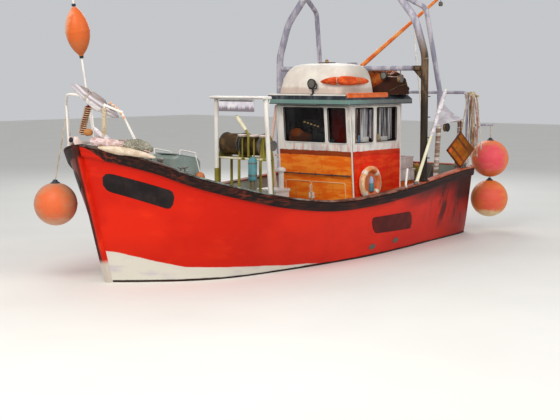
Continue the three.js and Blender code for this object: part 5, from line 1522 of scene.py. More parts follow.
# %% [markdown]
# ## Tank, locker, boxes and baskets
# These give the deck its clutter: a teal tank on legs with a strap and a cap, a white locker whose lid has a
# lip and a handle, and behind the wheelhouse a stack of fish boxes.

# %% Tank, locker and fish boxes
tank = Shape()
tank.turned([
    (0.0, 0.0), (0.05, 0.0), (0.074, 0.012), (0.08, 0.03), (0.08, 0.37), (0.07, 0.40), (0.048, 0.415),
    (0.03, 0.42), (0.03, 0.435), (0.0, 0.437)], (1.21, 0.357, 1.46), sides=32)
for z in (1.56, 1.78):
    tank.turned(
        [(0.08, -0.012), (0.084, -0.010), (0.084, 0.010), (0.08, 0.012)], (1.21, 0.357, z), sides=32,
        material=1)
for d in (-0.045, 0.045):
    tank.tube([(1.21, 0.357 + d, 0.951), (1.21, 0.357 + d, 1.475)], 0.015, 12, material=1)
tank.made(
    "oil_tank_skin", [paint["tank_teal"], paint["drum_steel"]], stands_for=("oil_tank",), slot="teal_paint")

locker = Shape()
locker.box((-0.755, -0.855, DECK + 0.002), (-0.335, -0.385, 1.09), 0.012)
locker.box((-0.772, -0.872, 1.085), (-0.318, -0.368, 1.14), 0.014)
locker.tube(
    rounded(
        [(-0.322, -0.69, 1.02), (-0.30, -0.69, 1.02), (-0.30, -0.55, 1.02), (-0.322, -0.55, 1.02)], 0.012),
    0.007, 8, material=1)
locker.turned([
    (0.0, 1.12), (0.056, 1.12), (0.056, 1.13), (0.052, 1.14), (0.052, 1.46), (0.088, 1.475), (0.092, 1.50),
    (0.08, 1.53), (0.045, 1.552), (0.0, 1.557)], (-0.67, -0.52, 0), sides=32)
locker.made("deck_locker_skin", [paint["white_gloss"], paint["drum_steel"]], stands_for=("deck_locker",),
            slot="white_paint")


def fish_box(shape, at, turn, material):
    """An open tray with thick rims and ribbed sides."""
    spin = Matrix.Rotation(turn, 3, "Z")
    long, wide, tall = 0.36, 0.23, 0.25
    over, broad, lip = long + 0.012, wide + 0.012, tall - 0.03
    parts = [
        ((-long, -wide, 0), (long, wide, 0.02)), ((-long, -wide, 0), (-long + 0.02, wide, tall)),
        ((long - 0.02, -wide, 0), (long, wide, tall)), ((-long, -wide, 0), (long, -wide + 0.02, tall)),
        ((-long, wide - 0.02, 0), (long, wide, tall)), ((-over, -broad, lip), (over, -wide + 0.02, tall)),
        ((-over, wide - 0.02, lip), (over, broad, tall))]
    for low, high in parts:
        shape.box(Vector(low) + Vector(at), Vector(high) + Vector(at), 0.006, material, spin, at)


# The stack from the deck up: place along, place across, turn, and number of its finish
STACK = ((-3.16, 0.52, 0.05, 0), (-3.15, 0.53, -0.03, 1), (-3.17, 0.52, 0.08, 0), (-3.16, 0.53, 0.0, 2),
         (-3.15, 0.52, 0.10, 2))
boxes = Shape()
for k, (x, y, turn, number) in enumerate(STACK):
    fish_box(boxes, (x, y, DECK + 0.003 + 0.253 * k), turn, number)
boxes.made(
    "fish_boxes", [paint["house_orange"], paint["tank_teal"], paint["wheel_pink"]], slot="orange_paint")

# %% [markdown]
# ## The wheelhouse walls
# The house is welded plate with window holes cut through it. The CAD panels have the right shape but knife
# edges, and folded or ground plate never has those. So a CAD part is copied, its coplanar faces are joined
# and its sharp edges get a small bevel. The paint changes with height: orange in front and red on the sides,
# a dark red line, and white round the windows. One mask on height does that, so no part of the wall needs
# cutting up.

# %% Eased CAD parts and the paint of the walls
def eased(name, nodes, materials, ease=0.004, body="boat"):
    """Finer copies of CAD parts in one piece, with their sharp edges eased."""
    data, part = bpy.data.meshes.new(name), bmesh.new()
    for node in nodes:
        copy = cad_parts[node].data.copy()
        copy.transform(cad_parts[node].matrix_world)
        part.from_mesh(copy)
    bmesh.ops.remove_doubles(part, verts=part.verts, dist=1e-6)
    bmesh.ops.dissolve_limit(part, angle_limit=math.radians(1), verts=part.verts, edges=part.edges)
    sharp = [e for e in part.edges if len(e.link_faces) == 2 and e.calc_face_angle(0) > 0.5]
    bmesh.ops.bevel(
        part, geom=sharp, offset=ease, segments=2, affect="EDGES", profile=0.6, clamp_overlap=True)
    for face in part.faces:
        face.material_index = 0
    part.to_mesh(data)
    part.free()
    return settle(name, data, materials, body, nodes, 20)


HOUSE_FRONT, HOUSE_BACK, EAVE, SILL, HEAD = -1.0, -2.75, 2.8, 2.06, 2.73


def front_x(z):
    """The outer face of the front wall, which leans forward as it rises."""
    return HOUSE_FRONT - 0.2 * (EAVE - z) / (EAVE - DECK)


def house_wall(name, colour, light, deep, line, inside):
    """Wall paint in three bands. inside gives 1 where a point is on the cabin's side of the wall."""
    coat = Finish(name)
    x, y, z = coat.axes()
    brush = coat.noise(6, (1, 1, 0.4), detail=5, lobes=0.7)
    across = coat.noise(5, (0.5, 0.5, 2.5), detail=4, lobes=0.6)
    shade = coat.mix(coat.rise(across, 0.4, 0.62), colour, light)
    shade = coat.mix(coat.rise(brush, 0.52, 0.72) * 0.6, shade, deep)
    low = coat.rise(brush * 0.4 - z, -0.75, -0.35)
    shade = coat.mix(low * 0.45, shade, "7a3214")
    ragged = brush * 0.05 - 0.025
    band = coat.rise(z + ragged, 1.785, 1.805)
    shade = coat.mix(band * line, shade, "781c14")
    drips = coat.rise(coat.noise(13, (1, 1, 0.10), detail=3), 0.50, 0.66) * coat.rise(z * -1, -2.11, -1.93)
    grey = coat.rise(coat.noise(4, (1, 1, 0.6), detail=4), 0.46, 0.66)
    pale = coat.mix(grey * 0.7, "ece6de", "b9b4b2")
    pale = coat.mix(drips * 0.75, pale, "df9a92")
    shade = coat.mix(coat.rise(z + ragged, 1.885, 1.90), shade, pale)
    shade = coat.mix(inside(coat, x, y, z), shade, "453329")
    return coat.ground(shade, brush * 0.2 + 0.38, None, brush, 0.0015)


paint["house_front"] = house_wall(
    "house_front", "f26a12", "fb922e", "e45010", 0.85,
    lambda coat, x, y, z: coat.rise(
        z * (0.2 / 2.38) + (HOUSE_FRONT - 0.2 * EAVE / 2.38 - 0.02) - x, 0.0, 0.004))
paint["house_side"] = house_wall(
    "house_side", "ea2806", "f44814", "c81e06", 0.35,
    lambda coat, x, y, z: coat.rise(coat.maths("ABSOLUTE", y) * -1, -0.888, -0.880))
paint["house_back"] = house_wall(
    "house_back", "c93a14", "dd5a28", "9a2410", 0.35, lambda coat, x, y, z: coat.rise(x, -2.735, -2.730))
eased("house_front_wall", ("wheelhouse_front",), paint["house_front"])
eased("house_side_walls", ("wheelhouse_port", "wheelhouse_starboard"), paint["house_side"])
eased("house_back_wall", ("wheelhouse_aft",), paint["house_back"])

# %% [markdown]
# ## Windows, beads and rails on the walls
# Each pane sits in a rubber seal with round corners, which is a closed tube bent round the hole. The seals,
# the corner beads, the grab rail and the outline of the front lockers all follow the lean of the front wall,
# so one function lays a point on that wall from its height, its place across, and how far it stands off.

# %% Windows and trim
FRONT_PANES = ((-0.74, 0.27), (0.36, 0.79))
SIDE_PANES = ((-1.78, -1.18), (-2.60, -1.90))


def on_front(y, z, off=0.0):
    return Vector((front_x(z) + off, y, z))


def pane_ring(low, high, foot, head, place, corner=0.05):
    """A round-cornered ring; place turns a spot across and up into a point."""
    flat = rounded([(low, foot, 0), (high, foot, 0), (high, head, 0), (low, head, 0)], corner, 5, loop=True)
    return [place(p.x, p.y) for p in flat]


seals, trim = Shape(), Shape()
for low, high in FRONT_PANES:
    seals.tube(pane_ring(low, high, SILL, HEAD, lambda a, b: on_front(a, b, 0.002)), 0.010, 8, loop=True)
    trim.tube(
        pane_ring(
            low - 0.018, high + 0.018, SILL - 0.018, HEAD + 0.018, lambda a, b: on_front(a, b, 0.002)),
        0.012, 8, loop=True)
for side in (1, -1):
    for low, high in SIDE_PANES:
        seals.tube(
            pane_ring(low, high, SILL, HEAD, lambda a, b: Vector((a, side * 0.901, b))), 0.010, 8,
            loop=True)
        trim.tube(pane_ring(low - 0.018, high + 0.018, SILL - 0.018, HEAD + 0.018,
                            lambda a, b: Vector((a, side * 0.901, b))), 0.012, 8, loop=True)
seals.tube(
    pane_ring(0.12, 0.64, SILL, HEAD - 0.06, lambda a, b: Vector((HOUSE_BACK - 0.001, a, b))), 0.010, 8,
    loop=True)
seals.made("window_seals", paint["dark_metal"], slot="dark_metal")
# A drip strip over each row of windows, and a pale bead down each front corner
trim.cut([(-0.985, 2.775), (-0.93, 2.755), (-0.93, 2.762), (-0.985, 2.782)], "xz", (-0.88, 0.88), ease=0.002)
for side in (1, -1):
    trim.tube([on_front(side * 0.905, z, 0.004) for z in (0.46, 1.2, 1.95, 2.78)], 0.016, 10)
    trim.tube([(HOUSE_BACK - 0.004, side * 0.903, z) for z in (0.46, 1.6, 2.78)], 0.014, 10)
    trim.box((-2.72, side * 0.899, 2.755), (-1.06, side * 0.925, 2.765), 0.003)
trim.made("house_trim", paint["white_gloss"], slot="white_paint")

beads = Shape()
for y0, y1, z0, z1 in ((-0.77, -0.13, 0.62, 1.27), (-0.11, 0.71, 0.62, 1.27)):
    beads.tube(pane_ring(y0, y1, z0, z1, lambda a, b: on_front(a, b, 0.004), 0.03), 0.010, 8, loop=True)
beads.made("locker_beads", weathered("bead_peach", "efae72", "f6c894", "a85a2c", rough=0.5, patch=5.0),
           slot="orange_paint")
fittings = Shape()
for y in (-0.16, -0.08):
    fittings.box(on_front(y - 0.02, 0.93, 0.0), on_front(y + 0.02, 1.05, 0.028), 0.005)
fittings.tube(rounded([on_front(-0.12, 1.06, 0.0), on_front(-0.12, 1.06, 0.05), on_front(-0.12, 1.20, 0.05),
                       on_front(-0.12, 1.20, 0.0)], 0.02), 0.009, 10)
fittings.made("locker_catches", paint["white_gloss"], slot="white_paint")

grab = Shape()
RAIL_Z = 1.42
grab.tube(
    rounded([
        on_front(-0.80, RAIL_Z, 0.0), on_front(-0.80, RAIL_Z, 0.055), on_front(0.84, RAIL_Z, 0.055),
        on_front(0.84, RAIL_Z, 0.0)], 0.04),
    0.014, 12)
for y in (-0.40, 0.0, 0.40, 0.78):
    grab.tube([on_front(y, RAIL_Z, -0.002), on_front(y, RAIL_Z, 0.055)], 0.009, 10)
    grab.turned(
        [(0.0, -0.002), (0.022, -0.002), (0.022, 0.005), (0.0, 0.006)], on_front(y, RAIL_Z, 0.001), "x", 16)
grab.made("grab_rail", paint["leg_brown"], slot="mast_grey")

# The pale pipe that carries cables from the roof leans down the starboard corner to the deck
corner_pipe = Shape()
corner_pipe.tube(
    rounded(
        [(-1.02, -0.935, 2.76), (-0.99, -1.06, 1.92), (-1.06, -1.03, 1.40), (-1.16, -0.955, 0.43)], 0.2),
    0.032, 14)
for z, y in ((1.75, -1.045), (0.9, -0.99)):
    corner_pipe.box((front_x(z) - 0.07, y - 0.03, z - 0.02), (front_x(z) - 0.04, -0.89, z + 0.02), 0.004)
corner_pipe.made("corner_pipe", weathered("pipe_pink", "d9b3a4", "eedbd0", "9a5a44", rough=0.5, patch=5.0),
                 slot="white_paint")

# %% [markdown]
# ## Glass and what is behind it
# Old toughened glass looks dark from outside, with some of the cabin showing through. A nearly black base
# with part of its alpha taken away does that, and it still gives clear reflections. Inside are the console
# with its screens and stores, the wheel, the seat, and curtains drawn back at the side windows.

# %% Glass, console, wheel and seat
def window_glass(name, alpha, tint):
    coat = Finish(name)
    salt = coat.rise(coat.noise(4, (1, 1, 0.5), detail=5, lobes=0.7), 0.45, 0.75)
    coat.shader.inputs["Specular IOR Level"].default_value = 0.22
    connect(coat.tree, salt * 0.18 + alpha, coat.shader.inputs["Alpha"])
    return coat.ground(coat.mix(salt * 0.25, tint, "5c585c"), salt * 0.12 + 0.04)


paint["glass_dark"] = window_glass("glass_dark", 0.34, "0c0708")
paint["glass_clear"] = window_glass("glass_clear", 0.08, "161618")
paint["glass_salted"] = window_glass("glass_salted", 0.88, "0c0708")
repaint("glass", paint["glass_dark"], "glass_front")
repaint("glass", paint["glass_salted"], "glass_starboard")
repaint("glass", paint["glass_clear"], "glass_port")

WHEEL = Vector((-1.76, -0.15, 1.68))
console = Shape()
console.cut(
    [(-1.70, 0.425), (-1.30, 0.425), (-1.24, 1.85), (-1.33, 1.99), (-1.70, 1.70)], "xz", (-0.6, 0.7), 0.008)
console.turned([(0.0, -0.06), (0.05, -0.06), (0.05, 0.09), (0.022, 0.1), (0.022, 0.14), (0.0, 0.14)],
               WHEEL + Vector((0.13, 0, 0)), "x", 20, material=1)
for z in (0.75, 1.15):
    console.box((-1.712, -0.45, z), (-1.698, 0.05, z + 0.34), 0.003)
    console.box((-1.712, 0.15, z), (-1.698, 0.62, z + 0.34), 0.003)
rim = [WHEEL + Vector((0, math.cos(a) * 0.168, math.sin(a) * 0.168)) for a in angles(40)]
console.tube(rim, 0.014, 12, material=2, loop=True)
for k in range(6):
    a = math.pi * k / 3
    console.tube([WHEEL + Vector((0, math.cos(a) * 0.03, math.sin(a) * 0.03)),
                  WHEEL + Vector((0, math.cos(a) * 0.16, math.sin(a) * 0.16))], 0.009, 8, material=2)
console.turned(
    [(0.0, -0.02), (0.036, -0.02), (0.036, 0.014), (0.02, 0.02), (0.0, 0.02)], WHEEL, "x", 20, material=2)
console.made(
    "helm_console", [paint["console_wood"], paint["dark_metal"], paint["bronze"]], stands_for=("console",),
    slot="brown_wood")

gear = Shape()
# Stores and instruments on a shelf over the console, as they show through the front window
gear.box((-1.40, -0.80, 1.995), (-1.12, 0.84, 2.015), 0.004)
gear.box((-1.38, -0.76, 2.017), (-1.20, -0.30, 2.16), 0.02)
gear.ball((-1.29, -0.62, 2.19), 0.13, (0.8, 1.3, 0.9), 20, material=1)
gear.ball((-1.28, -0.38, 2.14), 0.11, (0.8, 1.4, 0.8), 20)
gear.box((-1.34, -0.18, 2.017), (-1.22, 0.14, 2.26), 0.01, material=2)
gear.box((-1.218, -0.15, 2.05), (-1.212, 0.11, 2.23), 0.002, material=3)
gear.box((-1.33, -0.42, 2.34), (-1.21, 0.08, 2.48), 0.02, material=2)
gear.tube([(-1.27, -0.30, 2.25), (-1.27, -0.30, 2.35)], 0.012, 8, material=2)
for k in range(5):
    gear.box(
        (-1.209, -0.38 + 0.085 * k, 2.425 - 0.02 * k), (-1.203, -0.34 + 0.085 * k, 2.450 - 0.02 * k), 0.002,
        material=4)
# A board behind the port pane carries a grey strip of switches
gear.box((-1.36, 0.22, 2.017), (-1.33, 0.80, 2.70), 0.006, material=5)
gear.box((-1.329, 0.56, 2.03), (-1.318, 0.64, 2.68), 0.004, material=8)
gear.box((-1.329, 0.66, 2.03), (-1.318, 0.78, 2.68), 0.004, material=7)
gear.turned(
    [(0.0, 0.0), (0.036, 0.0), (0.04, 0.095), (0.034, 0.095), (0.03, 0.01), (0.0, 0.008)],
    (-1.25, 0.30, 2.017), sides=20, material=6)
dots = Finish("lit_dots")
dots.shader.inputs["Emission Color"].default_value = (0.85, 0.55, 0.16, 1)
dots.shader.inputs["Emission Strength"].default_value = 0.6
dot_paint = dots.ground(dots.mix(dots.noise(9), "e9c860", "f4dc8a"), 0.4)
switch_board = weathered("switch_board", "9c1a12", "b82c1c", "4a100c")
switch_strip = weathered("switch_strip", "a2a2aa", "c6c6ca", "5c5a5c")
gear_finishes = [paint["console_wood"], paint["boom_orange"], paint["dark_metal"], paint["roof_slate"],
                 dot_paint, switch_board, paint["tank_teal"], switch_strip, paint["board_wood"]]
gear.made("console_gear", gear_finishes, slot="brown_wood")

seat = Shape()
seat.turned([
    (0.0, 0.424), (0.16, 0.424), (0.16, 0.436), (0.05, 0.45), (0.042, 0.5), (0.042, 1.12), (0.09, 1.14),
    (0.09, 1.15), (0.0, 1.15)], (-2.25, -0.15, 0), sides=28, material=1)
seat.box((-2.45, -0.36, 1.152), (-2.03, 0.06, 1.245), 0.035)
seat.box((-2.455, -0.34, 1.25), (-2.375, 0.04, 1.745), 0.035)
seat.box((-2.47, -0.17, 1.18), (-2.452, -0.13, 1.5), 0.004, material=1)
seat.made(
    "helm_chair", [paint["seat_dark"], paint["dark_metal"]], stands_for=("helm_seat",), slot="dark_metal")


# %% Curtains
def curtain(name, x0, x1, y, top, foot, folds, seed, finish):
    """A gathered sheet: deep folds at the rail that drift as they fall. Its flat width is measured."""
    swing, rows, flat = 0.019 if y > 0 else -0.019, [], 0.0
    for j in range(25):
        t = j / 24
        front = []
        for k in range(121):
            s = k / 120
            drift = noise.noise(Vector((s * 5, t * 1.4, seed))) * 0.5
            wave = math.sin(2 * math.pi * folds * (s + 0.02 * drift * t) + drift)
            across = s + 0.015 * math.sin(2 * math.pi * folds * s * 2) * t
            fall = top + (foot - top) * t + 0.006 * t * math.sin(9 * s + seed)
            front.append(Vector((x0 + (x1 - x0) * across, y - swing * (0.75 + 0.25 * t) * wave, fall)))
        if j == 12:
            flat = sum((b - a).length for a, b in zip(front, front[1:]))
        back = [p - Vector((0, 0.0012 if y > 0 else -0.0012, 0)) for p in reversed(front)]
        rows.append(front + back)
    piece = Shape().rows(rows).made(name, finish, slot="canvas", smooth=70)
    return flat


rods = Shape()
for side in (1, -1):
    rods.tube([(-2.62, side * 0.815, 2.742), (-1.16, side * 0.815, 2.742)], 0.006, 10)
rods.made("curtain_rods", paint["bronze"], slot="bronze")
lilac_stripe = drapes("curtain_stripe", ("3a302e", "8f7468", "d9d2cc", "54403c"))
widths = [curtain("curtain_fore", -1.72, -1.44, 0.815, 2.736, 2.09, 5, 1.0, paint["curtain"]),
          curtain("curtain_stripe_fore", -1.42, -1.27, 0.815, 2.736, 2.12, 3, 2.0, lilac_stripe),
          curtain("curtain_aft", -2.56, -2.02, 0.815, 2.736, 2.09, 9, 3.0, paint["curtain"]),
          curtain("curtain_stripe_aft", -2.00, -1.90, 0.815, 2.736, 2.12, 2, 4.0, lilac_stripe),
          curtain("curtain_starboard", -2.50, -2.20, -0.815, 2.736, 2.09, 5, 5.0, paint["curtain"])]
print("curtain widths", [round(w, 2) for w in widths])
stores = Shape()
# Folded charts and a blue and a yellow box on the shelf below the side windows
stores.box((-1.90, 0.70, 1.985), (-1.16, 0.84, 2.005), 0.003, material=0)
stores.box((-2.60, 0.70, 1.985), (-1.92, 0.84, 2.005), 0.003, material=0)
stores.box((-1.74, 0.72, 2.005), (-1.50, 0.835, 2.16), 0.012, material=1)
stores.box((-1.46, 0.74, 2.005), (-1.38, 0.82, 2.20), 0.012, material=2)
stores.box((-1.36, 0.74, 2.005), (-1.28, 0.82, 2.24), 0.012, material=3)
stores.box((-2.40, 0.72, 2.005), (-2.16, 0.83, 2.15), 0.012, material=1)
stores.box((-2.12, 0.74, 2.005), (-2.04, 0.82, 2.20), 0.012, material=3)
box_blue = weathered("box_blue", "5c86b4", "86a8cc", "34506c")
box_yellow = weathered("box_yellow", "dca43c", "eec46a", "8a5c20")
stores.made(
    "window_shelf", [paint["console_wood"], paint["white_gloss"], box_blue, box_yellow], slot="white_paint")

# %% [markdown]
# ## Door, lifebuoy and its light
# The door is a plate with a window, hung aft on two hinges, and it has to turn with its own body. The
# lifebuoy is a foam ring with a rope held by four bands, and its floating light hangs in the middle of it.

# %% Door and lifebuoy
eased("cabin_door", ("wheelhouse_door",), paint["white_gloss"], 0.003, "door_body")
door = Shape()
door.tube(
    pane_ring(-0.62, -0.26, 1.50, 2.18, lambda a, b: Vector((HOUSE_BACK - 0.001, a, b))), 0.010, 8,
    loop=True)
door.tube(
    pane_ring(-0.70, -0.18, 0.62, 1.34, lambda a, b: Vector((HOUSE_BACK + 0.001, a, b)), 0.04), 0.008, 8,
    loop=True, material=1)
for z in (1.22, 1.52):
    door.turned(disc(0.02, -0.006, 0.0), (HOUSE_BACK + 0.002, -0.17, z), "x", 16,
                material=1)
door.made("door_fittings", [paint["dark_metal"], paint["drum_steel"]], "door_body", slot="dark_metal")

RING = Vector((-1.60, 0.972, 1.27))
buoy = Shape()
profile = [
    (0.268 + 0.062 * math.cos(a), 0.062 * math.sin(a)) for a in (2 * math.pi * k / 28 for k in range(29))]
buoy.turned(profile, RING, "y", 72)
buoy.box((-1.63, 0.9005, 0.965), (-1.57, 0.955, 1.02), 0.006, material=1)
for k in range(4):
    middle = math.pi * (0.25 + 0.5 * k)
    rows = []
    for j in range(7):
        a = middle + (j - 3) * 0.045
        spoke = Vector((math.cos(a), 0, math.sin(a)))
        rows.append([RING + spoke * (0.268 + 0.0655 * math.cos(b)) + Vector((0, 0.0655 * math.sin(b), 0))
                     for b in angles(24)])
    buoy.rows(rows, material=1)


def ring_paint():
    coat = Finish("ring_paint")
    x, _, z = coat.axes()
    wear = coat.noise(7, detail=5, lobes=0.65)
    across, up = x - RING.x, z - RING.z
    out = coat.maths("SQRT", across * across + up * up)
    shade = coat.mix(coat.rise(wear, 0.4, 0.62), "e8a468", "f6cfa0")
    shade = coat.mix(coat.rise(wear * 0.08 - out, -0.235, -0.215) * 0.8, shade, "dd5a26")
    shade = coat.mix(coat.rise(up + wear * 0.2, 0.30, 0.36) * 0.4, shade, "e07a3c")
    return coat.ground(shade, wear * 0.2 + 0.45, None, wear, 0.003)


paint["ring"] = ring_paint()
buoy.made(
    "life_ring",
    [paint["ring"], weathered("ring_band", "e9d8c4", "f4ebe0", "b0703c", rough=0.5, patch=5.0)],
    stands_for=("lifebuoy",), slot="buoy_orange", smooth=60)
line = []
for k in range(97):
    a = 2 * math.pi * k / 96 + math.pi / 4
    sag = 0.030 * abs(math.sin(2 * (a - math.pi / 4)))
    line.append(RING + Vector((math.cos(a), 0, math.sin(a))) * (0.332 + sag * 0.6) + Vector((0, 0.022, -sag)))
rope("ring_line", [line[:-1]], 0.006, paint["rope_white"], closed=True)
light = Shape()
light.turned([(0.0, -0.15), (0.045, -0.15), (0.062, -0.13), (0.062, 0.0), (0.055, 0.02), (0.0, 0.02)],
             (-1.62, 0.972, 1.24), sides=28)
light.turned([(0.0, 0.02), (0.05, 0.02), (0.055, 0.07), (0.04, 0.13), (0.018, 0.155), (0.0, 0.157)],
             (-1.62, 0.972, 1.24), sides=28, material=1)
light.box((-1.68, 0.9005, 1.14), (-1.56, 0.915, 1.26), 0.004, material=2)
lens_blue = weathered("lens_blue", "9fc0e4", "c6dcf2", "6c86a4", rough=0.25)
light.made("ring_light", [paint["tank_teal"], lens_blue, paint["drum_steel"]], slot="teal_paint")

# %% [markdown]
# ## The roof and what rides on it
# The roof is a box of plate with a slate-grey sloping edge, a green fascia below it and a white top. Its
# moulded cap is a glass-fibre shell, so it has no hard edge anywhere: rings of a rounded box are joined, and
# the values between two rings follow a smooth curve. On top lie an orange canvas in a roll along the port
# rail, a heap of net aft, and a dark searchlight in front of the cap.

# %% Roof and cap
ROOF_TOP, ROOF_EDGE = 2.98, 2.89


def roof_paint():
    coat = Finish("roof_paint")
    x, _, z = coat.axes()
    brush = coat.noise(6, (1, 1, 0.5), detail=4, lobes=0.7)
    broad = coat.noise(1.8, detail=4)
    fascia = coat.mix(coat.rise(x * -1 + brush * 0.6, 0.9, 2.2), "6f8f86", "6a6f6d")
    fascia = coat.mix(coat.rise(brush, 0.5, 0.7) * 0.5, fascia, "8a9a94")
    slope_shade = coat.mix(coat.rise(brush, 0.45, 0.7), "2e3238", "565b61")
    top = coat.mix(coat.rise(broad, 0.4, 0.62), "e6e1da", "b8aca0")
    shade = coat.mix(coat.rise(z, ROOF_EDGE - 0.004, ROOF_EDGE + 0.004), fascia, slope_shade)
    shade = coat.mix(coat.rise(z, ROOF_TOP - 0.012, ROOF_TOP - 0.008), shade, top)
    return coat.ground(shade, brush * 0.2 + 0.42, None, brush, 0.0015)


def shell_paint():
    coat = Finish("shell_white")
    x, y, z = coat.axes()
    brush = coat.noise(5, (1, 1, 0.4), detail=5, lobes=0.7)
    cloud = coat.noise(1.7, detail=4)
    shade = coat.mix(coat.rise(cloud, 0.38, 0.64), "efe7db", "d9cec2")
    shade = coat.mix(coat.rise(brush, 0.55, 0.78) * 0.6, shade, "c4b0a2")
    # Painted shade high on the cap's port side, towards its after end
    dull = coat.rise(y * 0.6 + z - 3.0 + brush * 0.2, 0.62, 0.95) * coat.rise(x * -1, 1.1, 1.7)
    shade = coat.mix(dull * 0.5, shade, "a39a8c")
    low = coat.rise(brush * 0.12 - z, -3.10, -3.02)
    return coat.ground(coat.mix(low * 0.5, shade, "b08a78"), brush * 0.2 + 0.38, None, brush, 0.0015)


eased("house_roof", ("wheelhouse_roof",), roof_paint(), 0.012)
roof_trim = Shape()
for y in (-1.05, 1.05):
    roof_trim.tube([(-2.93, y, 2.806), (-0.80, y, 2.806)], 0.009, 8)
roof_trim.tube([(-0.781, -1.03, 2.806), (-0.781, 1.03, 2.806)], 0.009, 8)
roof_trim.made("drip_rail", paint["roof_slate"], slot="slate_green")

# Rings of the shell: aft end, fore end, half breadth, height, corner radius
SHELL_RINGS = ((-2.050, -0.850, 0.760, 2.981, 0.12), (-2.046, -0.862, 0.758, 3.060, 0.13),
               (-2.040, -0.880, 0.755, 3.150, 0.15), (-2.028, -0.915, 0.740, 3.290, 0.17),
               (-2.010, -0.960, 0.715, 3.400, 0.19), (-1.975, -1.030, 0.660, 3.505, 0.22),
               (-1.920, -1.110, 0.580, 3.558, 0.24), (-1.820, -1.230, 0.450, 3.584, 0.24),
               (-1.700, -1.360, 0.280, 3.594, 0.16), (-1.600, -1.450, 0.120, 3.597, 0.07))


def shell_ring(aft, fore, half, z, corner):
    ring = []
    for cx, cy, start in ((fore - corner, half - corner, 0), (aft + corner, half - corner, 90),
                          (aft + corner, corner - half, 180), (fore - corner, corner - half, 270)):
        for step in range(9):
            a = math.radians(start + 11.25 * step)
            ring.append(Vector((cx + corner * math.cos(a), cy + corner * math.sin(a), z)))
    return ring


def between(table, share):
    """The values of a table's rows on a smooth curve through them, share going from 0 to 1."""
    place = share * (len(table) - 1)
    i = min(int(place), len(table) - 2)
    p, rows = place - i, [table[max(0, min(len(table) - 1, i + d))] for d in (-1, 0, 1, 2)]
    return [
        0.5
        * (2 * b + (c - a) * p + (2 * a - 5 * b + 4 * c - d) * p * p + (3 * b - a - 3 * c + d) * p ** 3)
        for a, b, c, d in zip(*rows)]


shell = Shape()
shell.rows([shell_ring(*between(SHELL_RINGS, k / 54)) for k in range(55)])
shell.tube(
    [shell_ring(-2.058, -0.842, 0.768, 2.992, 0.128)[k] for k in range(36)], 0.012, 8, loop=True,
    material=1)
shell.box((-1.62, -0.16, 3.588), (-1.40, 0.10, 3.618), 0.008, material=2)
shell.turned(
    [(0.0, 0.0), (0.035, 0.0), (0.035, 0.02), (0.028, 0.05), (0.0, 0.06)], (-1.50, -0.03, 3.615), sides=20,
    material=3)
shell.made("roof_shell", [shell_paint(), paint["roof_slate"], paint["leg_brown"], paint["bronze"]],
           stands_for=("roof_cap",), slot="white_paint", smooth=60)

side_rail = Shape()
side_rail.tube(
    rounded(
        [(-2.14, 0.985, 2.965), (-2.14, 0.985, 3.010), (-0.81, 0.985, 3.010), (-0.81, 0.985, 2.965)], 0.04),
    0.016, 12)
for x in (-2.12, -1.8, -1.48, -1.15, -0.83):
    side_rail.tube([(x, 0.985, 2.94), (x, 0.985, 3.01)], 0.011, 10)
    side_rail.turned([(0.0, 0.0), (0.026, 0.0), (0.026, 0.006), (0.0, 0.007)], (x, 0.985, 2.943), sides=16)
side_rail.made("roof_side_rail", paint["rail_orange"], stands_for=("roof_rail",), slot="boom_orange")
white_edge = Shape()
white_edge.tube([(-2.2, 0.936, 2.988), (-0.80, 0.936, 2.988)], 0.012, 10)
white_edge.tube([(-0.795, -0.93, 2.986), (-0.795, 0.93, 2.986)], 0.012, 10)
white_edge.made("roof_white_edge", paint["white_gloss"], slot="white_paint")

canvas_roll(
    "roof_canvas",
    [(-0.815, 0.34, 3.245), (-0.815, 0.75, 3.262), (-0.87, 0.815, 3.262), (-1.74, 0.815, 3.245)], 0.094,
    paint["canvas_red"], (0.30, 0.72), 8, "net_red", ("roof_canvas_roll",), 0.42)
toe_board = Shape()
toe_board.box((-2.16, 0.978, 2.925), (-0.80, 0.992, 2.992), 0.003)
toe_board.made("roof_toe_board", paint["rail_orange"], slot="boom_orange")

# %% Net on the roof, and the searchlight
roof_heap = Mound((-2.56, 0.60, ROOF_TOP + 0.002), (0.42, 0.56), 0.53, 9, 0.0, (1.2, 2.0), 0.16)


def roof_net_paint():
    """Orange-brown net with painted shade low on its port side."""
    coat = Finish("roof_net_two")
    _, y, z = coat.axes()
    cross = coat.rise(coat.cells(22, (1, 1, 1.5), "DISTANCE_TO_EDGE"), 0.02, 0.16)
    broad = coat.noise(3.2, (1, 1.4, 2.2), detail=4, twist=0.6)
    shade = coat.mix(coat.rise(broad, 0.4, 0.62), "a9481a", "dd7c34")
    # Painted shade low on the heap's port side
    heap_shade = coat.rise(y * 0.9 - z + broad * 0.35, -2.46, -2.34)
    shade = coat.mix(heap_shade, shade, "3a241d")
    # Painted shade in the gaps between the twines
    shade = coat.mix(cross * 0.5, shade, "4a2414")
    return coat.ground(shade, 0.9, None, broad * 0.4 - cross, 0.006)


heap = roof_heap.surface().made(
    "roof_net", roof_net_paint(), stands_for=("roof_net_heap",), slot="net_red", smooth=60)
rope("roof_net_ropes", roof_heap.loops(5, 31, 0.006), 0.011, paint["rope_pink"])
rope("roof_net_edges", roof_heap.loops(5, 37, 0.006, 0.4, 0.95), 0.012, paint["rope_dark"])

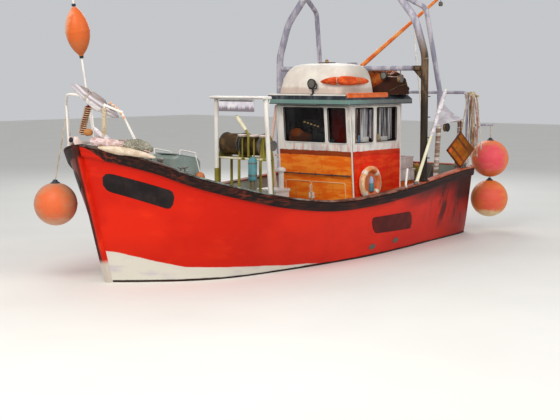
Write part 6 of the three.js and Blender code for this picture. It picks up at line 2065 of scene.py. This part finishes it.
lamp = Shape()
LAMP = Vector((-0.80, 0.15, 3.20))
lamp.turned([
    (0.0, -0.045), (0.05, -0.043), (0.078, -0.025), (0.09, 0.0), (0.09, 0.030), (0.094, 0.032),
    (0.094, 0.040), (0.082, 0.040), (0.080, 0.030), (0.0, 0.034)], LAMP, "x", 36)
lamp.turned([(0.0, 0.031), (0.079, 0.031), (0.06, 0.037), (0.0, 0.040)], LAMP, "x", 32, material=1)
lamp.tube(
    rounded([(-0.815, 0.05, 3.20), (-0.815, 0.05, 3.10), (-0.815, 0.25, 3.10), (-0.815, 0.25, 3.20)], 0.04),
    0.009, 10)
lamp.turned(
    [(0.0, 0.0), (0.05, 0.0), (0.05, 0.012), (0.02, 0.02), (0.018, 0.125), (0.0, 0.125)],
    (-0.815, 0.15, ROOF_TOP), sides=24)
lamp.made(
    "roof_searchlight",
    [paint["dark_metal"], weathered("lens_grey", "5c5850", "7a746a", "3a3630", rough=0.3)],
    stands_for=("searchlight",), slot="dark_metal")

# %% [markdown]
# ## The gantry
# An arched frame of thick tube stands astride the house and carries the derrick. A tube bender gives it round
# shoulders, so the path is rounded before the tube is swept. The port leg has lost most of its lavender grey
# paint and shows brown, and that is one more mask on place.

# %% Gantry
def mast_paint(name, bare_from, bare_to):
    """Lavender grey that has gone brown on the port side between two heights."""
    coat = Finish(name)
    _, y, z = coat.axes()
    streak = coat.noise(7, (1, 1, 0.22), detail=5, lobes=0.7)
    bands = coat.noise(5, (0.5, 0.5, 2.4), detail=4, lobes=0.6)
    shade = coat.mix(coat.rise(streak, 0.4, 0.62), "8f8c9c", "bdb7bf")
    shade = coat.mix(coat.rise(bands, 0.58, 0.7) * 0.6, shade, "d8d3d0")
    shade = coat.mix(coat.rise(streak, 0.62, 0.76) * 0.6, shade, "6a4a38")
    low = coat.rise(streak * 0.5 - z, -bare_to, -bare_from) * coat.rise(y, 1.5, 1.6)
    brown = coat.mix(coat.rise(streak, 0.45, 0.6), "3b2c20", "6f5a44")
    brown = coat.mix(coat.rise(bands, 0.6, 0.7) * 0.5, brown, "a89a88")
    brown = coat.mix(coat.rise(z * -1 + streak * 0.4, -2.95, -2.5) * 0.85, brown, "25201a")
    return coat.ground(coat.mix(low, shade, brown), streak * 0.3 + 0.4, None, streak, 0.0015)


paint["mast"] = mast_paint("mast_paint", 3.4, 4.2)
GANTRY_X, LEG_Y, BEAM_Z, LEG_R = -2.2, 1.814, 3.5, 0.072
ARCH = [(GANTRY_X, LEG_Y, 3.75), (GANTRY_X, 1.58, 4.45), (GANTRY_X, 1.13, 4.98), (GANTRY_X, 0.38, 5.45)]
cap_z = sheer_z(GANTRY_X) + 0.030
gantry = Shape()
gantry.tube(rounded([(GANTRY_X, LEG_Y, cap_z)] + ARCH + [(x, -y, z) for x, y, z in ARCH[::-1]]
                    + [(GANTRY_X, -LEG_Y, cap_z)], 0.8, 8), LEG_R, 24)
gantry.tube([(GANTRY_X, -1.80, BEAM_Z), (GANTRY_X, 1.80, BEAM_Z)], 0.05, 20)
for side in (1, -1):
    gantry.turned([(0.0, 0.0), (0.118, 0.0), (0.118, 0.014), (0.09, 0.02), (0.078, 0.05), (0.0, 0.05)],
                  (GANTRY_X, side * LEG_Y, cap_z - 0.002), sides=28)
    # Gussets under the beam and steps up the leg
    gantry.cut(
        [(side * 1.755, BEAM_Z - 0.045), (side * 1.755, BEAM_Z - 0.24), (side * 1.56, BEAM_Z - 0.045)],
        "yz", (GANTRY_X - 0.006, GANTRY_X + 0.006), 0.002)
    for z in (1.75, 2.15, 2.55, 2.95):
        gantry.tube(
            rounded([
                (GANTRY_X - 0.07, side * (LEG_Y - 0.02), z), (GANTRY_X - 0.19, side * (LEG_Y - 0.02), z),
                (GANTRY_X - 0.19, side * (LEG_Y + 0.02), z),
                (GANTRY_X - 0.07, side * (LEG_Y + 0.02), z)], 0.018, 4),
            0.009, 8)
# The arm at the top of the arch holds the lift on the derrick's own upright axis. The lugs are what it turns
# in.
gantry.box((GANTRY_X - 0.07, -0.03, 5.31), (GANTRY_X + 0.03, 0.03, 5.45), 0.01)
gantry.cut(
    [(-2.25, 5.44), (-2.38, 5.41), (-2.43, 5.37), (-2.43, 5.32), (-2.25, 5.32)], "xz", (-0.012, 0.012),
    0.004)
lift_ring = [Vector((-2.4 + 0.020 * math.cos(a), 0.020 * math.sin(a), 5.308)) for a in angles(16)]
gantry.tube(lift_ring, 0.007, 8, loop=True)
gantry.box((GANTRY_X - 0.068, -0.055, BEAM_Z - 0.11), (GANTRY_X, 0.055, BEAM_Z + 0.11), 0.008)
for z in (BEAM_Z - 0.12, BEAM_Z + 0.075):
    gantry.turned([
        (0.0177, 0.0), (0.0177, 0.045), (0.052, 0.045), (0.055, 0.042), (0.055, 0.003), (0.052, 0.0),
        (0.0177, 0.0)], (-2.4, 0, z), sides=32)
    gantry.box((-2.352, -0.054, z), (GANTRY_X - 0.01, 0.054, z + 0.045), 0.006)
gantry.made("gantry_arch", paint["mast"], stands_for=("gantry",), slot="mast_grey")

mast_gear = Shape()
for y in (-0.9, 0.9):
    # Work lights under the beam
    mast_gear.tube([(GANTRY_X + 0.0, y, BEAM_Z - 0.045), (GANTRY_X + 0.02, y, BEAM_Z - 0.10)], 0.012, 10)
    mast_gear.turned([(0.0, -0.04), (0.05, -0.035), (0.075, 0.01), (0.08, 0.05), (0.0, 0.046)],
                     (GANTRY_X + 0.03, y, BEAM_Z - 0.145), "x", 24)
    mast_gear.turned(
        [(0.0, 0.045), (0.07, 0.045), (0.05, 0.053), (0.0, 0.056)], (GANTRY_X + 0.03, y, BEAM_Z - 0.145),
        "x", 24, material=1)
for y in (-1.25, 1.25):
    # Warp blocks on shackles: two cheeks and a sheave
    at = Vector((GANTRY_X, y, BEAM_Z - 0.21))
    mast_gear.tube([at + Vector((0, 0, 0.165)), at + Vector((0, 0, 0.06))], 0.010, 8, material=2)
    for off in (-0.028, 0.028):
        mast_gear.turned(wheel_profile(0.068, 0.072, 0.006),
                         at + Vector((0, off, 0)), "y", 24, material=2)
    mast_gear.turned(wheel_profile(0.064, 0.05, 0.02), at, "y", 24, material=3)
# Masthead light on a stem above the arch, inside the eye's height
mast_gear.turned(
    [(0.0, 0.0), (0.04, 0.0), (0.04, 0.02), (0.034, 0.03), (0.034, 0.10), (0.04, 0.11), (0.0, 0.125)],
    (GANTRY_X + 0.085, 0, 5.32), sides=24)
lamp_glass = weathered("lamp_glass", "6f6c62", "8d897c", "45423a", rough=0.15)
mast_gear.made(
    "mast_gear", [paint["dark_metal"], lamp_glass, paint["drum_steel"], paint["bronze"]], slot="steel")

# %% [markdown]
# ## The derrick
# The boom turns sideways on an upright pin and up and down on a cross pin, and both pins pass through real
# bores. The swivel is an eased copy of the CAD part for that reason. The boom tapers to its head, where a
# band carries the eyes for the lift and the fall. The lift is a wire from the arch to the boom's head, and it
# starts on the upright axis.

# %% Derrick
eased("derrick_joint", ("derrick_swivel",), paint["drum_steel"], 0.0025, "swivel_body")
LUFF, RISE = Vector((-2.54, 0, BEAM_Z)), math.radians(27.5)
boom_way = Vector((-math.cos(RISE), 0, math.sin(RISE)))
boom_up = Vector((math.sin(RISE), 0, math.cos(RISE)))


def boom_paint():
    coat = Finish("boom_paint")
    x, _, z = coat.axes()
    streak = coat.noise(6, (0.35, 1, 0.6), detail=5, lobes=0.7)
    shade = coat.mix(coat.rise(streak, 0.4, 0.62), "d65f1e", "ef9648")
    # Painted shade along the underside of the boom
    under = coat.rise((x - LUFF.x) * 0.52 + (z - LUFF.z) + streak * 0.03, 0.02, -0.02)
    shade = coat.mix(under * 0.5, shade, "8f3a16")
    shade = coat.mix(coat.rise(streak, 0.64, 0.78) * 0.7, shade, "5f2a14")
    return coat.ground(shade, streak * 0.3 + 0.35, None, streak, 0.0015)


boom = Shape()
boom.turned(disc(0.014, -0.048, 0.048), LUFF, "y", 20, material=1)
for y in (-0.047, 0.043):
    boom.turned(
        [(0.0, 0.0), (0.021, 0.0), (0.021, 0.004), (0.0, 0.005)], LUFF + Vector((0, y, 0)), "y", 6,
        material=1)
boom.turned(
    [(0.0, -0.017), (0.036, -0.017), (0.040, -0.012), (0.040, 0.012), (0.036, 0.017), (0.0, 0.017)], LUFF,
    "y", 28, material=1)
boom.tube([LUFF + boom_way * 0.03, LUFF + boom_way * 0.12], 0.016, 14, material=1)
steps = [0.095, 0.105, 0.13, 0.15, 1.2, 2.4, 3.48, 3.50, 3.51, 3.56, 3.57, 3.595, 3.60]
boom.tube([LUFF + boom_way * s for s in steps],
          [0.030, 0.040, 0.044, 0.045, 0.0415, 0.0372, 0.033, 0.033, 0.048, 0.048, 0.034, 0.031, 0.02], 20)
for up in (1, -1):
    eye = LUFF + boom_way * 3.535 + boom_up * (up * 0.062)
    boom.tube([eye + boom_way * (0.018 * math.cos(a)) + boom_up * (0.018 * math.sin(a))
               for a in angles(16)], 0.006, 8, material=1, loop=True)
block_at = LUFF + boom_way * 3.535 + Vector((0, 0, -0.17))
boom.tube([block_at + Vector((0, 0, 0.10)), block_at + Vector((0, 0, 0.05))], 0.007, 8, material=1)
for off in (-0.022, 0.022):
    boom.turned(wheel_profile(0.052, 0.055, 0.005), block_at + Vector((0, off, 0)),
                "y", 22, material=1)
boom.turned(wheel_profile(0.048, 0.038, 0.016), block_at, "y", 22, material=1)
boom.made("derrick_pole", [boom_paint(), paint["drum_steel"]], "boom_body", ("derrick_boom",), "boom_orange")

lift_high, lift_low = Vector((-2.4, 0, 5.305)), LUFF + boom_way * 3.535 + boom_up * 0.075
lift = rope(
    "topping_lift", [[lift_high.lerp(lift_low, k / 40) for k in range(41)]], 0.007, paint["rope_dark"],
    None)
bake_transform(lift)

# %% [markdown]
# ## Gallows
# On each quarter a bent tube holds the block for the trawl wire, braced to the gantry by a second tube. Paint
# on the upright legs has worn into rings where the wires slap them.

# %% Gallows and struts
def gallows_paint():
    coat = Finish("gallows_paint")
    z = coat.axes()[2]
    rings = coat.noise(6, (0.3, 0.3, 3.2), detail=4, lobes=0.7)
    streak = coat.noise(8, (1, 1, 0.3), detail=4)
    shade = coat.mix(coat.rise(rings, 0.42, 0.56), "d8d0c8", "8a6f5e")
    shade = coat.mix(coat.rise(streak, 0.55, 0.7) * 0.5, shade, "4a362a")
    lavender = coat.mix(coat.rise(streak, 0.42, 0.6), "8f8c9c", "c3bdc4")
    shade = coat.mix(coat.rise(z, 2.5, 2.9), shade, lavender)
    return coat.ground(shade, streak * 0.3 + 0.4, None, rings, 0.0015)


paint["gallows"] = gallows_paint()
G_FORE, G_AFT, G_TOP, TUBE, STRUT, G_HEAD = -3.26, -4.20, 2.45, 0.052, 0.050, 1.5
for side_name, side in (("port", 1), ("starboard", -1)):
    gallows = Shape()
    gallows.tube(
        rounded([
            (G_AFT, side * 1.29, 0.424), (G_AFT, side * 1.44, G_TOP), (G_FORE, side * G_HEAD, G_TOP),
            (G_FORE, side * 1.385, 0.424)], 0.16, 8),
        TUBE, 20)
    gallows.tube(
        rounded([
            (G_FORE, side * G_HEAD, G_TOP), (G_FORE, side * G_HEAD, 3.05), (-2.90, side * 1.377, 4.693),
            (GANTRY_X, side * 1.13, 4.98)], 0.22, 8),
        STRUT, 20)
    for x, y in ((G_AFT, 1.29), (G_FORE, 1.385)):
        gallows.turned(foot_plate(0.095, 0.012, 0.06, 0.02),
                       (x, side * y, DECK + 0.002), sides=24)
    gallows.box((-3.935, side * 1.44, 2.43), (-3.865, side * 1.66, 2.475), 0.006)
    gallows.made(
        f"gallows_{side_name}_tubes", paint["gallows"], stands_for=(f"gallows_{side_name}",),
        slot="mast_grey")
    hung = Shape()
    at = Vector((-3.58, side * 1.478, 2.30))
    hung.tube([at + Vector((0, 0, 0.105)), at + Vector((0, 0, 0.07))], 0.010, 8)
    for off in (-0.03, 0.03):
        hung.turned(wheel_profile(0.085, 0.09, 0.006),
                    at + Vector((0, off, 0)), "y", 26)
    hung.turned(wheel_profile(0.08, 0.062, 0.022), at, "y", 26, material=1)
    hung.made(f"gallows_{side_name}_block", [paint["dark_metal"], paint["bronze"]], slot="steel")

# %% [markdown]
# ## Trawl boards
# Each board is a square of thick planks in an iron frame, hung by one corner. In the water it flies sideways
# and spreads the net, so it has iron straps across its face and an iron shoe below. It is made level, turned
# by an eighth of a circle about its middle, and then swung a little so that its fore corner lies inboard.

# %% Trawl boards
BOARD_X, BOARD_Y, BOARD_Z, HALF, YAW = -3.9, 1.625, 1.83, 0.26, 17.5
# The iron frame of a board: two opposite corners of each bar, from the board's middle
IRONS = (
    ((-HALF, -0.025, -HALF), (HALF, 0.025, -HALF + 0.035)),
    ((-HALF, -0.025, HALF - 0.022), (HALF, 0.025, HALF)),
    ((-HALF, -0.025, -HALF), (-HALF + 0.022, 0.025, HALF)),
    ((HALF - 0.022, -0.025, -HALF), (HALF, 0.025, HALF)),)


def board_wood():
    """Orange stained wood on one half, rusty brown on the other."""
    coat = Finish("trawl_wood")
    x = coat.axes()[0]
    grain = coat.noise(12, (0.5, 1, 0.5), detail=5, lobes=0.7)
    blot = coat.noise(3.5, detail=4)
    shade = coat.mix(coat.rise(blot + (BOARD_X - x) * 0.5, 0.36, 0.62), "b85c10", "8a4a12")
    shade = coat.mix(coat.rise(grain, 0.48, 0.64), shade, "96601a")
    shade = coat.mix(coat.rise(grain, 0.62, 0.76) * 0.8, shade, "4a250e")
    shade = coat.mix(coat.rise(x - BOARD_X + blot * 0.1, 0.27, 0.36), shade, "e2642c")
    shade = coat.mix(coat.rise(BOARD_X - x + blot * 0.2, 0.18, 0.40) * 0.7, shade, "5a3214")
    return coat.ground(shade, 0.8, None, grain, 0.004)


wood = board_wood()
eighth = Matrix.Rotation(math.radians(45), 3, "Y")
for side_name, side in (("port", 1), ("starboard", -1)):
    centre = Vector((BOARD_X, side * BOARD_Y, BOARD_Z))
    hang = Matrix.Rotation(math.radians(-side * YAW), 3, "Z") @ eighth
    board = Shape()
    for k in range(4):
        z0 = -HALF + 0.02 + k * (2 * HALF - 0.04) / 4
        board.box(
            centre + Vector((-HALF + 0.01, -0.020, z0 + 0.002)),
            centre + Vector((HALF - 0.01, 0.020, z0 + (2 * HALF - 0.04) / 4 - 0.002)), 0.006, turn=hang,
            about=centre)
    for low, high in IRONS:
        board.box(centre + Vector(low), centre + Vector(high), 0.004, material=1, turn=hang, about=centre)
    for x in (-0.12, 0.12):
        board.box(
            centre + Vector((x - 0.022, -0.0252, -HALF)), centre + Vector((x + 0.022, 0.0252, HALF)), 0.002,
            material=1, turn=hang, about=centre)
    board.tube(
        [centre + Vector((0, 0, HALF * math.sqrt(2) - 0.03)), (BOARD_X, side * BOARD_Y, 2.43)], 0.012, 12,
        material=1)
    iron = weathered(f"board_iron_{side_name}", "5b3220", "8a4a22", "2a1810", rough=0.75, patch=5.0)
    board.made(f"trawl_board_{side_name}_planks", [wood, iron], stands_for=(f"trawl_board_{side_name}",),
               slot="rust_wood")

# %% [markdown]
# ## The net drum
# The drum hauls the whole net over the stern. Its net is wound in lumpy turns, so the skin is a turned form
# whose radius is bent by noise, with ropes laid round it and floats caught in the turns. Everything on it
# turns with it.

# %% Net drum and its stand
NET_X, NET_Z, NET_Y = -4.02, 1.08, 0.76
eased("net_drum_stand", ("net_drum_frame",), paint["drum_steel"], 0.004)
drum = Shape()
for side in (1, -1):
    inner, outer = sorted((side * (NET_Y - 0.045), side * (NET_Y - 0.02)))
    drum.turned([
        (0.0, inner), (0.418, inner), (0.430, inner + 0.006), (0.430, outer - 0.006), (0.418, outer),
        (0.0, outer)], (NET_X, 0, NET_Z), "y", 48)
    for k in range(6):
        a = math.pi * k / 3
        spoke = Vector((math.cos(a), 0, math.sin(a)))
        face = side * (NET_Y - 0.021)
        drum.tube(
            [Vector((NET_X, face, NET_Z)) + spoke * 0.07, Vector((NET_X, face, NET_Z)) + spoke * 0.41],
            0.014, 8)
drum.turned([(0.0, -0.82), (0.032, -0.82), (0.034, -0.818), (0.034, 0.818), (0.032, 0.82), (0.0, 0.82)],
            (NET_X, 0, NET_Z), "y", 24)
drum.made("net_drum_ends", paint["drum_steel"], "net_drum_body", ("net_drum",), "steel")


def wound(angle, y, lift=0.0):
    """A point of the wound net: fuller in the middle, lumpy, and a little slack at the flanges."""
    lump = noise.fractal(Vector((math.cos(angle) * 1.6, y * 3.2, math.sin(angle) * 1.6 + 4)), 1.0, 2.0, 4)
    radius = 0.365 - 0.055 * (abs(y) / 0.7) ** 4 + 0.035 * lump + 0.012 * math.sin(26 * y + 3 * angle) + lift
    return Vector((NET_X + radius * math.cos(angle), y, NET_Z + radius * math.sin(angle)))


net = Shape()
net.rows([[wound(2 * math.pi * k / 88, -0.712 + 1.424 * j / 64) for k in range(88)] for j in range(65)])
net_piece = net.made("wound_net", paint["net_olive"], "net_drum_body", slot="net_olive", smooth=70)
draw = random.Random(41)
courses = []
for _ in range(7):
    start, turns, here = draw.uniform(0, 6.28), draw.uniform(0.8, 1.9), draw.uniform(-0.6, 0.6)
    drift = draw.uniform(-0.25, 0.25)
    course = []
    for t in (k / 60 for k in range(61)):
        y = max(-0.68, min(0.68, here + drift * t + 0.04 * math.sin(8 * t)))
        course.append(wound(start + 2 * math.pi * turns * t, y, 0.010))
    courses.append(course)
rope("wound_ropes", courses, 0.011, paint["rope_buff"], "net_drum_body")
drum_floats = Shape()
for k in range(14):
    at = wound(draw.uniform(0.2, 2.9), draw.uniform(-0.62, 0.62), 0.018)
    drum_floats.ball(at, 0.050, (1, 1, 1), 18)
drum_floats.made("wound_floats", weathered("float_ochre", "c9772a", "e0a04e", "6a3a1a", rough=0.5, patch=6.0),
                 "net_drum_body", slot="buoy_orange", smooth=60)

# %% [markdown]
# ## Stern frame and its ropes
# A goalpost of tube across the stern keeps the net clear as it is shot. Old ropes hang from its port corner
# beside the buoys in a loose bundle. Each has a weight of its own, so they fall in nearly straight lines with
# a little swing, and each ends in a frayed knot.

# %% Stern frame, hanging ropes, quarter post
FRAME_X, FRAME_Y, FRAME_TOP = -4.76, 1.27, 3.0
frame_foot = sheer_z(FRAME_X) + 0.032
stern = Shape()
stern.tube(
    rounded([
        (FRAME_X, FRAME_Y, frame_foot), (FRAME_X, FRAME_Y, FRAME_TOP), (FRAME_X, -FRAME_Y, FRAME_TOP),
        (FRAME_X, -FRAME_Y, frame_foot)], 0.12, 8),
    0.034, 18)
stern.tube([(FRAME_X, FRAME_Y, 2.3), (-5.41, 1.515, 2.3)], 0.024, 14)
stern.ball((-5.41, 1.515, 2.3), 0.026, sides=14)
stern.tube([(-4.79, 1.275, 1.95), (-5.10, 1.395, 2.285)], 0.012, 10)
for side in (1, -1):
    stern.turned(foot_plate(0.075, 0.01, 0.045, 0.018),
                 (FRAME_X, side * FRAME_Y, frame_foot - 0.001), sides=22)
stern.made("stern_goalpost", paint["mast"], stands_for=("stern_frame",), slot="mast_grey")

hanging = {"rope_buff": [], "rope_pink": [], "rope_white": [], "rope_rust": []}
draw = random.Random(77)
names = list(hanging)
for k in range(30):
    top = Vector((
        FRAME_X - draw.uniform(-0.06, 0.20), FRAME_Y + draw.uniform(-0.06, 0.16),
        FRAME_TOP - draw.uniform(0, 0.1)))
    foot = Vector((
        top.x - draw.uniform(-0.05, 0.14), top.y + draw.uniform(-0.04, 0.09), draw.uniform(1.62, 2.3)))
    sway = Vector((draw.uniform(-0.03, 0.03), draw.uniform(-0.03, 0.03), 0))
    path = []
    for t in (j / 20 for j in range(21)):
        curl = Vector((0.012 * math.sin(9 * t + k), 0.012 * math.cos(7 * t + k), 0))
        path.append(top.lerp(foot, t) + sway * math.sin(math.pi * t) + curl)
    hanging[names[k % 4]].append(path)
lengths = {}
for finish, paths in hanging.items():
    lengths[finish] = max(sum((b - a).length for a, b in zip(path, path[1:])) for path in paths)
    rope("hanging_" + finish, paths, 0.014, paint[finish])
print("hanging ropes, longest of each", {k: round(v, 2) for k, v in lengths.items()})
knots = Shape()
for paths in hanging.values():
    for path in paths:
        knots.ball(path[-1], 0.020, (1, 1, 1.5), 12)
        knots.ball(path[0], 0.024, (1, 1, 1.2), 12)
knots.made("rope_knots", paint["rope_buff"], slot="net_pink", smooth=60)

# The wire from the frame's corner to the port board
rope(
    "board_wire",
    [[Vector((FRAME_X + 0.02, FRAME_Y + 0.02, FRAME_TOP - 0.03)), Vector((-3.93, 1.63, 2.21))]], 0.013,
    paint["rope_buff"])

# A pale rope that hangs beside the port strut
LEG_ROPE = (
    (-2.743, 1.20, 4.40), (-2.832, 1.20, 3.73), (-2.96, 1.20, 3.15), (-3.04, 1.20, 2.73),
    (-3.17, 1.20, 2.09))
rope("leg_rope", [rounded(LEG_ROPE, 0.2, 6)], 0.017, paint["rope_white"])

post = Shape()
post_z = sheer_z(-4.30) + 0.031
post.box((-4.40, 1.50, post_z), (-4.20, 1.60, post_z + 0.014), 0.005)
for x in (-4.35, -4.25):
    post.turned([
        (0.0, 0.0), (0.032, 0.0), (0.028, 0.02), (0.028, 0.13), (0.040, 0.145), (0.036, 0.165),
        (0.0, 0.17)], (x, 1.55, post_z + 0.012), sides=22)
post.made("quarter_post", paint["wheel_pink"], slot="steel")
turns = [winding((-4.35, 1.55, post_z + 0.03), (-4.35, 1.55, post_z + 0.13), 0.040, 5, 18),
         winding((-4.25, 1.55, post_z + 0.03), (-4.25, 1.55, post_z + 0.12), 0.040, 4, 18)]
rope("quarter_turns", turns, 0.011, paint["rope_white"])

# %% [markdown]
# ## Stern buoys
# Two large ball buoys hang one above the other from the frame's arm. The upper is pink in the middle and
# orange at its rim. The lower is pale and slimy underneath, where it touches the water.

# %% Stern buoys
UPPER, LOWER, BUOY_R = Vector((-5.37, 1.5, 1.57)), Vector((-5.37, 1.5, 0.70)), 0.40
ball_buoy(
    "upper_ball", UPPER, BUOY_R, "stern_buoy_upper", (-5.37, 1.5, 2.275), (0.80, 0.60, 0.05), "ea5560",
    "ee7a20", "d2703a", "e8825e")
ball_buoy(
    "lower_ball", LOWER, BUOY_R, "stern_buoy_lower", (-5.37, 1.5, 1.165), (0.80, 0.60, 0.10), "e8624c",
    "e8822c", "e9dcae", "e98648")

# %% [markdown]
# ## Staff, pennant and stanchion
# The staff rakes aft from the port rail, and the sleeve of its pennant thickens its upper half. The pennant
# is thin wool cloth that hangs out on the breeze with soft waves, so it is a sheet of one thickness whose
# waves grow from the hoist to the tip. Its upper edge sags a little.

# %% Staff and pennant
STAFF_FOOT, STAFF_TOP = Vector((-1.785, 1.912, sheer_z(-1.785) + 0.03)), Vector((-2.758, 1.955, 3.093))


def staff_point(t):
    return STAFF_FOOT.lerp(STAFF_TOP, t)


staff = Shape()
staff.tube([staff_point(t) for t in (0, 0.5, 0.97, 0.98, 1.0)], [0.034, 0.027, 0.0205, 0.026, 0.012], 20)
staff.tube([staff_point(t) for t in (0.50, 0.54, 0.66, 0.78, 0.90, 0.97, 0.985)],
           [0.030, 0.040, 0.043, 0.048, 0.044, 0.036, 0.022], 16, material=2)
staff.turned([(0.0, 0.0), (0.062, 0.0), (0.062, 0.008), (0.045, 0.014), (0.040, 0.06), (0.0, 0.06)],
             STAFF_FOOT + Vector((0, 0, -0.002)), sides=24, material=1)
staff.made(
    "staff", [paint["staff_cream"], paint["drum_steel"], paint["canvas_lilac"]],
    stands_for=("ensign_staff",), slot="white_paint")

HOIST_TOP, HOIST_LOW = staff_point(0.86), staff_point(0.60)
TIP = Vector((-3.555, HOIST_TOP.y, 2.50))
pennant = Shape()
rows, fly = [], 40
for j in range(fly + 1):
    t = j / fly
    upper, lower = HOIST_TOP.lerp(TIP, t * 0.985), HOIST_LOW.lerp(TIP, t * 0.985)
    upper.z -= 0.075 * math.sin(math.pi * t) ** 0.8
    row = []
    for k in range(13):
        wave = 0.022 * t * math.sin(7.5 * t + 1.1 * k / 12) + 0.007 * t * math.sin(17 * t + 2 * k / 12)
        row.append(upper.lerp(lower, k / 12) + Vector((-0.028 * (1 - t), wave - 0.0006, 0)))
    rows.append(row + [p + Vector((0, 0.0012, 0)) for p in reversed(row)])
pennant.rows(rows)
flag = pennant.made("pennant", paint["pennant_grey"], stands_for=("ensign",), slot="canvas", smooth=70)
rope(
    "halyard", [[staff_point(0.05) + Vector((-0.045, 0.0, 0)), staff_point(0.95) + Vector((-0.030, 0, 0))]],
    0.004, paint["rope_white"])

stanchion = Shape()
stanchion.tube(rounded([(-1.44, 1.93, 1.20), (-1.36, 1.96, 1.30), (-1.46, 1.93, 1.60)], 0.05), 0.020, 14)
stanchion.turned(foot_plate(0.045, 0.008, 0.026, 0.014), (-1.42, 1.92, 1.235), sides=20)
stanchion.made("white_stanchion", paint["white_gloss"], slot="white_paint")

# %% [markdown]
# ## The studio floor
# The boat floats, so the floor of the studio is laid at the waterline and hides the keel. It is plain and
# pale.

# %% Floor
def floor_paint():
    coat = Finish("studio_floor")
    cloud = coat.noise(0.5, detail=2)
    return coat.ground(coat.mix(cloud, "dcdad4", "e6e3dd"), cloud * 0.1 + 0.55)


floor_data = bpy.data.meshes.new("studio_floor")
floor_data.from_pydata([(-60, -60, 0), (60, -60, 0), (60, 60, 0), (-60, 60, 0)], [], [(0, 1, 2, 3)])
floor_data.materials.append(floor_paint())
floor = bpy.data.objects.new("studio_floor", floor_data)
bpy.context.scene.collection.objects.link(floor)
